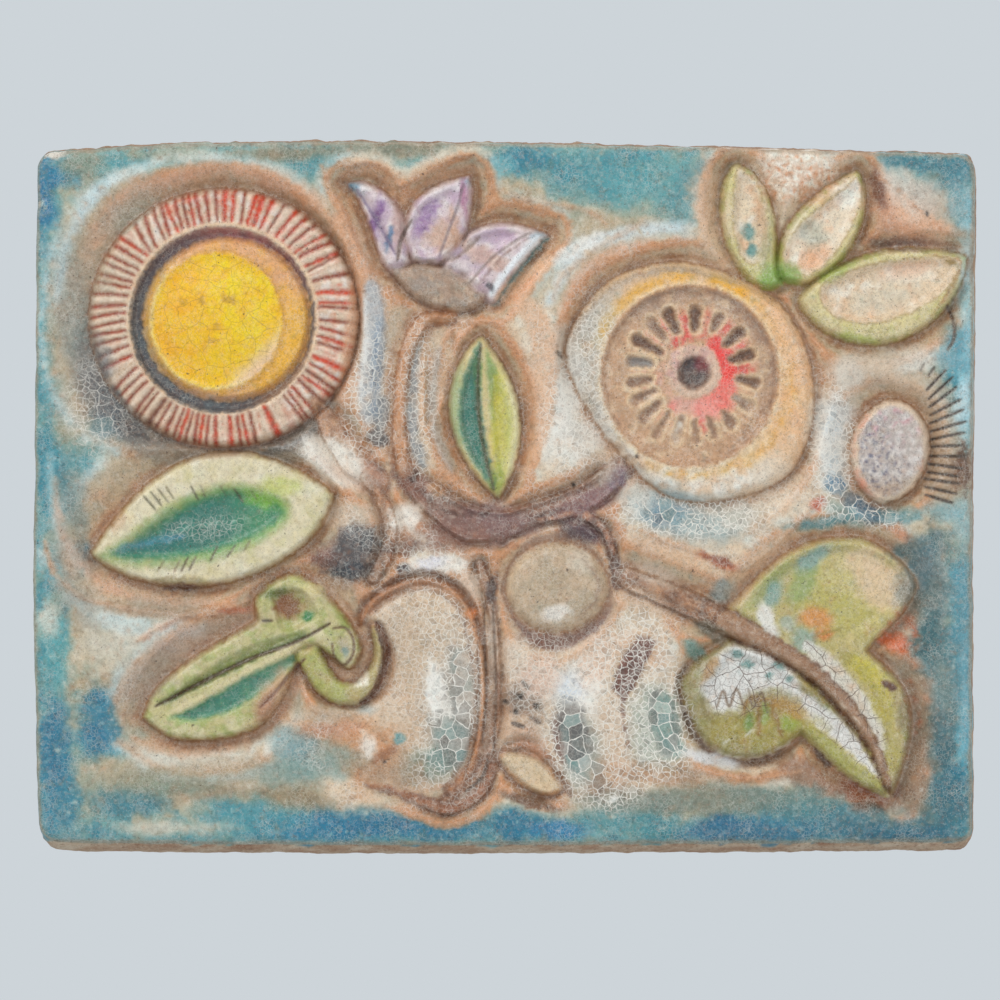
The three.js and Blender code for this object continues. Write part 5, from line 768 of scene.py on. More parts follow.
# ---- stems, roots and the trunk: streaks run along them ----
for k, (name, (points, top, width)) in enumerate(STEMS.items()):
    d, w, s = stems[name]
    body = ramp(d + 0.9 * N6, -1.6, 1.2)
    size = sum(math.dist(p[:2], q[:2]) for p, q in zip(points[:-1], points[1:]))
    streak = cloud(s * size / 7.0, d / 0.9, 1.0, 3, 110 + k)
    base, light, dark_ = {
        "tulip_stem": ("#bd9273", "#d9b493", "#8a6248"), "branch_left": ("#a9836a", "#cda98a", "#70503f"), "trunk": ("#94705a", "#bd9878", "#5d4234"), "arch": ("#93694f", "#bb8c68", "#5f4434"),
        "root": ("#8a6049", "#b98a66", "#5a3d2f"), "root_right": ("#8a664f", "#b78e6c", "#5c4233"), "leaf_stem": ("#8b6a56", "#bb9272", "#5c4437"), "fork": ("#9c7a62", "#c09a7a", "#6a4f40"),
        "wedge": ("#6f564e", "#94766a", "#493733"), "branch": ("#8f7264", "#b3968a", "#60493f"),
    }[name]
    paint(base, body, 0.9)
    paint(light, body * ramp(streak + 0.4 * N6, 0.02, 0.4), 0.75)
    paint(dark_, body * ramp(-streak + 0.3 * N6, 0.10, 0.5), 0.75)
    paint(dark_, np.exp(-(((d + 0.2 * N3) / 0.9) ** 2)) * ramp(N5, -0.7, 0.1), 0.55)
paint("#b5633f", blob((81.5, -26.8), 7, 2.4, -8, 0.3, 0.4, 4, 120), 0.0)

# ---- upright leaf in the middle ----
d = ramp(IN["leaf_mid"], -0.3, 0.4)
paint("#c9b98c", d)
left_half = ramp(-(X + 11.3) + 0.0 * Z, -0.8, 0.8)
scoop = ramp(DEEP["leaf_mid", 0], -1.2, 1.0)
paint("#5e8370", d * scoop)
paint("#3f6a62", d * ramp(DEEP["leaf_mid", 0], 1, 4) * ramp(N3, -0.6, 0.2), 0.7)
paint("#8da06a", d * ramp(DEEP["leaf_mid", 1], -1.4, 0.8))
paint("#b9b36c", d * ramp(DEEP["leaf_mid", 1], 0.5, 3) * ramp(N3, -0.4, 0.3), 0.6)
# painted highlight: pale line inside the leaf's right-hand edge
paint("#ddd3b4", np.exp(-(((IN["leaf_mid"] - 1.2) / 0.7) ** 2)) * ramp(X + 6, 0, 3), 0.8)
paint("#6a553e", np.exp(-((IN["leaf_mid"] / 0.6) ** 2)), 0.8)
line("#4f4a34", [(-10.4, 64.7), (-11.7, 49.8), (-11.3, 34.9), (-9.1, 20), (-4.9, 3)], 0.7, 0.8)

# ---- left leaf ----
name = "leaf_left"
d = ramp(IN[name], -0.3, 0.5)
paint("#d6cbb0", d)
paint("#c2b98c", d * ramp(N5 + 0.4 * N3, 0, 0.4), 0.7)
paint("#dcd6c4", d * ramp(N2 + 0.6 * N3, 0.05, 0.4), 0.6)
scoop = ramp(DEEP[name, 0] + 0.8 * N3, -2.6, 1.2)
paint("#8ea178", d * scoop)
paint("#54856c", d * ramp(DEEP[name, 0] + 1.2 * N3, 0.2, 4.0), 0.9)
paint("#2f6f68", d * ramp(DEEP[name, 0] + 1.5 * N3, 3.0, 6.5), 0.75)
patch("#4f93a4", (-147, -18.7), 17, 3.2, 12, 0.85, within=d, seed=5)
patch("#b8bf6e", (-95.1, 4.3), 9, 4, 0, 0.7, within=d)
patch("#7fa35e", (-123.2, -9.8), 12, 4, 10, 0.6, within=d, seed=8)
paint("#8b6a48", np.exp(-(((IN[name] - 0.1) / 0.7) ** 2)) * ramp(IN[name], -1.4, 0), 0.85)
patch("#8a7a5a", (-138.5, -35.3), 12, 1.6, 0, 0.7, within=d, seed=9)
patch("#5f5142", (-135.1, -38.3), 8, 1.3, 0, 0.85, seed=10)

# ---- folded leaf with its curl ----
name = "curl"
d = ramp(IN[name], -0.3, 0.5)
paint("#cfc6a4", d)
paint("#a9ac70", d * ramp(N5 + 0.5 * N3, -0.15, 0.3), 0.75)
paint("#e0d9c4", d * ramp(N3 + 0.3 * N4 - 0.15, 0, 0.4), 0.6)
for k, colour in ((0, "#a3a878"), (1, "#6f8f72")):
    paint(colour, d * ramp(DEEP[name, k] + 0.6 * N3, -1.4, 1.2), 0.9)
paint("#9db26a", d * ramp(DEEP[name, 1] + 0.6 * N3, -1.6, -0.2) * ramp(2.0 - DEEP[name, 1], 0, 2), 0.6)
patch("#3f7a6c", (-124, -88.9), 12, 2.6, 24, 0.8, within=d, seed=12)
patch("#8a5f43", (-91.7, -45.5), 7, 5.5, -20, 0.9, within=d)
patch("#4e7b50", (-84, -50.6), 2.4, 2, 0, 0.9, within=d)
patch("#d5cfa2", (-81.5, -39.6), 5, 2.2, -10, 0.8, within=d)
patch("#8f9f5a", (-99.4, -39.6), 3, 7, 8, 0.8, within=d)
patch("#96a25c", (-68.3, -48.9), 4, 9, 36, 0.75, within=d)
paint("#846244", np.exp(-(((IN[name] - 0.1) / 0.7) ** 2)) * ramp(IN[name], -1.4, 0), 0.85)
d = ramp(IN["curl_arm"], -0.3, 0.5)
paint("#a8906c", d)
paint("#8f9a62", d * ramp(N3 + 0.1, 0, 0.4), 0.7)
patch("#e2dccb", (-61.5, -75.7), 3.6, 4.6, 30, 0.9, within=d)
patch("#d9d2bb", (-71.3, -82.1), 5, 3, -30, 0.7, within=d)
paint("#6f4f38", np.exp(-(((IN["curl_arm"]) / 0.7) ** 2)), 0.8)

# ---- three leaves, top right ----
for name, rim, inner in (("leaf_a", "#c4bb88", "#dccab0"), ("leaf_b", "#cbb98e", "#e2d2bc"), ("leaf_c", "#cbbd94", "#dac4a8")):
    d = ramp(IN[name], -0.3, 0.5)
    paint(rim, d)
    paint("#b3ae72", d * ramp(N5 + 0.5 * N3, -0.05, 0.35), 0.6)
    paint(inner, d * ramp(DEEP[name, 0] + 0.7 * N3, -1.6, 0.8))
    paint("#d7a986", d * ramp(DEEP[name, 0], 0, 2) * ramp(N5 + 0.3 * N6, 0.0, 0.4), 0.6)
    paint("#efe8dc", d * ramp(DEEP[name, 0], 0, 2) * ramp(cloud(X, Z, 7, 3, 51), 0.05, 0.4), 0.75)
    paint("#8a7648", np.exp(-(((IN[name] - 0.1) / 0.6) ** 2)) * ramp(IN[name], -1.4, 0), 0.8)
    # painted highlight: pale line on the rim round each scoop
    paint("#d9cc98", np.exp(-(((DEEP[name, 0] + 1.7) / 0.9) ** 2)) * d, 0.5)
d = ramp(IN["leaf_a"], 0, 1)
patch("#5d8b8a", (102.8, 112.3), 2.6, 4, 20, 0.85, within=d, seed=3)
patch("#5d8b8a", (104.5, 104.2), 2.2, 3, 0, 0.85, within=d, seed=4)
patch("#8fa85e", (112.5, 91.5), 5, 8, -20, 0.8, within=d)
d = ramp(IN["leaf_b"], 0, 1)
patch("#efe9df", (144.5, 128.1), 6, 6, 40, 0.8, within=d)
patch("#d9a17c", (130.4, 101.7), 7, 5, 40, 0.6, within=d)
patch("#7f9c58", (119.4, 94), 5, 5, 0, 0.75, within=d)
d = ramp(IN["leaf_c"], 0, 1)
patch("#e9e2d4", (170, 94.5), 12, 4, 6, 0.7, within=d)
patch("#9aa860", (140.2, 95.7), 9, 3, 35, 0.7, within=d)
patch("#a8ac66", (146.6, 66.8), 12, 2.4, -8, 0.8, within=d)
line("#8b7444", [(185.7, 100), (191.3, 98.3), (189.1, 90.6), (184.9, 82.5)], 0.6, 0.7)

# ---- large round flower ----
name = "flower"
d = ramp(IN[name], -0.4, 0.6)
angle = FL_A
FX, FZ = X - 77.9, Z - 51.1


def around(middle, half, soft=8):
    off = np.abs((FL_A - middle + 180) % 360 - 180)
    return ramp(half - off, -soft, soft)


paint("#d6b493", d)
paint("#c7bcae", d * around(185, 45, 14) * ramp(N3, -0.6, 0.2), 0.85)
paint("#b3a898", d * around(160, 28, 12) * ramp(IN[name], 1, 5) * ramp(6 + N3 * 3 - np.abs(IN[name] - 4), 0, 3), 0.7)
paint("#e0d6c8", d * around(270, 42, 14) * ramp(N3 + 0.3, -0.2, 0.4), 0.8)
paint("#dcb380", d * around(10, 44, 16) * ramp(N3, -0.6, 0.3), 0.7)
mid_ring = ramp(-FL_RIM, -0.4, 1.0) * d
gold_band = np.exp(-(((FL_RIM + 3.8 + N3) / 2.3) ** 2)) * d
paint("#d3a452", gold_band * around(140, 26, 6) * ramp(N3, -0.8, 0), 0.9)
paint("#dba545", gold_band * around(102, 14, 6) * ramp(N3, -0.6, 0.1), 0.85)
paint("#dfa32e", np.exp(-(((FL_RIM + 3.2 + N3) / 2.6) ** 2)) * d * around(66, 14, 5), 0.95)
paint("#d9ab62", gold_band * around(36, 20, 8) * ramp(N3, -0.6, 0.3), 0.8)
paint("#dbb070", gold_band * around(330, 30, 10) * ramp(N3, -0.5, 0.4), 0.7)
paint("#cfa25e", gold_band * around(285, 26, 8) * ramp(N3, -0.3, 0.4), 0.6)
paint("#8d8272", np.exp(-(((IN[name] - 3.4 + N3) / 1.6) ** 2)) * around(120, 55, 10), 0.55)
# painted highlight: pale line inside the flower's edge on its upper half
paint("#d8c09a", np.exp(-(((IN[name] - 1.2) / 0.9) ** 2)) * around(90, 70, 10), 0.6)
paint("#8a6a50", np.exp(-(((IN[name] - 0.1) / 0.6) ** 2)) * ramp(IN[name], -1.4, 0), 0.8)
paint("#c99a74", np.exp(-(((FL_RIM - 0.1) / 0.7) ** 2)), 0.7)
# painted highlight: pale line on the outer flank of the rim
paint("#e4cdae", np.exp(-(((FL_RIM + 1.4) / 0.8) ** 2)) * ramp(N3, -0.5, 0.3), 0.6)
inside = ramp(FL_RIM, 0, 1.2)
paint("#c3a083", inside)
paint("#7c5c48", np.exp(-(((FL_RIM - 1.6) / 0.7) ** 2)) * ramp(N3 + 0.4 * around(60, 90), -0.3, 0.4), 0.75)
paint("#9f8a7c", inside * ramp(8 - np.abs(FL_RIM - 4.5), 0, 5) * around(60, 80, 20) * ramp(N3, -0.6, 0.2), 0.65)
paint("#d0ac86", inside * ramp(N5, 0, 0.4), 0.6)
dish = ramp(FL_DISH, -1.0, 1.0)
paint("#bf9c7e", dish, 0.8)
paint("#d3ad90", dish * ramp(N3 + 0.3 * N4, -0.1, 0.35), 0.6)
edge_of = np.exp(-(((SCOOP + 0.55) / 0.6) ** 2)) * near
paint("#e0c9a8", edge_of, 0.85)
hole = ramp(SCOOP, -0.1, 1.0) * near
deep_side = np.clip((SCOOP_DEPTH - 1.2) / 1.4, 0, 1)
paint("#a98c74", hole)
paint("#6e5547", hole * ramp(SCOOP, 0.3, 1.8) * mix(0.35, 1.0, deep_side))
paint("#8f9090", hole * around(172, 12, 4), 0.7)
paint("#ded8cc", hole * (around(254, 6, 4) + around(334, 6, 4)) * ramp(N6, -0.4, 0.2), 0.8)
between = near * ramp(-SCOOP, 0.3, 0.9) * ramp(FL_R, 12.5, 15) * ramp(27 - FL_R, -1, 3)
paint("#cf5a52", between * (around(118, 8, 4) + around(100, 8, 4) + around(76, 8, 4) * 0.6 + around(52, 7, 3) + around(28, 6, 3) * 1.1 + around(3, 5, 3) * 1.3 + around(240, 6, 3) + around(278, 5, 3)) * ramp(N6, -0.5, 0.2), 0.8)
paint("#d9847a", between * around(142, 8, 5) * ramp(N6, -0.3, 0.3), 0.6)
paint("#c9746c", between * around(190, 22, 6) * ramp(N6 - 0.1, -0.1, 0.3), 0.4)
red_spot = blob((92.1, 54.9), 5, 9, 12, 0.3, 0.3, 4, 71)
paint("#e0453f", red_spot * ramp(-SCOOP, -0.3, 0.4) * ramp(FL_R, 11, 12.5), 0.9)
patch("#d94f4c", (89.6, 61.7), 4.5, 6, 20, 0.85, within=ramp(-SCOOP, -0.3, 0.4) * ramp(FL_R, 11, 12.5), seed=72)
patch("#e2766e", (89.6, 43), 8, 8, 40, 0.85, within=ramp(-SCOOP, -0.3, 0.4) * ramp(FL_R, 11, 12.5), seed=73)
patch("#e49a90", (84.5, 37), 6, 5, 0, 0.8, within=ramp(-SCOOP, -0.3, 0.4) * ramp(FL_R, 11, 12.5), seed=74)
patch("#dba79c", (75.1, 39.1), 6, 4, 0, 0.7, within=ramp(-SCOOP, -0.3, 0.4) * ramp(FL_R, 11, 12.5), seed=75)
pinch = ramp(FL_R, 11.2, 12.4) * ramp(16 - FL_R, 0, 1.5)
paint("#d2504e", pinch * around(108, 22, 8) * ramp(cloud(X, Z, 1.3, 2, 76), -0.1, 0.25), 0.85)
paint("#d9b0a0", pinch * around(190, 50, 12) * ramp(N6, -0.5, 0.3), 0.7)
hub = ramp(FL_HUB, -0.5, 0.8)
paint("#d9bfa2", hub)
paint("#b79a86", hub * around(180, 60, 20) * ramp(N6, -0.2, 0.4), 0.6)
pit = ramp(FL_HOLE, -0.8, 2.0)
paint("#8d7468", pit)
paint("#56504f", ramp(FL_HOLE, 0.2, 4.4) * ramp(cloud(X, Z, 3, 3, 79), -0.8, 0.2))
patch("#a3505a", (82.8, 56.6), 4.2, 3.4, -30, 0.8, within=pit, seed=80)
patch("#4b4f58", (77.7, 56.6), 3, 3, 0, 0.7, within=pit, seed=81)

# ---- small round flower, right ----
name = "thistle"
d = ramp(IN[name], -0.4, 0.5)
paint("#d5c2aa", d)
paint("#c7452c", np.exp(-(((IN[name] - 1.5) / 0.8) ** 2)) * ramp(-(X - 158) - 0.1 * Z, -2, 3) * ramp(N3, -0.4, 0.3) * ramp(Z, -8, 4), 0.75)
patch("#c9573c", (150, 4.3), 3, 4, -40, 0.75, within=ramp(IN[name], 0, 1) * ramp(3.4 - IN[name], 0, 1), seed=5)
patch("#c9573c", (175.5, 14.5), 1.6, 4, 10, 0.75, within=ramp(IN[name], 0, 1), seed=6)
core = ramp(IN[name] + 0.7 * N3, 2.2, 4.2)
paint("#b3a8a6", core)
paint("#8e8696", core * ramp(cloud(X, Z, 5, 3, 83), -0.05, 0.3), 0.75)
paint("#e2dcd6", core * ramp(cloud(X, Z, 2.4, 3, 84) - 0.12, 0, 0.2), 0.8)
paint("#6d6a78", core * ramp(cloud(X, Z, 1.5, 2, 85) - 0.25, 0, 0.2), 0.8)
paint("#b5997a", core * ramp(-(Z - 12) + 4 * N3, 0, 8), 0.7)
paint("#826048", np.exp(-(((IN[name]) / 0.6) ** 2)), 0.8)

# ---- large leaf of two lobes ----
name = "leaf_up"
d = ramp(IN[name], -0.3, 0.5)
paint("#b8aa78", d)
paint("#a59c62", d * ramp(N5 + 0.5 * N3, -0.05, 0.35), 0.6)
up_in = d * ramp(DEEP[name, 0] + 0.5 * N3, -1.6, 0.8)
patch("#b5ac6a", (141.5, -42.1), 20, 15, -20, 0.85, within=d, seed=21)
patch("#c6b98a", (146.6, -31.1), 16, 9, -10, 0.6, within=d, seed=22)
patch("#d8bfa2", (159.3, -37.4), 12, 10, -30, 0.85, within=d, seed=23)
patch("#dcc3aa", (150.8, -26.8), 9, 5, 10, 0.6, within=d, seed=24)
patch("#8fa070", (125.3, -37.4), 5, 9, -30, 0.7, within=d, seed=25)
patch("#98a068", (111.7, -35.3), 4, 16, -38, 0.7, within=d, seed=26)
patch("#7f9fa0", (129.6, -26), 9, 3.4, 34, 0.75, within=d, seed=27)
patch("#cf8a55", (131.7, -51.5), 7, 4.5, -10, 0.75, within=d, seed=28)
patch("#c9804e", (134.7, -58.3), 4, 2.6, 0, 0.8, within=d, seed=29)
patch("#8a7f48", (135.5, -57.4), 9, 0.7, 12, 0.6, within=d, seed=30)
patch("#7f9f9c", (113.4, -41.3), 3.4, 6.5, -12, 0.8, within=d, seed=31)
patch("#8fa39a", (126.2, -60.8), 6, 5, -30, 0.8, within=d, seed=32)
patch("#a7b0a4", (119.4, -53.2), 3.4, 3.4, 0, 0.8, within=d, seed=33)
patch("#dedad3", (110.8, -52.3), 3.4, 8.5, 24, 0.95, within=d, seed=34, rag=0.25)
WHITE_UP = stroke([(127.9, -63), (138.1, -72.8), (147.4, -84.2), (155.1, -95.7), (159.3, -105.5)], 4.2, 1.0)
paint("#d8d3cb", WHITE_UP * d * (1 - ramp(rib, -0.5, 0.5)), 0.9)
paint("#cdb49a", stroke([(136.4, -67.2), (144.9, -77.9), (151.7, -88.9)], 2.0, 1.0) * d * ramp(N3, -0.2, 0.3), 0.6)
patch("#c0b458", (153.4, -74.5), 10, 4.4, -42, 0.85, within=d, seed=35)
patch("#b8ab5a", (159.3, -86.4), 4.5, 9, 14, 0.7, within=d, seed=36)
patch("#949650", (169.1, -95.7), 2.6, 11, 8, 0.75, within=d, seed=37)
patch("#5e4038", (161.9, -79.6), 3.0, 1.9, -30, 0.95, seed=38, rag=0.5, within=d)
patch("#a59a5c", (164.5, -110.2), 3.4, 12, 12, 0.75, within=d, seed=39)
# painted highlight: pale line inside the upper right edge of the leaf
paint("#d9c0a0", np.exp(-(((IN[name] - 1.0) / 0.8) ** 2)) * ramp(X - 150, 0, 12) * ramp(Z + 66, 0, 6), 0.75)
paint("#c9a77c", np.exp(-(((IN[name] - 1.1) / 0.8) ** 2)) * ramp(150 - X, 0, 12), 0.5)
paint("#8a6a48", np.exp(-(((IN[name] - 0.1) / 0.65) ** 2)) * ramp(IN[name], -1.4, 0), 0.85)
name = "leaf_low"
d = ramp(IN[name], -0.3, 0.5)
paint("#948862", d)
paint("#8a8a54", d * ramp(N5 + 0.5 * N3, -0.1, 0.3), 0.6)
low_in = d * ramp(DEEP[name, 0] + 0.4 * N3, -1.2, 0.8)
WHITE_LOW = np.maximum(blob((98.9, -78.7), 17, 15, 10, 0.12, 0.18, 6, 41), stroke([(99.8, -72.8), (114.7, -81.3), (127.9, -88.9), (141.5, -100), (151.7, -111.1), (157.6, -117)], 4.6, 1.0))
WHITE_LOW = np.maximum(WHITE_LOW, blob((112.5, -74.5), 13, 8, -34, 0.15, 0.2, 6, 42)) * d
paint("#dedbd7", WHITE_LOW * (1 - 0.75 * blob((112.5, -88.9), 13, 8, 0, 0.2, 0.2, 5, 43)), 0.95)
patch("#9c9050", (108.3, -98.3), 24, 8.5, 0, 0.9, within=d * ramp(-(Z + 84) + 3 * N3, -1, 3), seed=44)
patch("#84984e", (109.1, -91.5), 2.6, 5, 0, 0.85, within=d, seed=45)
patch("#8fa04e", (119.8, -95.7), 5, 3, 0, 0.7, within=d, seed=46)
patch("#6f8f56", (103.2, -95.7), 2, 4, 0, 0.7, within=d, seed=47)
line("#8a6a3c", [(100.6, -91.5), (102.8, -86.4), (107, -84.7), (107.4, -91.5), (107, -100.8)], 1.2, 0.8, 0.7, within=d)
line("#8a6a3c", [(108.3, -85.5), (111.7, -87.2), (114.2, -93.2), (116.4, -100.8)], 1.1, 0.8, 0.7, within=d)
patch("#b5884a", (119.4, -88.9), 9, 3, -28, 0.6, within=d, seed=48)
for place, rx, rz in (((98.1, -66.4), 2.4, 1.8), ((102.3, -71.1), 2.6, 2), ((111.7, -75.7), 1.6, 1.6), ((120.2, -76.6), 1.8, 1.4), ((115.9, -71.5), 3, 1.6)):
    patch("#5f8580", place, rx, rz, -20, 0.8, rag=0.6, size=2.0, within=d)
patch("#a77f52", (86.6, -72.8), 2.4, 6, -32, 0.75, within=d, seed=49)
paint("#b39a58", np.exp(-(((DEEP[name, 0] + 1.2) / 0.9) ** 2)) * d * ramp(X - 118, 0, 10), 0.6)
paint("#a8a460", d * ramp(-DEEP[name, 0], 0.4, 1.8) * ramp(X - 124, 0, 8), 0.8)
# painted highlight: pale line inside the lobe's right-hand edge
paint("#cfc79a", np.exp(-(((IN[name] - 0.9) / 0.7) ** 2)) * ramp(X - 124, 0, 8), 0.5)
# painted highlight: white line on the lobe's lower left edge
paint("#e2dcd2", np.exp(-(((IN[name] - 0.2) / 0.5) ** 2)) * ramp(-(Z + 100), 0, 4) * ramp(124 - X, 0, 4) * ramp(N3, -0.4, 0), 0.9)
paint("#6f5a40", np.exp(-(((IN[name] - 0.1) / 0.6) ** 2)) * ramp(IN[name], -1.4, 0) * ramp(Z + 101, 0, 4), 0.8)
# the midrib over both
d = ramp(rib, -0.4, 0.5)
paint("#9a7a62", d)
paint("#b0927a", d * ramp(N5 + 0.4 * N6, -0.1, 0.35), 0.7)
paint("#e0d4c4", d * stroke([(141.5, -86.4), (149.1, -95.7)], 0.5) * ramp(N6, -0.2, 0.1), 0.8)
paint("#66493a", np.exp(-((rib / 0.65) ** 2)) * ramp(cloud(X, Z, 4, 2, 90), -0.6, 0.1), 0.85)
line("#715240", [(128.7, -76.2), (140.6, -88.1), (150.8, -101.7), (156.8, -111.9)], 0.45, 0.8)
# hollows of the large leaf
# dark crevice under the leaf: pooled glaze with painted shade
crevice = OUTSIDE * np.exp(-((np.clip(-IN["leaf_low"] - 1.6, 0, 60) / 1.8) ** 2)) * ramp(-IN["leaf_low"], 0.2, 0.8)
paint("#54463c", crevice * ramp(94 - X, -10, 14) * ramp(-(Z + 70), -4, 6), 0.9)
paint("#6b5545", crevice * ramp(122 - X, 0, 8) * ramp(-(Z + 98), -6, 6), 0.8)
patch("#6f6a5c", (87.9, -57.4), 8, 3.4, -32, 0.8, within=OUTSIDE, seed=50)
patch("#6e928c", (79.4, -64.3), 5.4, 3.6, -40, 0.85, within=OUTSIDE, seed=51)
patch("#5d8f97", (136.4, -10.6), 19, 2.4, 8, 0.85, within=OUTSIDE, seed=52)
patch("#7d969b", (92.1, -39.6), 6, 4.5, 30, 0.7, within=OUTSIDE, seed=53)
RIGHT_OF = np.clip(-IN["leaf_up"], 0, 60)
east = OUTSIDE * ramp(X - 158, 0, 10)
paint("#9a9a94", east * np.exp(-(((RIGHT_OF - 3.0) / 2.2) ** 2)), 0.75)
paint("#cf9272", east * np.exp(-(((RIGHT_OF - 8.6 - 2 * N2) / 3.0) ** 2)) * ramp(N3, -0.6, 0.2), 0.8)
patch("#cc6e48", (164.5, -61.7), 7, 3.4, -22, 0.85, within=OUTSIDE, seed=54)
patch("#33605f", (178.1, -58.3), 4, 9, -12, 0.85, seed=55)
patch("#4f8f97", (183.2, -106.8), 4, 6, 0, 0.75, seed=56)
patch("#8b6d58", (130.4, -118.7), 17, 6.5, -24, 0.85, within=OUTSIDE, seed=57)
patch("#7e4f3c", (151.7, -126.4), 11, 4.4, -18, 0.8, within=OUTSIDE, seed=58)
patch("#5a4f45", (153.4, -131.5), 8, 2.6, -4, 0.8, within=OUTSIDE, seed=59)
patch("#6a4434", (168.7, -125.5), 6, 3, 14, 0.85, within=OUTSIDE, seed=60)
patch("#4f3d36", (134.2, -110.6), 1.6, 5, 36, 0.8, within=OUTSIDE, seed=62)
# painted highlight: white strip on the shoulder below the lower lobe
paint("#dcd0bc", OUTSIDE * np.exp(-(((np.clip(-IN["leaf_low"], 0, 60) - 5.2) / 1.6) ** 2)) * ramp(118 - X, 0, 10) * ramp(-(Z + 84), 0, 8) * ramp(N3, -0.5, 0.2), 0.8)
paint("#b98a66", OUTSIDE * np.exp(-(((np.clip(-IN["leaf_low"], 0, 60) - 9.4) / 2.0) ** 2)) * ramp(122 - X, 0, 8) * ramp(-(Z + 84), 0, 8), 0.8)

# ---- round bud and the hollow it sits in ----
name = "bud"
cup = ramp(IN["cup"], -0.5, 1.0)
paint("#9d8270", cup)
paint("#6b5148", cup * ramp(-IN[name], 0, 1.5) * ramp(-(Z + 48) + 4 * N3, -4, 8), 0.75)
patch("#5b4a48", (30.8, -14.5), 9, 4.2, -14, 0.85, within=ramp(-IN[name], -0.2, 0.5), seed=13)
d = ramp(IN[name], -0.5, 0.8)
paint("#bda890", d)
paint("#a89a84", d * ramp(IN[name], 2, 8) * ramp(N5 + 0.4 * N3, -0.3, 0.3), 0.6)
# painted highlight: pale band on the bud's rounded shoulder
paint("#d6c2a6", d * np.exp(-(((IN[name] - 2.2) / 1.3) ** 2)) * ramp(N3, -0.5, 0.3), 0.75)
patch("#e6dfd6", (21.5, -48.9), 6, 3.4, 10, 0.85, within=d, seed=14)
patch("#ded6c8", (31.7, -26.8), 5, 6, 30, 0.5, within=d, seed=15)
paint("#8f6d52", np.exp(-((IN[name] / 0.8) ** 2)), 0.8)
paint("#7a5c4a", np.exp(-(((IN[name] - 4.6) / 0.8) ** 2)) * ramp(X - 25, 0, 12), 0.45)
patch("#77574a", (16.8, -61.3), 12, 2.8, -8, 0.8, within=ramp(-IN[name], -0.4, 0.4), seed=16)

# ---- arched cushion beside the trunk ----
name = "lobe"
d = ramp(IN[name], -0.4, 0.8)
paint("#cdb59c", d)
paint("#b99a7e", d * ramp(N2 + 0.5 * N3, 0.0, 0.4), 0.7)
patch("#c3b4a4", (-23.6, -82.1), 13, 30, 0, 0.7, within=d, seed=17)
patch("#dcd6cc", (-29.1, -82.1), 5, 11, 4, 0.75, within=d, seed=18)
patch("#b98f6c", (-66.2, -108.5), 20, 10, -10, 0.7, within=d, seed=19)
patch("#8f9a92", (-74.7, -103.4), 9, 9, 0, 0.6, within=d, seed=20)
patch("#84958f", (-32.1, -113.6), 12, 5, 10, 0.7, within=d, seed=21)
patch("#e4ddd3", (-57.7, -105.5), 4, 3, 20, 0.8, within=d, seed=22)
patch("#5f8f96", (-44.9, -102.1), 2.6, 2.4, 0, 0.8, within=d, seed=23)
patch("#c8b59e", (-40.6, -60.8), 14, 14, 0, 0.5, within=d, seed=24)
arch = np.clip(-IN[name], 0, 60)
# painted shade: a dark band in the groove outside the top of the arched cushion
shade_above_arch = ramp(Z + 62 - 0.2 * X - 12, -10, 14)
paint("#7c6150", OUTSIDE * np.exp(-(((arch - 1.6) / 1.6) ** 2)) * shade_above_arch, 0.85)
paint("#bf9474", np.exp(-(((IN[name] - 0.8) / 1.0) ** 2)) * ramp(N3, -0.8, 0.1), 0.65)
patch("#4b5560", (-64.9, -19.6), 7, 10, -24, 0.8, within=OUTSIDE, seed=25)
patch("#67625f", (-66.2, -29.4), 10, 4, -10, 0.7, within=OUTSIDE, seed=26)
patch("#3a3532", (-68.3, -33.2), 7, 1.6, -6, 0.8, within=OUTSIDE, seed=27)

# ---- cushion right of the trunk ----
name = "lobe_right"
d = ramp(IN[name] + 1.2 * N3, -2.0, 2.4)
paint("#cdbba6", d)
paint("#d8d0c4", d * ramp(N5 + 0.3 * N3, 0, 0.4), 0.6)
patch("#8c9c9a", (33.4, -106.8), 9, 20, 8, 0.85, seed=28, rag=0.2)
patch("#9aa6a2", (28.7, -95.7), 5, 7, 0, 0.8, seed=29)
patch("#e6e2dc", (28.3, -82.1), 9, 10, 20, 0.85, seed=30)
patch("#c8b29c", (52.1, -101.3), 13, 20, 0, 0.7, seed=31, within=1 - ramp(IN["leaf_low"], -4, 0))
patch("#9aa49a", (68.3, -95.7), 6, 18, 8, 0.75, within=OUTSIDE, seed=32)
patch("#77938a", (69.1, -88.1), 3.4, 6, 0, 0.75, within=OUTSIDE, seed=33)
# painted highlight: white streak on the shoulder below the large leaf's lower lobe
patch("#d9dadb", (86.2, -110.6), 14, 2.6, -14, 0.9, within=OUTSIDE, seed=34)
d = ramp(IN["lozenge"], -0.3, 0.5)
paint("#6b5148", d)
paint("#a1805f", np.exp(-(((IN["lozenge"] + 0.5) / 0.9) ** 2)), 0.7)
paint("#8a7066", d * ramp(N6, 0, 0.3), 0.6)
line("#9d7f66", [(50, -86.4), (50.4, -96.6), (51.7, -108.1)], 1.1, 0.7, 0.6)
line("#7e6450", [(46.6, -60.8), (40.2, -69.4), (36, -82.1)], 1.6, 0.5, 1.0)
d = ramp(IN["leaf_base"], -0.3, 0.6)
paint("#cdb799", d)
paint("#bf8f66", d * np.exp(-(((IN["leaf_base"] - 0.8) / 0.9) ** 2)) * ramp(-(Z + 112), 0, 4), 0.8)
paint("#6f5140", np.exp(-(((IN["leaf_base"] + 0.8) / 1.2) ** 2)), 0.75)
patch("#5b4638", (10.4, -128.9), 13, 2.4, -16, 0.75, within=OUTSIDE, seed=35)

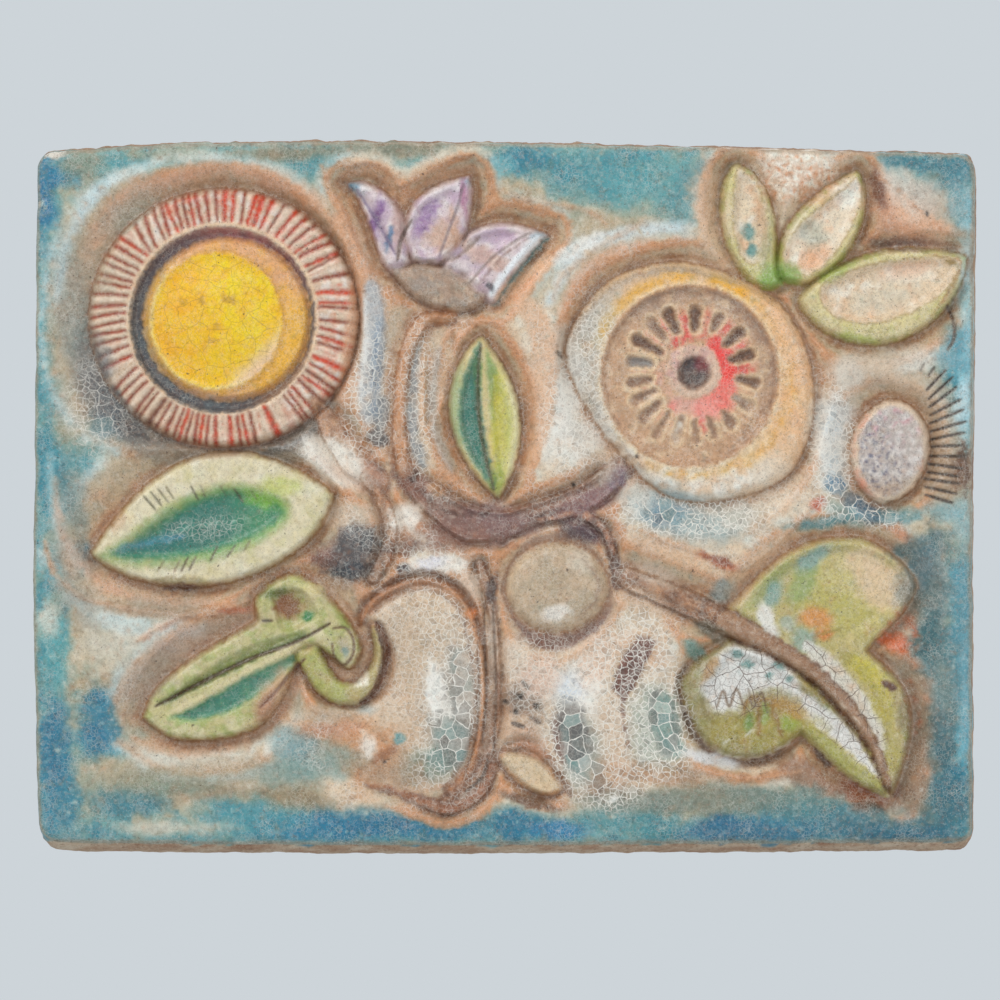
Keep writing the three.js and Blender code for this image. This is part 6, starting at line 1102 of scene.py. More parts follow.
# ---- ridges between the hollows: rust and orange where the glaze runs thin ----
RIDGE_AT = RIDGE * OUTSIDE
paint("#c4997a", RIDGE_AT * ramp(N3, -1.0, 0.1), 0.7)
paint("#96694c", RIDGE_AT * ramp(N6 + 0.4 * N3, 0.05, 0.45), 0.6)
line("#a8563c", [(81.5, -25.1), (89.6, -27.7), (97.7, -29.8)], 1.3, 0.75, 0.9, 0.4)
patch("#b4563c", (132.5, -2.6), 3.6, 2.6, 20, 0.8, rag=0.5, size=3, seed=301)
patch("#b4583f", (-113, -48.1), 8, 1.6, 4, 0.5, rag=0.6, size=3, seed=302)
line("#c9a193", [(-155.5, -60.8), (-142.8, -54), (-130, -48.9)], 1.6, 0.5, 0.9, 0.5)

# ---- middle of the plaque: dark wash over the branches, white patches among them ----
OPEN = OUTSIDE * 1.0
patch("#8a6b62", (-15.1, -12.8), 24, 9, 6, 0.85, soft=0.5, rag=0.5, size=8, seed=310, within=OPEN)
patch("#7c6260", (-2.3, -9.8), 15, 5.5, -12, 0.7, soft=0.5, rag=0.6, size=5, seed=311, within=OPEN)
patch("#87696a", (35.1, -2.1), 14, 5.4, 24, 0.85, soft=0.5, rag=0.4, size=6, seed=312, within=OPEN)
patch("#6f6070", (46.6, 8.1), 5.5, 4.4, 50, 0.8, soft=0.5, rag=0.4, size=4, seed=313, within=OPEN)
patch("#5b4a50", (33, -14.9), 8.5, 3.4, -24, 0.85, soft=0.4, rag=0.4, size=4, seed=314, within=OPEN)
patch("#7a5548", (-38.5, 4.3), 8, 5, -40, 0.8, soft=0.5, rag=0.7, size=4, seed=315, within=OPEN)
patch("#46312b", (-40.2, 9.8), 4.4, 2.2, -60, 0.8, rag=0.8, size=2.5, seed=316, within=OPEN)
line("#4b362f", [(-37.2, 4.7), (-31.3, -1.3), (-24.5, -6), (-15.1, -8.5), (-7.4, -6.8)], 1.2, 0.8, 0.8, 0.5)
line("#5a4238", [(-56.8, 19.1), (-52.5, 11.5), (-43.2, 8.9)], 1.2, 0.7, 0.6, 0.5)
patch("#c99e78", (-29.6, 3), 4, 2.4, -30, 0.8, rag=0.4, size=3, seed=317, within=OPEN)
patch("#a98372", (-56.8, 9.8), 9, 4, -50, 0.6, rag=0.6, size=5, seed=318, within=OPEN)
line("#c08a64", [(-81.5, 37.9), (-74.7, 24.3), (-67.9, 12.3), (-61.9, 3)], 1.0, 0.85, 0.9, 0.4)
line("#bb835d", [(-71.3, 37.9), (-65.3, 26), (-57.7, 17.4), (-45.7, 14.9)], 1.0, 0.85, 0.9, 0.4)
line("#b47a58", [(-55.1, 3), (-49.1, -6.4), (-46.6, -17.4), (-50, -29.4)], 1.2, 0.8, 0.9, 0.5)
line("#b9805c", [(45.3, -18.3), (47, -6.4), (53.8, 6.4), (57.2, 12.3)], 0.9, 0.8, 0.9, 0.4)
line("#bb8360", [(14.7, -9.8), (31.7, -7.2), (41.9, -13.2), (45.7, -23.4)], 1.1, 0.8, 0.9, 0.4)
line("#8a5e46", [(-2.3, -6.4), (14.7, -4.7), (31.7, 2.1), (41.9, 9.8)], 1.0, 0.8, 0.9, 0.4)
patch("#e6ded2", (-72.5, 14.9), 15, 8.5, -36, 0.95, soft=0.25, rag=0.25, size=7, seed=320, within=OPEN)
patch("#d8c4b4", (-67.9, 8.9), 12, 3.4, -30, 0.6, soft=0.5, rag=0.5, size=5, seed=321, within=OPEN)
patch("#e9e2d8", (-42.3, -8.5), 7.5, 6, 30, 0.9, soft=0.4, rag=0.7, size=4, seed=322, within=OPEN)
patch("#ece5dc", (-29.6, -28.9), 14, 4, 6, 0.9, soft=0.45, rag=0.6, size=4, seed=323, within=OPEN)
patch("#dcd9e2", (-31.3, -28.1), 6, 2.6, 10, 0.7, soft=0.5, rag=0.6, size=4, seed=324, within=OPEN)
patch("#d9cabb", (-15.1, -37.4), 5, 7, 30, 0.7, soft=0.5, rag=0.7, size=4, seed=325, within=OPEN)
patch("#e4d9cb", (-5.7, -60.8), 2.4, 16, 0, 0.6, soft=0.5, rag=0.6, size=4, seed=326, within=OPEN)
patch("#c9b5a0", (-66.2, -7.7), 12, 5, 0, 0.9, soft=0.4, rag=0.4, size=6, seed=330, within=OPEN)
patch("#57504f", (-65.3, -24.7), 12, 10, 24, 0.85, soft=0.5, rag=0.7, size=5, seed=331, within=OPEN)
patch("#333a42", (-67, -31.5), 7, 4, 20, 0.75, soft=0.5, rag=0.9, size=3, seed=332, within=OPEN)
patch("#3a3f45", (-56.8, -18.3), 5, 4.5, 0, 0.7, soft=0.5, rag=0.9, size=3, seed=333, within=OPEN)
patch("#6b4a44", (-76.8, -26), 6, 5, 0, 0.6, soft=0.5, rag=0.8, size=3, seed=334, within=OPEN)
patch("#5a4742", (-43.2, -21.7), 9, 3, 8, 0.6, soft=0.5, rag=1.0, size=2.5, seed=335, within=OPEN)
patch("#2f2d33", (-43.6, -30.2), 3, 2, 0, 0.8, soft=0.5, rag=1.0, size=2, seed=336, within=OPEN)
patch("#4a3c3a", (-5.7, -39.6), 2.6, 6, -10, 0.8, soft=0.4, rag=0.8, size=2.5, seed=337, within=OPEN)
patch("#9b7a68", (-74.7, -37.4), 10, 3.4, -4, 0.8, soft=0.5, rag=0.5, size=4, seed=338, within=OPEN)

# ---- to the right of the trunk: rust and black crumbs ----
patch("#8a6550", (6.6, -86.4), 9, 19, 4, 0.85, soft=0.5, rag=0.7, size=5, seed=340, within=OPEN)
patch("#5f4032", (7, -83.8), 7, 10, 0, 0.75, soft=0.5, rag=1.0, size=3, seed=341, within=OPEN)
patch("#2e2420", (7, -85.1), 6, 4, -20, 0.9, soft=0.4, rag=1.2, size=2.4, seed=342, within=OPEN)
patch("#33271f", (12.6, -88.1), 3, 2.6, 0, 0.85, soft=0.4, rag=1.0, size=2.0, seed=343, within=OPEN)
patch("#c9a98a", (3.6, -95.7), 6, 3, 10, 0.7, soft=0.5, rag=0.9, size=3, seed=344, within=OPEN)
patch("#b88668", (10.4, -104.2), 12, 5, -30, 0.75, soft=0.5, rag=0.8, size=4, seed=345, within=OPEN)
patch("#d9c8b6", (4, -69.4), 7, 9, 0, 0.8, soft=0.5, rag=0.7, size=5, seed=346, within=OPEN)
patch("#caa98e", (1.1, -101.7), 4, 10, 0, 0.6, soft=0.5, rag=0.8, size=4, seed=347, within=OPEN)

# ---- the arched cushion: rim of two crests, worn away at the lower left ----
d, w, s = stems["arch"]
# dark line in the groove beside the arch's rim: pooled glaze with painted shade
paint("#6e5040", np.exp(-(((d + 1.7 + 0.3 * N3) / 0.9) ** 2)) * ramp(s, 0.02, 0.08) * ramp(N5, -0.9, 0), 0.75)
paint("#c08a62", np.exp(-(((d - w + 0.5 * N6) / 1.0) ** 2)) * ramp(N3, -0.8, 0.1), 0.75)
paint("#8b5f45", np.exp(-(((d - 0.2) / 0.6) ** 2)) * ramp(N6, -0.5, 0.2), 0.6)
patch("#d08d5e", (-14.3, -49.4), 2.2, 2.4, 0, 0.9, rag=0.3, size=2, seed=350)
inner = ramp(IN["lobe"], 1.0, 2.6) * ramp(-d, -0.5, 1.0)
patch("#c9b49c", (-36.4, -60.8), 18, 22, 0, 0.5, rag=0.4, seed=351, within=inner)
patch("#bda58c", (-42.8, -65.1), 8, 20, 10, 0.6, rag=0.6, seed=352, within=inner)
patch("#b6ada2", (-20.2, -80.4), 6.5, 18, 4, 0.85, soft=0.3, rag=0.3, size=6, seed=353, within=inner)
patch("#9a978f", (-22.8, -101.3), 9, 14, 24, 0.8, soft=0.35, rag=0.4, size=6, seed=354, within=inner)
patch("#ebe6de", (-29.6, -82.1), 4.0, 12, 6, 0.95, soft=0.3, rag=0.45, size=5, seed=355, within=inner)
patch("#e6e0d6", (-22.8, -88.9), 7, 4, -20, 0.8, soft=0.4, rag=0.5, size=4, seed=356, within=inner)
patch("#7f9890", (-32.1, -112.8), 13, 7, 14, 0.8, soft=0.5, rag=0.5, size=6, seed=357)
patch("#c08c66", (-66.2, -104.2), 22, 12, -12, 0.75, soft=0.5, rag=0.7, size=8, seed=358, within=OPEN * 0 + ramp(-Z - 90, -8, 6))
patch("#a88a70", (-45.7, -116.2), 16, 7, -6, 0.7, soft=0.5, rag=0.7, size=6, seed=359)
patch("#7f9a96", (-79.8, -112.8), 16, 8, 8, 0.75, soft=0.5, rag=0.7, size=8, seed=360)
patch("#6f9298", (-89.1, -104.2), 12, 6, 0, 0.7, soft=0.5, rag=0.7, size=8, seed=361)
patch("#b98a70", (-74.7, -98.3), 12, 3, 6, 0.7, soft=0.5, rag=0.7, size=5, seed=362)
patch("#e9e3da", (-58.1, -105.5), 3.4, 5.4, 14, 0.8, soft=0.5, rag=0.8, size=3, seed=363)
patch("#6f9a9a", (-44.9, -102.1), 2.0, 2.2, 0, 0.8, rag=0.9, size=2, seed=364)
patch("#8a5f48", (-50.8, -108.5), 6, 2.4, 30, 0.5, rag=0.8, size=3, seed=365)
line("#8a573c", [(-57.7, -121.7), (-48.3, -123.4), (-39.8, -126.4), (-32.1, -129.8)], 1.1, 0.8, 0.8, 0.5)
d, w, s = stems["root"]
paint("#b0714e", ramp(d, -0.4, 1.4) * ramp(N6 + 0.3 * N3, -0.1, 0.3) * ramp(X + 26, -8, 6), 0.65)

# ---- cream ground at the right of the trunk with its pooled cells ----
here = ramp(np.maximum(FOOT, -IN["lobe"]), 0, 0.5)
for key in ("bud", "cup", "lozenge", "leaf_base", "leaf_low", "leaf_up", "lobe"):
    here = here * (1 - ramp(IN[key], -0.6, 0.2))
for key in STEMS:
    here = here * (1 - ramp(stems[key][0], -0.4, 0.4))
here = blur(here, 0.5)
patch("#d9c7b2", (31.7, -82.1), 40, 36, 0, 0.5, soft=0.4, rag=0.3, size=12, seed=370, within=here)
patch("#e9e3da", (30, -82.1), 11, 11, 0, 0.95, soft=0.4, rag=0.45, size=6, seed=371, within=here)
patch("#d4dbe2", (27.4, -81.3), 6, 6, 0, 0.7, soft=0.5, rag=0.6, size=4, seed=372, within=here)
patch("#d8bcaa", (14.7, -76.2), 8, 10, -20, 0.8, soft=0.5, rag=0.5, size=5, seed=373, within=here)
patch("#dcc0ac", (38.5, -69.4), 7, 12, -24, 0.7, soft=0.5, rag=0.5, size=5, seed=374, within=here)
patch("#8c8a86", (28.3, -101.3), 6.5, 16, 14, 0.9, soft=0.3, rag=0.35, size=5, seed=375, within=here)
patch("#6a6360", (28.7, -95.7), 4.4, 6, 0, 0.8, soft=0.3, rag=0.4, size=4, seed=376, within=here)
patch("#8fa3a0", (36, -109.8), 8, 12, 16, 0.85, soft=0.4, rag=0.4, size=5, seed=377, within=here)
patch("#6a4a40", (22.3, -102.5), 2.2, 10, 10, 0.75, soft=0.4, rag=0.6, size=2, seed=378, within=here)
patch("#a9b3a8", (61.5, -98.3), 11, 18, 10, 0.75, soft=0.4, rag=0.4, size=6, seed=379, within=here)
patch("#7fa39a", (67.4, -94), 5, 12, 12, 0.8, soft=0.4, rag=0.4, size=4, seed=380, within=here)
patch("#88a29a", (70.8, -105.5), 5, 6, 30, 0.75, soft=0.4, rag=0.4, size=4, seed=381, within=here)
patch("#c9a58a", (57.2, -64.3), 12, 6, -20, 0.7, soft=0.5, rag=0.5, size=6, seed=382, within=here)
patch("#cdb59e", (44.5, -101.3), 9, 16, 0, 0.7, soft=0.5, rag=0.5, size=6, seed=383, within=here)
patch("#c29a7c", (43.6, -118.7), 10, 9, 10, 0.7, soft=0.5, rag=0.6, size=5, seed=384, within=here)
patch("#9a7a64", (45.3, -126.8), 14, 4, 4, 0.75, soft=0.5, rag=0.7, size=5, seed=385, within=here)
patch("#a98468", (67.9, -118.3), 18, 4, -8, 0.75, soft=0.5, rag=0.6, size=5, seed=386, within=here)
patch("#7a8a84", (57.2, -128.9), 26, 5, 0, 0.7, soft=0.5, rag=0.6, size=7, seed=387, within=here)
d = ramp(IN["lozenge"], -0.6, 0.6)
paint("#6b4a42", d, 0.95)
paint("#8e6a5c", d * ramp(N6 + 0.3 * N4, 0.0, 0.4), 0.7)
paint("#3e2b28", d * ramp(-N6 + 0.3 * N4, 0.1, 0.5), 0.6)
line("#6b463c", [(49.6, -83), (50, -92.8), (51.3, -102.5), (52.1, -108.5)], 0.9, 0.9, 0.6, 0.4)
line("#e6d3c6", [(48.3, -86.4), (48.7, -95.7), (49.6, -104.2)], 0.8, 0.5, 0.9, 0.5)
patch("#3a4250", (55.5, -112.8), 2, 1, 0, 0.0)
# painted glint: a small white fleck of reflected light
patch("#f1eee8", (45.3, -128.1), 3, 1, 30, 0.8, rag=0.8, size=2, seed=390)

# ---- ground round the three leaves ----
GROUND = ramp(FOOT, 0.6, 2.0)
for k, (colour, centre, rx, rz, turn, amount) in enumerate((
    ("#d9c3aa", (87.9, 117), 9, 20, 6, 0.7), ("#c9a488", (85.3, 128.1), 6, 14, 0, 0.6), ("#e3d9ca", (123.2, 138.3), 18, 9, 0, 0.85), ("#d0a285", (125.3, 132.3), 16, 9, 0, 0.5), ("#dfd3c2", (118.5, 121.3), 7, 12, 10, 0.7),
    ("#a88a76", (161.1, 123), 7, 13, 24, 0.85), ("#cf9e80", (170, 118.7), 17, 9, -24, 0.85), ("#d9b69c", (178.5, 115.3), 14, 5, -30, 0.6), ("#d8ccc0", (170, 129.8), 14, 7, -24, 0.75), ("#b8aea2", (180.6, 126.4), 12, 6, -30, 0.6),
    ("#8d7468", (170, 107.2), 18, 3, -3, 0.8), ("#6b5a54", (167, 106.4), 12, 1.8, -3, 0.7), ("#7fa0a6", (192.5, 124.2), 6, 12, 0, 0.7), ("#d4cdc2", (167.9, 57.4), 22, 6, 6, 0.8), ("#c0ab96", (151.7, 55.7), 16, 5, 4, 0.8), ("#b09a86", (159.3, 48.9), 20, 3.4, 4, 0.6),
    ("#cfc6ba", (144.9, 53.2), 7, 9, -40, 0.7), ("#8cb6be", (196.4, 83.8), 4, 34, 0, 0.8), ("#5b8f9c", (190, 66.8), 5, 6, 0, 0.7), ("#d9d6cf", (194.2, 100.8), 3, 10, 0, 0.6), ("#6f9aa4", (188.3, 57.4), 7, 4, -20, 0.8), ("#5e8894", (82.8, 83.8), 0.1, 0.1, 0, 0.0),
)):
    patch(colour, centre, rx, rz, turn, amount, soft=0.5, rag=0.6, size=6, seed=500 + k, within=GROUND)
paint("#c98f6c", blob((123.2, 135.7), 19, 11, 0, 0.4, 0.4, 6, 530) * GROUND * ramp(cloud(X, Z, 2.4, 3, 531) - 0.05, 0, 0.2), 0.8)
paint("#f0e9de", blob((124.5, 136.6), 19, 11, 0, 0.4, 0.4, 6, 532) * GROUND * ramp(-cloud(X, Z, 2.2, 3, 533) - 0.02, 0, 0.2), 0.85)
patch("#6f4d40", (157.6, 130.6), 2.6, 8, 14, 0.8, soft=0.5, rag=0.6, size=4, seed=534)
line("#b07a58", [(155.1, 136.6), (162.8, 132.3), (172.1, 123.8), (183.2, 114.5), (192.5, 106.8)], 0.7, 0.7, 0.8, 0.4)
for name in ("leaf_a", "leaf_b", "leaf_c"):
    edge_line = np.exp(-(((DEEP[name, 0] + 0.4 + 0.2 * N6) / 0.45) ** 2)) * ramp(IN[name], 0.4, 1)
    paint("#9a8258", edge_line * ramp(N3, -0.8, 0.0), 0.7)
    paint("#94a056", ramp(IN[name], 0, 0.5) * np.exp(-(((IN[name] - 0.9) / 0.7) ** 2)) * ramp(N5 + 0.3 * N3, -0.1, 0.3), 0.7)
patch("#88a25c", (115.1, 90.6), 7, 7, 0, 0.75, soft=0.5, rag=0.5, size=4, seed=540, within=ramp(IN["leaf_a"], 0, 1) + ramp(IN["leaf_b"], 0, 1))
patch("#8a8f6a", (110, 105.1), 2.4, 9, -8, 0.5, soft=0.5, rag=0.6, size=4, seed=541, within=ramp(IN["leaf_a"], 0, 1))
patch("#c8a889", (109.1, 118.7), 3, 12, -6, 0.6, soft=0.5, rag=0.6, size=4, seed=542, within=ramp(DEEP["leaf_a", 0], 0, 1))
patch("#a9ab9c", (130.4, 111.1), 5, 7, 40, 0.6, soft=0.5, rag=0.6, size=4, seed=543, within=ramp(DEEP["leaf_b", 0], 0, 1))
patch("#cfc3ae", (159.3, 83.8), 16, 6, 8, 0.7, soft=0.5, rag=0.6, size=5, seed=544, within=ramp(DEEP["leaf_c", 0], 0, 1))
patch("#d3a98c", (170, 96.6), 10, 4, 8, 0.6, soft=0.5, rag=0.6, size=5, seed=545, within=ramp(DEEP["leaf_c", 0], 0, 1))
paint("#a77f58", np.exp(-(((IN["leaf_c"] - 2.8) / 0.4) ** 2)) * ramp(X - 180, -2, 4) * ramp(IN["leaf_c"], 0, 1), 0.8)

# ---- ring of the large flower ----
ring_of = ramp(IN["flower"], 0, 1) * ramp(-FL_RIM, 0, 1)
paint("#dfb491", ring_of * around(5, 42, 14) * ramp(N5 + 0.4 * N3, -0.5, 0.3), 0.75)
paint("#e6d3bd", ring_of * around(345, 44, 14) * ramp(N3 + 0.3 * N6 - 0.05, 0, 0.35), 0.7)
paint("#eae4da", ring_of * around(262, 40, 12) * ramp(N3 + 0.3 * N6, -0.1, 0.3), 0.75)
paint("#d8a04e", ring_of * np.exp(-(((FL_RIM + 6.5 + 1.5 * N3) / 1.8) ** 2)) * around(330, 34, 10) * ramp(N6, -0.4, 0.3), 0.7)
paint("#d3a25a", ring_of * np.exp(-(((FL_RIM + 3.5 + 1.5 * N3) / 1.6) ** 2)) * around(272, 30, 10) * ramp(N6, -0.3, 0.3), 0.75)
paint("#b5b2aa", ring_of * around(180, 34, 12) * ramp(N5, -0.3, 0.3), 0.7)
paint("#9a8a7a", ring_of * np.exp(-(((IN["flower"] - 3.0) / 1.2) ** 2)) * around(150, 60, 14) * ramp(N3, -0.5, 0.2), 0.6)
paint("#a07a5c", np.exp(-(((FL_RIM - 0.2 + 0.3 * N6) / 0.6) ** 2)) * ramp(N3, -0.9, 0), 0.75)
# painted highlight: pale line on the outer flank of the rim
paint("#e3cba6", np.exp(-(((FL_RIM + 1.0 + 0.3 * N6) / 0.5) ** 2)) * ramp(N3, -0.4, 0.2), 0.7)
inside = ramp(FL_RIM, 1.0, 2.2) * ramp(FL_R - 26, 0, 2)
paint("#b08f74", inside * ramp(N5 + 0.5 * N3, -0.3, 0.3), 0.7)
paint("#8e7260", inside * np.exp(-(((FL_RIM - 3.4 + N6) / 1.4) ** 2)) * around(30, 90, 20) * ramp(N3, -0.4, 0.2), 0.6)
paint("#dcc5a8", inside * ramp(cloud(X, Z, 5, 4, 550) - 0.05, 0, 0.3), 0.6)
hub = ramp(FL_HUB, 0, 1.0) * ramp(-FL_HOLE, -1.5, 0.6)
paint("#d6b7a4", hub, 0.7)
paint("#b98f8c", hub * ramp(N6 + 0.2, -0.1, 0.4) * around(120, 90, 20), 0.6)
pit = ramp(FL_HOLE, -1.4, 3.2)
paint("#75655e", pit * ramp(N6 + 0.2, -0.3, 0.5), 0.55)

# ---- hollow under and beside the large flower ----
for k, (colour, centre, rx, rz, turn, amount) in enumerate((
    ("#9fb0b4", (69.1, -5.5), 18, 9, -14, 0.85), ("#6f8c9a", (66.6, -7.7), 10, 5.4, -10, 0.8), ("#b3b8b2", (93.4, -10.6), 16, 8, 16, 0.75), ("#8fa1a2", (82.8, -14), 14, 5, 0, 0.6), ("#c9c9c2", (55.5, -1.3), 7, 8, -40, 0.7), ("#d9cbb8", (116.8, 3), 12, 12, 40, 0.6),
    ("#c9a88c", (65.7, -21.7), 16, 4, -16, 0.8), ("#d6b698", (82.8, -27.7), 18, 4, -12, 0.75), ("#d8bca2", (108.3, -24.7), 14, 6, 34, 0.7), ("#cfb29a", (99.8, -39.6), 8, 5, 50, 0.5), ("#d0bfae", (63.6, -33.2), 12, 4, -20, 0.7), ("#c6ab92", (57.2, -43.8), 14, 5, -24, 0.7),
    ("#e0dcd4", (24, 37), 9, 22, -8, 0.9), ("#d6d2cb", (36, 25.1), 7, 12, -30, 0.7), ("#c9c6bf", (23.2, 62.5), 7, 12, 10, 0.6), ("#b0a090", (40.2, 11.5), 8, 6, -30, 0.7),
)):
    patch(colour, centre, rx, rz, turn, amount, soft=0.5, rag=0.5, size=6, seed=560 + k, within=GROUND)
paint("#b4714e", RIDGE * blob((89.6, -27.7), 9, 3.4, -18, 0.3, 0.3, 4, 580), 0.8)
paint("#7d4a38", blob((90, -26.8), 8, 1.6, -20, 0.4, 0.8, 3, 581), 0.8)

# ---- round bud on the right: pale hollow, blue cells below it, comb and brown edge at its right ----
for k, (colour, centre, rx, rz, turn, amount) in enumerate((
    ("#dedbd3", (137.2, 24.3), 8, 18, 6, 0.9), ("#cfd3d2", (139.8, 34.5), 8, 10, -30, 0.7), ("#c3ccce", (138.9, 11.5), 6, 8, 0, 0.6), ("#c4b09a", (170, 48.1), 18, 5, -24, 0.7), ("#b5a08a", (182.3, 24.3), 8, 26, 0, 0.8), ("#a89078", (186.6, 7.2), 8, 12, 0, 0.7),
    ("#4f7790", (139.8, 4.7), 5, 3.6, -20, 0.85), ("#4a6f88", (147.4, -2.6), 5, 4, -20, 0.85), ("#3f6680", (153.4, -7.2), 6, 4, -20, 0.85), ("#4d7c8c", (161.1, -8.5), 7, 3.4, 0, 0.8), ("#7fa0a2", (144.9, -7.7), 9, 5, -20, 0.6), ("#5f9096", (167.9, -8.1), 8, 3, 6, 0.7),
    ("#d0dbdc", (193.4, 37), 4, 12, 0, 0.7), ("#8fb4ba", (196.8, 24.3), 4, 14, 0, 0.7), ("#9ab4b6", (194.2, -9.8), 6, 10, 0, 0.7), ("#7fa8b0", (184.9, -6.4), 8, 4, 0, 0.6),
)):
    patch(colour, centre, rx, rz, turn, amount, soft=0.45, rag=0.5, size=5, seed=590 + k, within=GROUND)
patch("#5d4638", (194.2, 13.2), 3.0, 10, 4, 0.9, soft=0.25, rag=0.9, size=3, seed=610)
patch("#7a5d4a", (191.3, 9.8), 3.6, 8, 0, 0.6, soft=0.5, rag=0.8, size=3, seed=611)
core = ramp(IN["thistle"] + 0.7 * N3, 2.2, 4.2)
paint("#b9aca2", core, 0.75)
paint("#d9d1cb", core * ramp(cloud(X, Z, 3, 3, 612) + 0.02, 0, 0.25), 0.75)
paint("#54566a", core * ramp(cloud(X, Z, 1.8, 3, 613) - 0.10, 0, 0.2) * ramp(-(X - 160) - 0.4 * (Z - 20) + 5, -4, 8), 0.8)
paint("#c9919a", core * ramp(cloud(X, Z, 4, 3, 614) - 0.1, 0, 0.2) * ramp(Z - 22, -4, 8), 0.6)
paint("#a98e78", core * ramp(-(Z - 10) + 3 * N3, 0, 8), 0.6)
# painted highlight: pale line just inside the flower's edge
paint("#dcc6b2", np.exp(-(((IN["thistle"] - 1.6) / 0.9) ** 2)) * ramp(IN["thistle"], 0, 0.6) * ramp(N3, -0.7, 0), 0.7)

# ---- ground right of the large leaf: dark sea green with rust ----
for k, (colour, centre, rx, rz, turn, amount) in enumerate((
    ("#4f6f74", (179.8, -43.8), 8, 26, -6, 0.8), ("#3f6468", (178.9, -60.8), 8, 12, 0, 0.8), ("#5a7a7e", (186.6, -82.1), 8, 24, 0, 0.75), ("#3c5f66", (183.2, -105.5), 6, 14, 0, 0.8), ("#6a8086", (174.7, -31.1), 6, 14, -30, 0.75), ("#4a6a70", (176.4, -20.4), 12, 5, 20, 0.7),
    ("#5d8790", (193.4, -52.3), 5, 30, 0, 0.7), ("#6f9ea8", (195.9, -86.4), 4, 30, 0, 0.7), ("#3d6a74", (184.9, -128.9), 12, 10, 0, 0.85), ("#8a7864", (173, -94.9), 6, 22, 10, 0.75), ("#9a8570", (171.3, -43.8), 5, 12, 10, 0.6), ("#8b7560", (170.4, -124.7), 8, 8, 0, 0.75),
    ("#46707a", (146.6, -139.1), 22, 7, 0, 0.8), ("#5a7c7c", (116.8, -128.9), 22, 6, 0, 0.75), ("#3a6c80", (108.3, -141.7), 26, 4, 0, 0.8), ("#7c8478", (91.3, -126.8), 20, 6, 0, 0.7), ("#2f6474", (170, -142.5), 22, 5, 0, 0.8),
)):
    patch(colour, centre, rx, rz, turn, amount, soft=0.5, rag=0.7, size=6, seed=620 + k, within=GROUND)
paint("#b0623f", blob((169.1, -56.6), 5, 10, 20, 0.4, 0.8, 4, 640) * GROUND * ramp(N6 + 0.1, -0.1, 0.3), 0.8)
paint("#a8664a", blob((173, -91.5), 3.4, 14, 8, 0.4, 0.8, 4, 641) * GROUND * ramp(N6, -0.1, 0.3), 0.6)
paint("#9a7f68", blob((174.2, -116.2), 5, 12, 8, 0.4, 0.8, 4, 642) * GROUND, 0.6)

# ---- tulip: pale petals with a lilac blush ----
for name in ("tulip_left", "tulip_mid", "tulip_right"):
    d = ramp(IN[name], 0.2, 1.0)
    paint("#cdbdbd", d, 0.55)
    paint("#bba3b4", d * ramp(cloud(X, Z, 7, 4, 700), 0.0, 0.35), 0.6)
    paint("#e9e2de", d * ramp(cloud(X, Z, 5, 4, 701), 0.05, 0.35), 0.7)
    paint("#a3857a", np.exp(-(((IN[name] - 0.2) / 0.5) ** 2)), 0.6)
t = ramp(IN["tulip_left"], 0.2, 1)
patch("#7b5a86", (-55.1, 117), 1.8, 9, -22, 0.8, rag=0.6, size=3, seed=702, within=t)
patch("#4f6f8c", (-49.1, 109.4), 1.2, 6, -14, 0.7, rag=0.6, size=3, seed=703, within=t)
patch("#5a7f92", (-65.3, 131.1), 4, 2.6, -24, 0.8, rag=0.6, size=3, seed=704, within=t)
patch("#b5938a", (-45.7, 112.8), 2, 10, 4, 0.6, rag=0.6, size=3, seed=705, within=t)
t = ramp(IN["tulip_mid"], 0.2, 1)
patch("#8a6a94", (-33, 118.7), 3, 8, -30, 0.65, rag=0.8, size=3, seed=706, within=t)
patch("#a06a84", (-17.7, 127.2), 1.6, 9, 4, 0.7, rag=0.6, size=3, seed=707, within=t)
patch("#c2a08c", (-27, 110.2), 7, 6, 0, 0.75, rag=0.6, size=4, seed=708, within=t)
patch("#b78e74", (-21.1, 112.8), 2, 10, 10, 0.6, rag=0.6, size=3, seed=709, within=t)
t = ramp(IN["tulip_right"], 0.2, 1)
patch("#bf9a86", (-8.3, 101.7), 10, 4, -30, 0.6, rag=0.6, size=4, seed=710, within=t)
patch("#b59ab0", (-2.3, 110.2), 8, 3, -4, 0.6, rag=0.7, size=3, seed=711, within=t)
# painted highlight: white line just inside the right petal's lower edge
paint("#e8eaea", stroke([(14.7, 109.4), (7, 102.5), (-0.6, 94), (-6.6, 85.5)], 1.7, 0.8) * t, 0.9)
line("#8a7068", [(9.6, 109.4), (1.9, 104.2), (-5.7, 96.6), (-11.7, 89.8)], 0.7, 0.7, 0.5, 0.3)
patch("#4a4a50", (-6.6, 88.9), 1.4, 2.4, 30, 0.8, rag=0.6, size=2, seed=712)
t = ramp(IN["calyx"], 0, 1)
paint("#a8917e", t, 0.5)
paint("#8e867e", t * ramp(cloud(X, Z, 4, 3, 713), 0.0, 0.3), 0.6)
paint("#c5a98c", t * ramp(-cloud(X, Z, 5, 3, 714), 0.05, 0.4), 0.55)

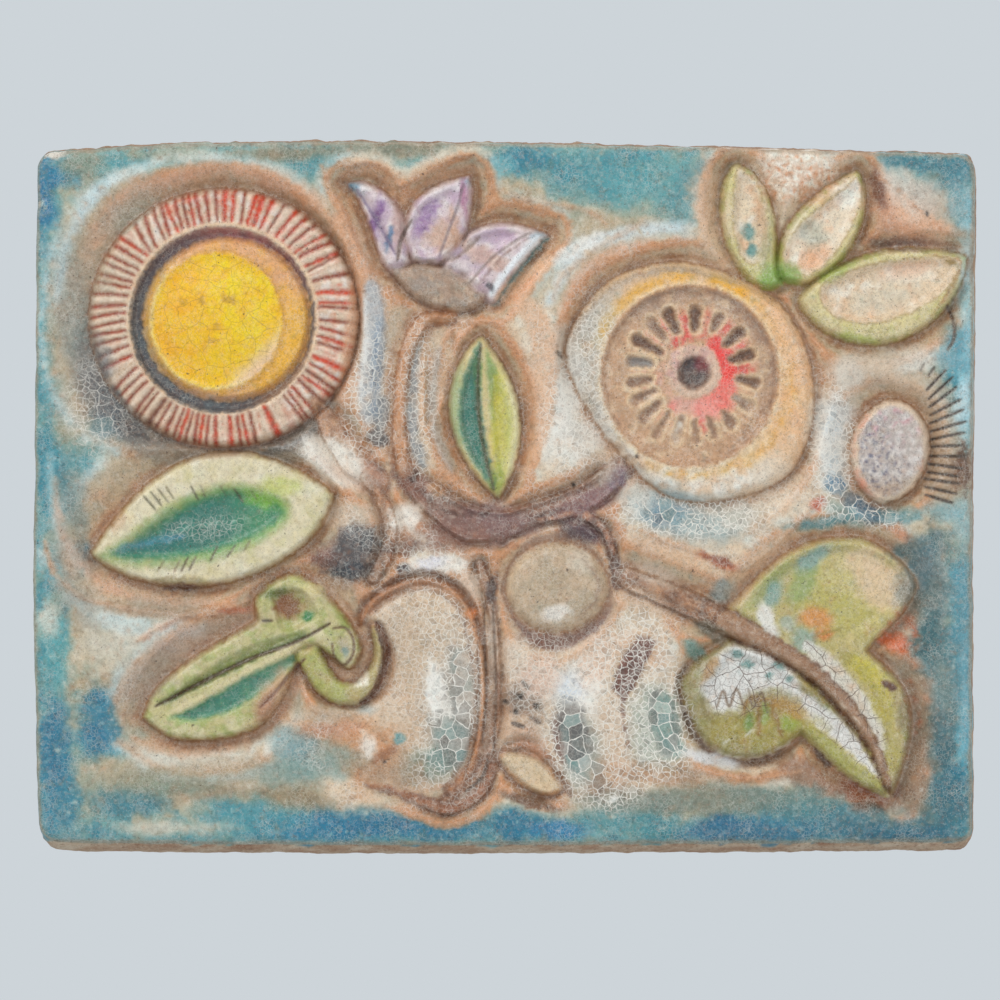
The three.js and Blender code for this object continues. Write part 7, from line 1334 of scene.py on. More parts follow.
# ---- hollows round the tulip's stalk ----
GROUND = ramp(FOOT, 0.4, 1.4)
# the whitish strokes (#e0ddd8 in the grey-blue hollow left of the stalk, #e6e4df on the shoulder above the flower) are
# painted sheen; the rest are glaze colour
for k, (colour, points, half, amount) in enumerate((
    ("#cb9f80", [(-70.4, 117), (-65.3, 104.2), (-62.8, 88.1), (-65.3, 66.8), (-69.6, 41.3)], 3.0, 0.8), ("#a7adb2", [(-56.8, 89.8), (-55.1, 71.1), (-57.7, 49.8), (-58.5, 32.8)], 4.6, 0.85), ("#8e9aa6", [(-53.4, 75.3), (-54.3, 54), (-55.1, 32.8)], 2.4, 0.8), ("#e0ddd8", [(-59.4, 83.8), (-59.4, 62.5), (-61.9, 41.3)], 1.3, 0.8),
    ("#7d848a", [(-51.7, 41.3), (-53.4, 28.5)], 3.4, 0.7), ("#97a0a6", [(-38.1, 64.7), (-39.8, 45.5), (-38.9, 24.3), (-34.7, 13.2)], 2.8, 0.8), ("#d5bda4", [(-33, 67.7), (-35.5, 49.8), (-34.7, 28.5), (-29.6, 11.5)], 1.2, 0.75), ("#a9a39c", [(-27.9, 62.5), (-30.4, 45.5), (-29.6, 28.5), (-22.8, 11.5)], 2.4, 0.7),
    ("#c99671", [(-25.3, 66.8), (-27.9, 51.5), (-27, 33.6), (-21.9, 19.1), (-13.4, 5.5)], 1.1, 0.7), ("#d3ac8e", [(6.2, 83.8), (14.7, 71.1), (16.4, 49.8), (13.8, 28.5), (6.2, 11.5)], 5.5, 0.75), ("#c08e6c", [(-0.2, 68.9), (7, 54), (10.4, 32.8), (7, 14.9)], 1.6, 0.7),
    ("#d9b394", [(-2.3, 83.8), (7.9, 91.5), (18.1, 100)], 4.0, 0.8), ("#cf9470", [(-2.3, 78.7), (4.5, 85.5), (13, 94)], 1.4, 0.6), ("#e6e4df", [(21.5, 100), (30, 105.1), (40.2, 111.1)], 3.0, 0.75), ("#d3c1ac", [(-15.1, 75.3), (-19.4, 77), (-25.3, 72.8)], 1.6, 0.6),
    ("#c8a183", [(-70.4, 135.7), (-59.4, 138.3), (-50, 134), (-44.9, 126.4), (-36.4, 130.6), (-25.3, 136.6), (-13.4, 140), (-8.3, 134.9)], 1.6, 0.7), ("#dccab4", [(-66.2, 142.5), (-53.4, 144.2), (-44, 136.6), (-31.3, 142.5), (-16.8, 147.6), (-6.6, 145.1)], 2.0, 0.7),
)):
    m = stroke(points, half, 1.3) * ramp(cloud(X, Z, 6, 3, 720 + k), -0.8, -0.2)
    paint(colour, m * GROUND, amount)
patch("#5d5654", (-54.3, 25.1), 4.6, 3.4, -10, 0.9, soft=0.3, rag=0.5, size=3, seed=740, within=GROUND)
patch("#3f3a3c", (-51.7, 23.8), 2.6, 2.0, 0, 0.8, soft=0.3, rag=0.5, size=3, seed=741, within=GROUND)
d, w, s = stems["tulip_stem"]
paint("#bb8a66", ramp(d, -0.2, 0.9), 0.55)
paint("#8a5c40", np.exp(-(((d - 0.1) / 0.45) ** 2)), 0.65)
line("#74503c", [(-24.9, 83.8), (-26.2, 78.7), (-28.7, 74.5)], 1.0, 0.6, 0.6, 0.4)

# ---- upright leaf: teal wash on the left, yellow on the right, a pale edge ----
d = ramp(IN["leaf_mid"], 0.2, 1.2)
paint("#7fa07c", d * ramp(-(X + 16), 0, 5) * ramp(5.5 - DEEP["leaf_mid", 0], 0, 4) * 0.8, 0.6)
paint("#3d7f72", d * ramp(DEEP["leaf_mid", 0], 1.5, 4.5) * ramp(cloud(X, Z, 8, 4, 745), -0.5, 0.3), 0.7)
paint("#c9b84e", d * blob((-2.3, 30.6), 3.6, 22, 0, 0.4, 0.5, 5, 746), 0.7)
paint("#cfc98c", d * ramp(X + 3.5, 0, 2.5), 0.55)
# painted highlight: pale line inside the leaf's right-hand edge
paint("#dcd8b8", d * np.exp(-(((IN["leaf_mid"] - 1.6) / 1.0) ** 2)) * ramp(X + 1, 0, 3), 0.6)
patch("#6d8a52", (-11.7, 53.2), 2, 8, 0, 0.6, rag=0.6, size=4, seed=747, within=d)
patch("#8f9a4a", (-3.6, 7.2), 3, 6, 0, 0.7, rag=0.6, size=4, seed=748, within=d)
line("#2f5a55", [(-11.3, 62.5), (-12.1, 47.7), (-10.9, 32.8), (-8.3, 19.1), (-4, 4.7)], 1.2, 0.8, 0.9, 0.4)

# ---- left leaf ----
name = "leaf_left"
d = ramp(IN[name], 0.0, 0.8)
cut = DEEP[name, 0]
paint("#a9a872", d * ramp(cut + 3.5 + N3, 0, 3.0) * ramp(cloud(X, Z, 7, 4, 750), -0.4, 0.3), 0.6)
paint("#cdbf98", d * ramp(-cut, 1.5, 5) * ramp(cloud(X, Z, 5, 4, 751), -0.1, 0.35), 0.6)
paint("#8fae6c", d * ramp(cut + 1.4 * N3, -0.5, 1.8) * ramp(X + 146, -6, 22), 0.6)
paint("#3f7d68", d * ramp(cut + 1.4 * N3, 1.2, 4.4), 0.7)
paint("#2c6668", d * ramp(cut + 1.4 * N3, 3.6, 7.0) * ramp(-(X + 112) + 4 * N3, -8, 10), 0.6)
paint("#9dbf52", d * ramp(cut + N3, 0.5, 3) * blob((-101.1, 0.4), 9, 5, 0, 0.5, 0.5, 4, 752), 0.7)
paint("#5c8fa4", d * stroke([(-164, -22.6), (-151.3, -19.1), (-136.4, -16.6)], 1.5, 1.0) * ramp(N3, -0.5, 0.2), 0.7)
line("#d9dccb", [(-143.6, -15.7), (-131.7, -12.3), (-119.8, -10.6), (-108.7, -8.9)], 0.5, 0.6, 0.5, 0.3)
paint("#8c6f4a", np.exp(-(((IN[name] - 0.4) / 0.7) ** 2)) * ramp(cloud(X, Z, 8, 3, 753), -0.5, 0.1), 0.75)
# darker brown along the lower edge of the leaf: pooled glaze with painted shade
paint("#7a5238", np.exp(-(((IN[name] - 0.5) / 0.7) ** 2)) * ramp(-(Z + 32), 0, 4) * ramp(cloud(X, Z, 10, 3, 754), -0.3, 0.2), 0.75)
patch("#5a3a2c", (-136.8, -37.9), 7, 1.2, 2, 0.85, rag=0.8, size=3, seed=755)
patch("#b48a6c", (-164, -9.8), 3, 5, -30, 0.4, rag=0.6, size=3, seed=756, within=d)

# ---- folded leaf ----
name = "curl"
d = ramp(IN[name], 0.0, 0.8)
paint("#b3a678", d * ramp(cloud(X, Z, 9, 4, 760), -0.5, 0.2), 0.55)
paint("#8d9a58", d * ramp(cloud(X, Z, 5, 4, 761), 0.0, 0.3), 0.55)
paint("#d6c8a4", d * stroke([(-142.8, -91.5), (-125.7, -83.8), (-106.2, -72.8), (-87.4, -63.4)], 2.0, 1.0) * ramp(N3, -0.7, 0), 0.8)
paint("#77804c", d * stroke([(-146.2, -87.2), (-128.3, -77.9), (-107.9, -67.7), (-85.7, -57.4)], 1.8, 0.9), 0.75)
paint("#4c5c3c", d * stroke([(-145.3, -88.1), (-127.4, -78.7), (-107, -68.5), (-84.9, -58.3)], 0.8, 0.5), 0.7)
paint("#4f8a74", d * ramp(DEEP[name, 1] + 0.8 * N3, 0.2, 2.4), 0.75)
paint("#3c6f66", d * ramp(DEEP[name, 1] + 0.8 * N3, 1.6, 3.6) * ramp(cloud(X, Z, 6, 3, 762), -0.4, 0.2), 0.6)
paint("#85613f", np.exp(-(((IN[name] - 0.5) / 0.6) ** 2)) * ramp(cloud(X, Z, 7, 3, 763), -0.6, 0.1), 0.7)
patch("#7c5236", (-92.5, -46.4), 5.5, 5, -20, 0.85, rag=0.5, size=3, seed=764, within=d)
patch("#5f6a44", (-97.7, -40.4), 6, 2.2, 8, 0.6, rag=0.5, size=3, seed=765, within=d)
patch("#3c7a50", (-84, -50.6), 2.2, 2.2, 0, 0.95, rag=0.5, size=2, seed=766)
patch("#dcd49a", (-81.5, -38.7), 5, 2.4, -14, 0.85, rag=0.8, size=2.4, seed=767)
patch("#a89a86", (-68.3, -63.4), 2.6, 4, 10, 0.7, rag=0.6, size=2.4, seed=768)
patch("#6f8a88", (-67.9, -65.1), 1.4, 2, 0, 0.7, rag=0.6, size=2, seed=769)
d = ramp(IN["curl_arm"], 0.0, 0.7)
paint("#b3a476", d, 0.85)
paint("#a3a860", d * ramp(-(X + 64), 0, 6) * ramp(N3 + 0.3, -0.2, 0.4), 0.7)
patch("#ece6d8", (-61.5, -76.2), 3.6, 4.2, 30, 0.95, rag=0.4, size=3, seed=770, within=d)
paint("#6b4634", ramp(stroke([(-54.3, -53.2), (-50.8, -63), (-51.7, -72.8), (-56, -83), (-61.1, -87.7)], 1.7, 0.7), 0.2, 0.8), 0.9)
paint("#4a3024", stroke([(-53.4, -58.3), (-51.3, -67.2), (-53.4, -77)], 0.8, 0.5), 0.7)
for k, (colour, centre, rx, rz, turn, amount) in enumerate((
    ("#a6978a", (-151.3, -76.2), 8, 16, -40, 0.7), ("#b0978a", (-134.2, -60.8), 12, 6, 20, 0.6), ("#a58c7c", (-116.4, -54), 12, 4, 10, 0.6), ("#8e8a80", (-181.1, -43.8), 8, 12, 40, 0.5), ("#9a8f80", (-147, -47.2), 18, 4, -4, 0.6), ("#7f8a84", (-182.8, -1.3), 5, 16, 10, 0.7),
    ("#c39a80", (-96.8, -83.8), 7, 14, -30, 0.7), ("#9a6f58", (-101.1, -88.1), 3, 8, -30, 0.6), ("#b4a692", (-74.7, -91.5), 12, 4, 0, 0.7), ("#a9b0ac", (-58.5, -90.2), 5, 2.2, 0, 0.8), ("#b9a184", (-74.7, -39.6), 10, 5, 0, 0.5),
    ("#8f8f7c", (-151.3, -120.4), 26, 6, 2, 0.6), ("#a5937a", (-117.2, -114), 20, 4, 4, 0.6), ("#7a9490", (-91.7, -116.2), 16, 5, 10, 0.6), ("#8a7a64", (-130, -124.7), 16, 4, 0, 0.5), ("#2a6c86", (-173.4, -101.3), 8, 7, 0, 0.8), ("#2f7288", (-168.3, -91.5), 3, 12, 24, 0.7),
)):
    patch(colour, centre, rx, rz, turn, amount, soft=0.5, rag=0.6, size=6, seed=780 + k, within=GROUND)

# ---- dark pooled glaze left of and below the sunflower, in cells ----
for k, (colour, centre, rx, rz, turn, amount) in enumerate((
    ("#6f6f70", (-173.4, 53.2), 7, 12, -10, 0.8), ("#5f6468", (-167.4, 37.9), 8, 7, -40, 0.85), ("#7d7b76", (-178.5, 62.5), 5, 10, 0, 0.7), ("#4f6f7c", (-169.1, 29.4), 8, 5, -30, 0.7), ("#4a4a4c", (-158.9, 28.5), 8, 4, -30, 0.8), ("#87827a", (-151.3, 21.7), 10, 3, -14, 0.7), ("#a08a74", (-130, 19.1), 22, 3, 0, 0.6),
    ("#8f9a94", (-182.8, 83.8), 6, 22, 0, 0.6), ("#a49a86", (-175.9, 100), 7, 16, 24, 0.5), ("#8a958c", (-159.8, 120.4), 14, 6, 34, 0.5),
)):
    patch(colour, centre, rx, rz, turn, amount, soft=0.5, rag=0.6, size=5, seed=810 + k, within=GROUND)

# ---- worn glaze: edges of every colour feather into each other, and the whole face is mottled ----
steady = 1 - 0.6 * ramp(SUN, -1, 1) * ramp(SUN_R, 40, 42)
shift_x = (0.75 * noise(X, Z, 3.4, 401) + 0.5 * noise(X, Z, 1.5, 402)) * steady
shift_z = (0.75 * noise(X, Z, 3.4, 403) + 0.5 * noise(X, Z, 1.5, 404)) * steady
tone = moved(tone, shift_x, shift_z)
grey = tone @ np.array([0.3, 0.55, 0.15])
N7, N8 = cloud(X, Z, 4.4, 4, 405, 0.7), cloud(X, Z, 3.0, 3, 406, 0.75)
tone *= (1 + 0.10 * N7 + 0.07 * N8)[..., None]
OFF_LEAF = 1 - 0.65 * np.max([ramp(IN[k], 0, 1.5) for k in ("leaf_mid", "leaf_left", "curl", "tulip_left", "tulip_mid", "tulip_right")] + [ramp(HEART, 0, 2)], axis=0)
paint("#8a6a54", OFF_LEAF * ramp(N7 + 0.3 * N8 - 0.22, 0, 0.4), 0.38)
paint("#e6dccd", OFF_LEAF * ramp(-N7 + 0.4 * N8 - 0.22, 0, 0.4), 0.40)
paint("#c08a68", OFF_LEAF * ramp(cloud(X, Z, 6, 4, 407, 0.7) - 0.18, 0, 0.35), 0.30)
paint("#6f8684", OFF_LEAF * ramp(cloud(X, Z, 5.2, 4, 408, 0.7) - 0.24, 0, 0.35), 0.30)

grey = (tone @ np.array([0.3, 0.55, 0.15]))[..., None]
tone = np.clip(grey + (tone - grey) * 1.13, 0, 1)
tone = np.clip((tone - 0.5) * 1.14 + 0.505, 0.02, 0.98)

# ---- the small cuts hold darker glaze ----
for mask, colour, strong in MARK:
    paint(colour, mask, strong)
paint("#e4ddd0", CHIP, 0.9)

# ---- crackle of the glaze: pale net over dark cells, dark crazing on pale glaze, flecks; the wet-gloss field stays empty ----
NET = np.zeros(SHAPE)
CRAZE = np.zeros(SHAPE)
FLECK = np.zeros(SHAPE)
WET = np.zeros(SHAPE)
POOL = np.zeros(SHAPE)  # large dark cells of pooled glaze


def more(field, mask, amount):
    np.maximum(field, np.clip(mask * amount, 0, 1), out=field)


brown_field = OUTSIDE * WARM
more(NET, brown_field * ramp(N2 + 0.3 * N3, -0.2, 0.3), 0.42)
more(NET, ramp(IN["lobe"], 0, 2) * ramp(X + 50, 0, 18), 0.7)
more(NET, ramp(IN["lobe_right"], -6, 0) * (1 - ramp(IN["bud"], 0, 1)), 0.85)
more(NET, OUTSIDE * blob((67.9, -94.9), 13, 24, 0, 0.3, 0.2, 6, 1), 1.0)
more(NET, OUTSIDE * blob((78.5, -7.7), 34, 9, 0, 0.3, 0.3, 6, 2), 0.9)
more(NET, OUTSIDE * blob((138.9, 17.9), 11, 30, 0, 0.3, 0.3, 6, 3), 0.9)
more(NET, OUTSIDE * blob((150.8, -6.4), 16, 6, -18, 0.3, 0.3, 6, 4), 1.0)
more(NET, OUTSIDE * blob((-59.8, 41.3), 9, 26, -8, 0.3, 0.3, 6, 5), 0.8)
more(NET, OUTSIDE * blob((-36.4, 41.3), 8, 34, 0, 0.3, 0.3, 6, 6), 0.6)
more(NET, OUTSIDE * blob((27.4, 32.8), 12, 26, 0, 0.3, 0.3, 6, 7), 0.75)
more(NET, OUTSIDE * blob((-32.1, -28.9), 20, 8, 0, 0.3, 0.3, 6, 8), 0.6)
more(CRAZE, ramp(HEART, 0, 1.5), 0.32)
more(CRAZE, WHITE_LOW, 0.9)
more(CRAZE, WHITE_UP * ramp(IN["leaf_up"], 0, 1), 0.9)
more(NET, ramp(IN["flower"], 0, 1) * ramp(-FL_RIM, 0, 1) * around(185, 40, 12), 0.7)
more(POOL, OUTSIDE * blob((67.4, -6.8), 10, 6, -10, 0.3, 0.3, 6, 31), 0.45)
more(POOL, OUTSIDE * blob((150, -3.8), 14, 6, -24, 0.3, 0.3, 6, 32), 0.45)
more(NET, OUTSIDE * blob((91.3, -7.7), 16, 8, 10, 0.3, 0.3, 6, 33), 0.7)
more(NET, blob((-20.2, -82.1), 9, 24, 4, 0.3, 0.2, 6, 11) * ramp(IN["lobe"], 0, 2), 1.0)
more(NET, blob((-22.8, -104.2), 11, 18, 22, 0.3, 0.2, 6, 12) * ramp(IN["lobe"], 0, 2), 1.0)
more(POOL, blob((-18.5, -82.1), 5, 17, 4, 0.3, 0.3, 6, 13) * ramp(IN["lobe"], 0, 2), 0.55)
more(POOL, blob((-21.9, -105.5), 8, 12, 24, 0.3, 0.3, 6, 14) * ramp(IN["lobe"], 0, 2), 0.75)
more(NET, blob((30.8, -103.4), 14, 26, 12, 0.25, 0.2, 6, 15), 1.0)
more(POOL, blob((30, -101.3), 7, 15, 12, 0.2, 0.3, 5, 16), 1.0)
more(POOL, blob((36.8, -114), 5.5, 12, 20, 0.2, 0.3, 5, 17), 0.6)
more(NET, blob((63.6, -97), 16, 24, 14, 0.25, 0.2, 6, 18), 1.0)
more(POOL, blob((67.4, -95.7), 6, 15, 10, 0.2, 0.3, 5, 19), 0.75)
more(NET, blob((14.7, -75.7), 16, 20, 0, 0.4, 0.3, 6, 20), 0.55)
more(NET, blob((-38.5, -65.1), 22, 34, 0, 0.4, 0.3, 6, 21) * ramp(IN["lobe"], 0, 2), 0.45)
more(FLECK, 0.55 + 0.4 * ramp(N2, -0.2, 0.5), 1.0)
for key in ("leaf_mid", "leaf_left", "curl", "tulip_left", "tulip_mid", "tulip_right"):
    FLECK *= 1 - 0.35 * ramp(IN[key], 0, 1.5)
FLECK *= 1 - 0.5 * ramp(HEART, 0, 2)
FLECK *= 1 - 0.4 * ramp(SUN, -1, 1) * ramp(SUN_R, 40, 42)

more(NET, OUTSIDE * blob((-170.8, 41.3), 14, 22, -20, 0.4, 0.4, 6, 41), 0.55)
more(POOL, OUTSIDE * blob((-170, 40.4), 9, 16, -20, 0.4, 0.4, 6, 42), 0.35)
more(NET, OUTSIDE * blob((-36.4, 41.3), 7, 34, 0, 0.3, 0.3, 6, 43), 0.75)
more(NET, OUTSIDE * blob((-55.1, 45.5), 8, 30, 0, 0.3, 0.3, 6, 44), 0.7)
more(NET, ramp(DEEP["leaf_left", 0], 1, 4) * blob((-127.9, -13.2), 18, 5, 6, 0.3, 0.3, 6, 45), 0.35)

# ================================ slab ========================================================

LEFT = [(-152, -197.8), (-110, -199.2), (-45, -200.6), (20, -199.9), (85, -199.4), (152, -198.6)]
RIGHT = [(-152, 199.2), (-60, 198.9), (0, 199.0), (70, 199.8), (125, 200.3), (152, 199.6)]
TOP = [(-200, 147.3), (-130, 150.7), (-75, 151.4), (0, 150.8), (82, 149.1), (168, 146.9), (200, 146.2)]
BOTTOM = [(-200, -150.6), (-120, -151.4), (-20, -151.8), (80, -151.2), (200, -150.4)]
FLARE = dict(left=0.7, right=1.7, top=1.3, bottom=4.6)  # sides lean out towards the back
CORNERS = {(-1, 1): 7.0, (1, 1): 6.5, (-1, -1): 9.0, (1, -1): 6.0}
ROLL, ROLL_WIDTH = 3.4, 4.6
SOCKET = dict(width=24.0, height=14.0, depth=9.0, apart=220.0, level=98.0)


def through(knots, s):
    at = np.array([k[0] for k in knots], float)
    value = np.array([k[1] for k in knots], float)
    i = np.clip(np.searchsorted(at, s) - 1, 0, len(at) - 2)
    return mix(value[i], value[i + 1], smooth((s - at[i]) / (at[i + 1] - at[i])))


def edges(x, z):
    """the four sides of the glazed face at a point, with a little waver of the hand-cut edge"""
    wave = 0.35 * noise(x, z, 11, 5) + 0.15 * noise(x, z, 4, 6)
    return (through(LEFT, z) + FLARE["left"] + wave, through(RIGHT, z) - FLARE["right"] + wave, through(BOTTOM, x) + FLARE["bottom"] + wave, through(TOP, x) - FLARE["top"] + wave)


def inset(x, z):
    """distance in from the rounded edge of the face"""
    left, right, bottom, top = edges(x, z)
    near = np.minimum(np.minimum(x - left, right - x), np.minimum(z - bottom, top - z))
    for (sx, sz), r in CORNERS.items():
        px = sx * (x - ((left if sx < 0 else right) - sx * r))
        pz = sz * (z - ((bottom if sz < 0 else top) - sz * r))
        near = np.where((px > 0) & (pz > 0), r - np.hypot(px, pz), near)
    return near


def sample(field, x, z):
    """a board field read between its points"""
    u, v = np.clip((x - XS[0]) / STEP, 0, len(XS) - 1.001), np.clip((z - ZS[0]) / STEP, 0, len(ZS) - 1.001)
    i, j = u.astype(int), v.astype(int)
    f, g = u - i, v - j
    if field.ndim > 2:
        f, g = f[..., None], g[..., None]
    return mix(mix(field[j, i], field[j, i + 1], f), mix(field[j + 1, i], field[j + 1, i + 1], f), g)


def depth(x, z):
    """how far the glazed face stands from the back, with its rolled edge"""
    near = np.clip(inset(x, z), 0, None)
    roll = ROLL * (1 - np.sqrt(1 - (1 - np.clip(near / ROLL_WIDTH, 0, 1)) ** 2))
    return sample(H, x, z) - roll


# a fine grid over the face; points pushed in from the corners so that its rim is the rounded edge
PITCH = 0.56
nu, nv = int(400 / PITCH) + 1, int(302 / PITCH) + 1
U, V = np.meshgrid(np.linspace(-1, 1, nu), np.linspace(-1, 1, nv))
gx, gz = U * 200, V * 151
for _ in range(3):
    left, right, bottom, top = edges(gx, gz)
    gx, gz = mix(left, right, (U + 1) / 2), mix(bottom, top, (V + 1) / 2)
left, right, bottom, top = edges(gx, gz)
for (sx, sz), r in CORNERS.items():
    cx, cz = (left if sx < 0 else right) - sx * r, (bottom if sz < 0 else top) - sz * r
    px, pz = sx * (gx - cx), sz * (gz - cz)
    corner = (px > 0) & (pz > 0)
    far, length = np.maximum(px, pz), np.hypot(px, pz) + 1e-9
    gx = np.where(corner, cx + sx * px * far / length, gx)
    gz = np.where(corner, cz + sz * pz * far / length, gz)

# thin the grid out where neither the clay nor the colour changes: the height that is thinned
# carries a little of the colour, and the true height is read again afterwards
shade = sample(tone @ np.array([0.5, 0.7, 0.2]), gx, gz)
guide = depth(gx, gz) + 2.0 * shade
grid = bpy.data.meshes.new("grid")
index = np.arange(nu * nv).reshape(nv, nu)
a, b, c, d = index[:-1, :-1].ravel(), index[:-1, 1:].ravel(), index[1:, 1:].ravel(), index[1:, :-1].ravel()
even = ((np.arange(nv - 1)[:, None] + np.arange(nu - 1)[None]) % 2 == 0).ravel()[:, None]
one = np.where(even, np.stack([a, b, c], 1), np.stack([a, b, d], 1))
two = np.where(even, np.stack([a, c, d], 1), np.stack([b, c, d], 1))
faces = np.concatenate([one, two])
grid.vertices.add(nu * nv)
grid.vertices.foreach_set("co", np.stack([gx, -guide, gz], -1).astype(np.float32).ravel())
grid.loops.add(faces.size)
grid.loops.foreach_set("vertex_index", faces.astype(np.int32).ravel())
grid.polygons.add(len(faces))
grid.polygons.foreach_set("loop_start", np.arange(0, faces.size, 3, dtype=np.int32))
grid.update(calc_edges=True)
holder = bpy.data.objects.new("grid", grid)
bpy.context.scene.collection.objects.link(holder)
thin = holder.modifiers.new("thin", "DECIMATE")
thin.ratio = 155000 / len(faces)
thin.use_collapse_triangulate = True
result = holder.evaluated_get(bpy.context.evaluated_depsgraph_get()).to_mesh()
co = np.empty(len(result.vertices) * 3, np.float32)
result.vertices.foreach_get("co", co)
result.calc_loop_triangles()
tri = np.empty(len(result.loop_triangles) * 3, np.int32)
result.loop_triangles.foreach_get("vertices", tri)
face_xz = co.reshape(-1, 3)[:, [0, 2]].astype(float)
tri = tri.reshape(-1, 3).astype(int)
holder.to_mesh_clear()
bpy.data.objects.remove(holder)
bpy.data.meshes.remove(grid)
# face winding so that the face looks along -y
p, q, r = (face_xz[tri[:, k]] for k in range(3))
area = (q[:, 0] - p[:, 0]) * (r[:, 1] - p[:, 1]) - (q[:, 1] - p[:, 1]) * (r[:, 0] - p[:, 0])
tri[area < 0] = tri[area < 0][:, ::-1]

# the rim of the face, in order
links = np.concatenate([tri[:, [0, 1]], tri[:, [1, 2]], tri[:, [2, 0]]])
known = set(map(tuple, links.tolist()))
after = {i: j for i, j in known if (j, i) not in known}
start = min(after)
rim = [start]
while after[rim[-1]] != start:
    rim.append(after[rim[-1]])
rim = np.array(rim)

VX, VZ = face_xz[:, 0], face_xz[:, 1]
VY = -depth(VX, VZ)
n_face = len(VX)

# outward direction and distance round the rim
rx, rz = VX[rim], VZ[rim]
tx, tz = np.roll(rx, -2) - np.roll(rx, 2), np.roll(rz, -2) - np.roll(rz, 2)
length = np.hypot(tx, tz)
ox, oz = tz / length, -tx / length
around_rim = np.concatenate([[0], np.cumsum(np.hypot(np.diff(rx), np.diff(rz)))])
lean_x = np.where(ox > 0, FLARE["right"], FLARE["left"]) * ox
lean_z = np.where(oz > 0, FLARE["top"], FLARE["bottom"]) * oz
loop_size = around_rim[-1] + 1.0


def along_rim(size, seed, y=0.0):
    """noise that runs round the rim and closes on itself, and changes with depth y"""
    turn = 2 * math.pi * around_rim / loop_size
    radius = loop_size / (2 * math.pi)
    return 0.5 * (noise(radius * np.cos(turn) + 3.1 * y, radius * np.sin(turn) - 2.3 * y, size, seed) + noise(radius * np.cos(turn) - 1.7 * y, radius * np.sin(turn) + 2.9 * y, size * 0.6, seed + 3))


top_side, bottom_side = ramp(oz, 0.3, 0.8), ramp(-oz, 0.3, 0.8)
rings = []
y_rim = VY[rim]
levels = [0.06, 0.16, 0.28, 0.42, 0.58, 0.74, 0.9, 1.0]
for f in levels:
    y = mix(y_rim, -5.0, f)
    out = math.sin(f * math.pi / 2) ** 0.8
    rough = (0.28 + 0.5 * top_side + 0.25 * bottom_side) * along_rim(6, 70, y * 0.35) + 0.16 * along_rim(1.8, 75, y * 0.5)
    torn = 0.9 * top_side * ramp(along_rim(9, 79), -0.2, 0.5) * math.exp(-(((f - 0.25) / 0.2) ** 2))
    push = rough * math.sin(min(1.0, f * 1.6) * math.pi / 2) + torn
    rings.append((rx + lean_x * out + ox * push, y, rz + lean_z * out + oz * push))
for y, pull in ((-3.2, 0.0), (-1.5, 0.15), (-0.7, 0.5), (-0.2, 1.0), (0.0, 1.5)):
    rough = 0.25 * along_rim(6, 70, y * 0.35) * (1 if pull < 1 else 0.4)
    rings.append((rx + lean_x + ox * (rough - pull), np.full(len(rim), y), rz + lean_z + oz * (rough - pull)))

points = [np.stack([VX, VY, VZ], 1)]
count = n_face
faces = [tri]
previous = rim
RING_AT = []
for k, (x, y, z) in enumerate(rings):
    points.append(np.stack([x, y, z], 1))
    ids = np.arange(count, count + len(rim))
    nxt, pnx = np.roll(ids, -1), np.roll(previous, -1)
    faces.append(np.stack([pnx, previous, ids], 1))
    faces.append(np.stack([pnx, ids, nxt], 1))
    RING_AT.append((count, count + len(rim), k))
    count += len(rim)
    previous = ids

# plain back with the two hanging sockets
w, h, deep = SOCKET["width"] / 2, SOCKET["height"] / 2, SOCKET["depth"]
back_loops = [previous.tolist()]
for side in (-1, 1):
    cx, cz = side * SOCKET["apart"] / 2, SOCKET["level"]
    ring_xz = []
    for sx, sz, first in ((1, 1, 0), (-1, 1, 90), (-1, -1, 180), (1, -1, 270)):
        for k in range(5):
            t = math.radians(first + 22.5 * k)
            ring_xz.append((cx + sx * (w - 1.5) + 1.5 * math.cos(t), cz + sz * (h - 1.5) + 1.5 * math.sin(t)))
    ring_xz = np.array(ring_xz)
    loops = []
    for y, grow in ((0.0, 0.5), (-0.5, 0.0), (-deep + 0.6, 0.0), (-deep, -0.6)):
        centre = np.array([cx, cz])
        off = ring_xz - centre
        xz = centre + off * (1 + grow / np.abs(off).max(0))
        points.append(np.stack([xz[:, 0], np.full(len(xz), y), xz[:, 1]], 1))
        loops.append(np.arange(count, count + len(xz)))
        count += len(xz)
    back_loops.append(loops[0].tolist())
    for a, b in zip(loops[:-1], loops[1:]):
        na, nb = np.roll(a, -1), np.roll(b, -1)
        faces.append(np.stack([a, na, nb], 1))
        faces.append(np.stack([a, nb, b], 1))
    points.append(np.array([[cx, -deep, cz]]))
    last = loops[-1]
    faces.append(np.stack([last, np.roll(last, -1), np.full(len(last), count)], 1))
    count += 1
all_points = np.concatenate(points)
flat = tessellate_polygon([[(float(all_points[i, 0]), float(all_points[i, 2]), 0.0) for i in loop] for loop in back_loops])
ids = [i for loop in back_loops for i in loop]
flat = np.array([[ids[i] for i in t] for t in flat])
p, q, r = (all_points[flat[:, k]] for k in range(3))
area = (q[:, 0] - p[:, 0]) * (r[:, 2] - p[:, 2]) - (q[:, 2] - p[:, 2]) * (r[:, 0] - p[:, 0])
flat[area > 0] = flat[area > 0][:, ::-1]
flat = flat[np.abs(area) > 1e-6]
faces.append(flat)
all_faces = np.concatenate(faces)

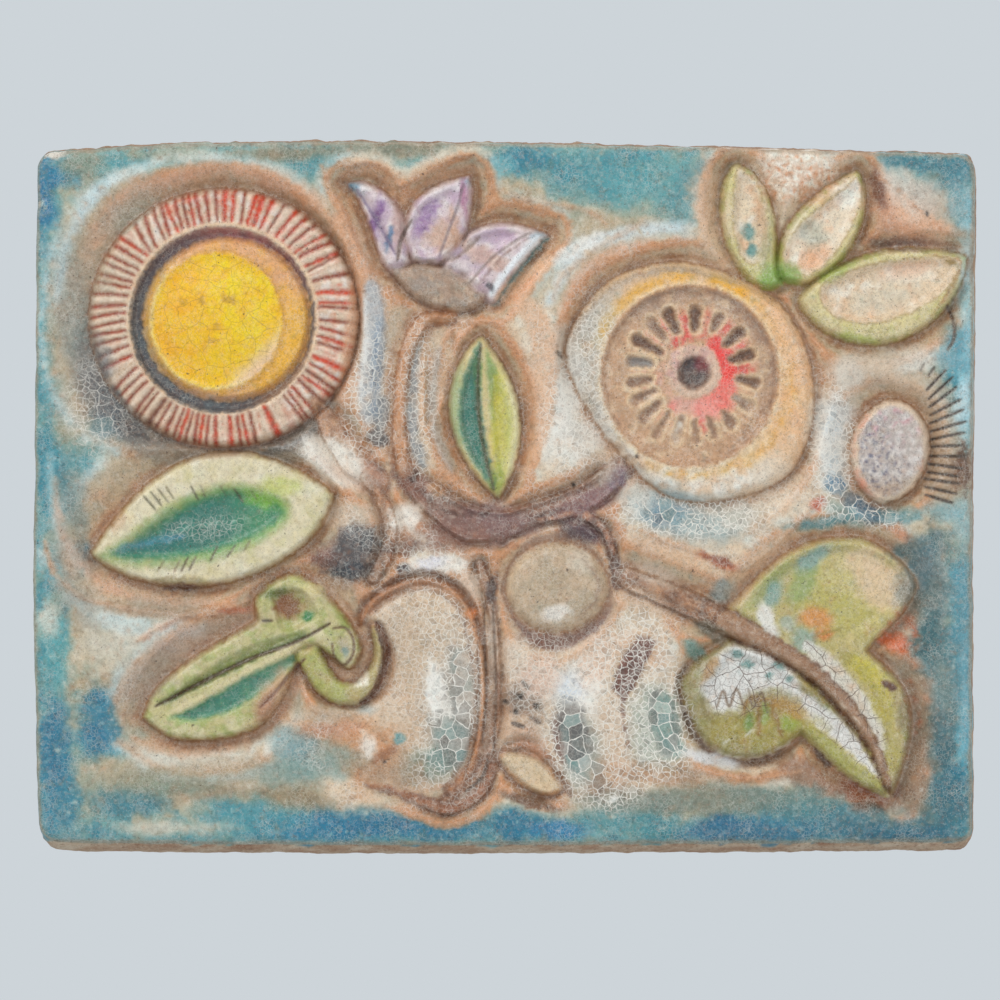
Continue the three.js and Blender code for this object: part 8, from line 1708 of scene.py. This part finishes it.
# ---- colour and condition of every point ----
n = len(all_points)
TONE = np.zeros((n, 3))
BARE = np.zeros(n)  # 1 where the clay shows without glaze
FIELDS = {"net": NET, "craze": CRAZE, "fleck": FLECK, "wet": WET, "pool": POOL}
VALUES = {key: np.zeros(n) for key in FIELDS}
TONE[:n_face] = sample(tone, VX, VZ)
for key, field in FIELDS.items():
    VALUES[key][:n_face] = sample(field, VX, VZ)
near = inset(VX, VZ)
thin_glaze = ramp(1.9 - near + 0.9 * cloud(VX, VZ, 7, 3, 31), 0, 1.2)
chip = sample(CHIP, VX, VZ)
BARE[:n_face] = np.maximum(thin_glaze * 0.75, chip)
clay_pale, clay_brown, clay_rust = rgb("#cdb79c"), rgb("#a17c60"), rgb("#8f5a3c")


def clay(pale, rust):
    base = mix(clay_brown, clay_pale, np.clip(pale, 0, 1)[:, None])
    return mix(base, clay_rust, np.clip(rust, 0, 1)[:, None])


edge_clay = clay(0.55 + 0.6 * cloud(VX, VZ, 9, 3, 32), 0.5 * ramp(cloud(VX, VZ, 5, 3, 33), 0.1, 0.5))
TONE[:n_face] = mix(TONE[:n_face], edge_clay, (0.8 * BARE[:n_face])[:, None])
TONE[:n_face] = mix(TONE[:n_face], rgb("#e2dcd0"), (0.9 * chip)[:, None])
rim_tone = sample(tone, VX[rim] - 3.0 * ox, VZ[rim] - 3.0 * oz)
left_side = ramp(-ox, 0.3, 0.8)
for first, last, k in RING_AT:
    y = all_points[first:last, 1]
    s = (y - y_rim) / (-5.0 - y_rim)
    runs = ramp(0.30 + 0.34 * left_side - 0.20 * top_side - 0.32 * bottom_side - 0.14 * ramp(ox, 0.3, 0.8) + 0.30 * along_rim(12, 52) + 0.12 * along_rim(4, 53, y * 0.2) - s, -0.05, 0.08)
    c = clay(0.38 + 0.75 * along_rim(16, 54, y * 0.45) + 0.3 * along_rim(3.4, 55, y), 0.75 * ramp(along_rim(11, 56, y * 0.6), 0.0, 0.5) * (0.6 + 0.4 * top_side))
    c = mix(c, rgb("#8c6a50"), (0.55 * top_side)[:, None])
    # paler bottom side: painted light, where that side faces the light
    c = mix(c, rgb("#d2c2aa"), (0.5 * bottom_side * ramp(along_rim(20, 57, y * 0.9), -0.1, 0.4))[:, None])
    TONE[first:last] = mix(c, rim_tone * 0.96, (runs * 0.9)[:, None])
    BARE[first:last] = 1 - runs
rest = RING_AT[-1][1]
bx, bz = all_points[rest:, 0], all_points[rest:, 2]
TONE[rest:] = clay(0.3 + 0.5 * cloud(bx, bz, 20, 2, 58), 0.2 * np.ones(len(bx)))
BARE[rest:] = 1


def linear(c):
    return np.where(c <= 0.04045, c / 12.92, ((np.clip(c, 0, 1) + 0.055) / 1.055) ** 2.4)


mesh = bpy.data.meshes.new("plaque_relief")
mesh.vertices.add(n)
mesh.vertices.foreach_set("co", (all_points * 0.001).astype(np.float32).ravel())
mesh.loops.add(all_faces.size)
mesh.loops.foreach_set("vertex_index", all_faces.astype(np.int32).ravel())
mesh.polygons.add(len(all_faces))
mesh.polygons.foreach_set("loop_start", np.arange(0, all_faces.size, 3, dtype=np.int32))
mesh.update(calc_edges=True)
mesh.validate()
mesh.set_sharp_from_angle(angle=math.radians(55))
colour = mesh.attributes.new("tone", "FLOAT_COLOR", "POINT")
colour.data.foreach_set("color", np.concatenate([linear(np.clip(TONE, 0, 1)), np.ones((n, 1))], 1).astype(np.float32).ravel())
for key, values in {**VALUES, "bare": BARE}.items():
    layer = mesh.attributes.new(key, "FLOAT", "POINT")
    layer.data.foreach_set("value", np.clip(values, 0, 1).astype(np.float32))
plaque = bpy.data.objects.new("plaque_relief", mesh)
bpy.context.scene.collection.objects.link(plaque)
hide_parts("plaque")
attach(plaque, "root")

# ================================ glaze material ==============================================

material = bpy.data.materials.new("glazed_clay")
material.use_nodes = True
tree = material.node_tree
nodes, wires = tree.nodes, tree.links
nodes.clear()
output = nodes.new("ShaderNodeOutputMaterial")
shader = nodes.new("ShaderNodeBsdfPrincipled")
wires.new(shader.outputs[0], output.inputs["Surface"])
shader.inputs["IOR"].default_value = 1.5


def put(socket, value):
    if isinstance(value, bpy.types.NodeSocket):
        wires.new(value, socket)
    else:
        socket.default_value = value


def value_of(name):
    node = nodes.new("ShaderNodeAttribute")
    node.attribute_name = name
    return node.outputs["Fac"]


def maths(kind, a, b=0.0, c=0.0, clamp=False):
    node = nodes.new("ShaderNodeMath")
    node.operation, node.use_clamp = kind, clamp
    for socket, v in zip(node.inputs, (a, b, c)):
        put(socket, v)
    return node.outputs[0]


def between(value, low, high, out_low=0.0, out_high=1.0):
    node = nodes.new("ShaderNodeMapRange")
    node.interpolation_type = "SMOOTHSTEP"
    for socket, v in zip(node.inputs[:5], (value, low, high, out_low, out_high)):
        put(socket, v)
    return node.outputs[0]


def blend(base, other, amount, kind="MIX"):
    node = nodes.new("ShaderNodeMix")
    node.data_type, node.blend_type = "RGBA", kind
    put(node.inputs[0], amount)
    put(node.inputs[6], base)
    put(node.inputs[7], other if isinstance(other, bpy.types.NodeSocket) else (*other, 1.0))
    return node.outputs[2]


def lin(text):
    return tuple(float(v) for v in linear(rgb(text)))


place = nodes.new("ShaderNodeTexCoord").outputs["Object"]
split = nodes.new("ShaderNodeSeparateXYZ")
put(split.inputs[0], place)
face_place = nodes.new("ShaderNodeCombineXYZ")
put(face_place.inputs[0], split.outputs[0])
put(face_place.inputs[1], split.outputs[2])
face_place = face_place.outputs[0]


def noise_of(scale, detail=4.0, rough=0.6, warp=0.0, where=None):
    node = nodes.new("ShaderNodeTexNoise")
    put(node.inputs["Vector"], where or place)
    node.inputs["Scale"].default_value = scale
    node.inputs["Detail"].default_value = detail
    node.inputs["Roughness"].default_value = rough
    node.inputs["Distortion"].default_value = warp
    return node.outputs[0]


def bent(amount, scale):
    """place on the face, bent a little by noise so that cracks aren't straight"""
    node = nodes.new("ShaderNodeTexNoise")
    put(node.inputs["Vector"], place)
    node.inputs["Scale"].default_value = scale
    node.inputs["Detail"].default_value = 2.0
    centred = nodes.new("ShaderNodeVectorMath")
    centred.operation = "SUBTRACT"
    put(centred.inputs[0], node.outputs["Color"])
    centred.inputs[1].default_value = (0.5, 0.5, 0.5)
    scaled = nodes.new("ShaderNodeVectorMath")
    scaled.operation = "SCALE"
    put(scaled.inputs[0], centred.outputs[0])
    scaled.inputs["Scale"].default_value = amount
    added = nodes.new("ShaderNodeVectorMath")
    added.operation = "ADD"
    put(added.inputs[0], face_place)
    put(added.inputs[1], scaled.outputs[0])
    return added.outputs[0]


def cells(scale, where, feature="DISTANCE_TO_EDGE"):
    node = nodes.new("ShaderNodeTexVoronoi")
    node.voronoi_dimensions = "2D"
    node.feature = feature
    put(node.inputs["Vector"], where)
    node.inputs["Scale"].default_value = scale
    return node.outputs["Distance"] if feature == "DISTANCE_TO_EDGE" else node.outputs["Color"]


net, craze, fleck, wet, pool, bare = (value_of(k) for k in ("net", "craze", "fleck", "wet", "pool", "bare"))
tone_node = nodes.new("ShaderNodeAttribute")
tone_node.attribute_name = "tone"
colour = tone_node.outputs["Color"]
glazed = maths("SUBTRACT", 1.0, bare, clamp=True)

# grain of the fired surface: soft mottling, rust, cream and dark flecks
broad, middle, fine, dust = noise_of(90, 5), noise_of(330, 5, 0.7), noise_of(900, 3, 0.7), noise_of(1900, 2, 0.6)
patchy, rusty = noise_of(480, 4, 0.7, 0.6), noise_of(620, 4, 0.75, 0.4)
strength = maths("ADD", 0.25, maths("MULTIPLY", fleck, 0.75))
colour = blend(colour, (0.012, 0.007, 0.004), maths("MULTIPLY", between(middle, 0.50, 0.72), maths("MULTIPLY", strength, 0.26)), "MULTIPLY")
colour = blend(colour, lin("#a9704c"), maths("MULTIPLY", between(rusty, 0.52, 0.68), maths("MULTIPLY", strength, 0.34)))
colour = blend(colour, lin("#7e9490"), maths("MULTIPLY", between(rusty, 0.47, 0.34), maths("MULTIPLY", strength, 0.14)))
colour = blend(colour, lin("#f2ebe0"), maths("MULTIPLY", between(patchy, 0.54, 0.70), maths("MULTIPLY", strength, 0.24)))
colour = blend(colour, lin("#4c3528"), maths("MULTIPLY", between(fine, 0.46, 0.32), maths("MULTIPLY", strength, 0.42)))
colour = blend(colour, lin("#efe7db"), maths("MULTIPLY", between(fine, 0.55, 0.72), maths("MULTIPLY", strength, 0.34)))
colour = blend(colour, lin("#3d2c24"), maths("MULTIPLY", between(dust, 0.46, 0.34), maths("MULTIPLY", strength, 0.34)))
pits = noise_of(700, 2, 0.5)
colour = blend(colour, lin("#3f2f26"), maths("MULTIPLY", between(pits, 0.69, 0.75), 0.7))

# pale net of cracks over the darker cells of pooled glaze
where_net = bent(0.0026, 240)
net_edge, net_fine, net_tint, fine_tint = cells(185, where_net), cells(430, where_net), cells(185, where_net, "F1"), cells(430, where_net, "F1")
tints = nodes.new("ShaderNodeSeparateColor")
put(tints.inputs[0], net_tint)
small_tints = nodes.new("ShaderNodeSeparateColor")
put(small_tints.inputs[0], fine_tint)
use_big = between(maths("ADD", broad, maths("MULTIPLY", pool, 0.5)), 0.60, 0.70)
cell_value = maths("ADD", maths("MULTIPLY", tints.outputs[0], use_big), maths("MULTIPLY", small_tints.outputs[0], maths("SUBTRACT", 1.0, use_big)))
colour = blend(colour, lin("#5d5651"), maths("MULTIPLY", net, between(cell_value, 0.62, 1.0, 0.0, 0.34)))
colour = blend(colour, lin("#efe6d8"), maths("MULTIPLY", net, between(cell_value, 0.40, 0.0, 0.0, 0.30)))
colour = blend(colour, lin("#5c5552"), maths("MULTIPLY", pool, between(tints.outputs[1], 0.30, 0.9, 0.10, 0.80)))
colour = blend(colour, lin("#7fa39d"), maths("MULTIPLY", pool, between(tints.outputs[2], 0.55, 0.95, 0.0, 0.75)))
big_line = between(net_edge, 0.060, 0.016)
small_line = between(net_fine, 0.13, 0.035)
net_line = maths("MAXIMUM", maths("MULTIPLY", big_line, between(use_big, 0.0, 0.6, 0.45, 1.0)), maths("MULTIPLY", small_line, maths("SUBTRACT", 1.0, maths("MULTIPLY", use_big, 0.85))))
colour = blend(colour, lin("#efe8dc"), maths("MULTIPLY", net_line, maths("MULTIPLY", net, between(patchy, 0.35, 0.6, 0.45, 1.0))))

# the finest crazing, hardly more than a texture, over the whole glaze
where_micro = bent(0.0016, 420)
micro_edge, micro_tint = cells(680, where_micro), cells(680, where_micro, "F1")
micro_shade = nodes.new("ShaderNodeSeparateColor")
put(micro_shade.inputs[0], micro_tint)
colour = blend(colour, lin("#4f3a2c"), maths("MULTIPLY", between(micro_shade.outputs[0], 0.55, 1.0, 0.0, 0.15), strength))
colour = blend(colour, lin("#f4eee2"), maths("MULTIPLY", between(micro_shade.outputs[1], 0.55, 1.0, 0.0, 0.11), strength))
colour = blend(colour, lin("#efe7da"), maths("MULTIPLY", between(micro_edge, 0.11, 0.03), maths("MULTIPLY", between(broad, 0.42, 0.62, 0.0, 0.28), strength)))

# dark crazing on pale glaze
where_craze = bent(0.0034, 170)
craze_edge, craze_fine = cells(110, where_craze), cells(300, where_craze)
craze_line = maths("MAXIMUM", between(craze_edge, 0.030, 0.008), maths("MULTIPLY", between(craze_fine, 0.06, 0.015), 0.5))
colour = blend(colour, lin("#5d4536"), maths("MULTIPLY", craze_line, maths("MULTIPLY", craze, 0.85)))

# bare clay: sand and rust
sand = noise_of(600, 5, 0.75)
colour = blend(colour, lin("#6f4a34"), maths("MULTIPLY", bare, between(sand, 0.48, 0.36, 0.0, 0.5)))
colour = blend(colour, lin("#ddd0bb"), maths("MULTIPLY", bare, between(sand, 0.56, 0.70, 0.0, 0.45)))
put(shader.inputs["Base Color"], colour)

gloss = between(middle, 0.3, 0.7, 0.30, 0.46)
gloss = maths("SUBTRACT", gloss, maths("MULTIPLY", wet, 0.14))
rough = maths("ADD", maths("MULTIPLY", gloss, glazed), maths("MULTIPLY", bare, 0.86))
rough = maths("ADD", rough, maths("MULTIPLY", maths("MAXIMUM", net_line, craze_line), 0.10), clamp=True)
put(shader.inputs["Roughness"], rough)

bump = nodes.new("ShaderNodeBump")
bump.inputs["Strength"].default_value = 0.5
bump.inputs["Distance"].default_value = 0.0004
height = maths("ADD", maths("MULTIPLY", middle, 0.5), maths("MULTIPLY", fine, 0.22))
height = maths("SUBTRACT", height, maths("MULTIPLY", maths("MULTIPLY", net_line, net), 0.12))
height = maths("SUBTRACT", height, maths("MULTIPLY", maths("MULTIPLY", craze_line, craze), 0.2))
height = maths("ADD", height, maths("MULTIPLY", maths("MULTIPLY", sand, bare), 1.3))
put(bump.inputs["Height"], height)
put(shader.inputs["Normal"], bump.outputs[0])
mesh.materials.append(material)

# ================================ stage =======================================================

low, high = CAD_BOX
scene = bpy.context.scene
scene.view_settings.view_transform = "Standard"
scene.view_settings.look = "None"
scene.view_settings.exposure = 0.0
scene.view_settings.gamma = 1.0

world = bpy.data.worlds.new("studio")
scene.world = world
world.use_nodes = True
sky = world.node_tree.nodes["Background"]
sky.inputs["Color"].default_value = (*lin("#cdd4d9"), 1.0)
sky.inputs["Strength"].default_value = 1.0

floor_mesh = bpy.data.meshes.new("floor")
floor_mesh.from_pydata([(-1.6, -2.6, -0.46), (1.6, -2.6, -0.46), (1.6, 0.14, -0.46), (-1.6, 0.14, -0.46)], [], [(0, 1, 2, 3)])
floor_mesh.update()
floor = bpy.data.objects.new("floor", floor_mesh)
scene.collection.objects.link(floor)
pale = bpy.data.materials.new("floor_paint")
pale.use_nodes = True
paint_node = pale.node_tree.nodes["Principled BSDF"]
paint_node.inputs["Base Color"].default_value = (*lin("#c9ced2"), 1.0)
paint_node.inputs["Roughness"].default_value = 0.8
floor_mesh.materials.append(pale)


def lamp(name, at, aim, size, power, tint=(1.0, 1.0, 1.0)):
    light = bpy.data.lights.new(name, "AREA")
    light.shape, light.size, light.energy, light.color = "SQUARE", size, power, tint
    obj = bpy.data.objects.new(name, light)
    obj.location = at
    direction = [b - a for a, b in zip(at, aim)]
    from mathutils import Vector
    obj.rotation_euler = Vector(direction).to_track_quat("-Z", "Y").to_euler()
    scene.collection.objects.link(obj)
    return obj


lamp("key", (-1.0, -1.25, 1.25), (0, 0, 0), 1.1, KEY_POWER, (1.0, 0.985, 0.96))
lamp("fill", (1.25, -1.5, 0.25), (0, 0, 0), 1.3, FILL_POWER, (0.96, 0.98, 1.0))
lamp("rim_back", (0.6, 1.3, 1.0), (0, 0, 0), 1.2, 9.0)

camera_data = bpy.data.cameras.new("camera")
camera_data.lens, camera_data.sensor_width = 180.0, 36.0
camera_data.clip_start, camera_data.clip_end = 0.05, 20.0
camera = bpy.data.objects.new("camera", camera_data)
camera.location = (-0.00234, -2.1345, -0.0013)
camera.rotation_euler = (math.radians(90), 0, 0)
scene.collection.objects.link(camera)
scene.camera = camera
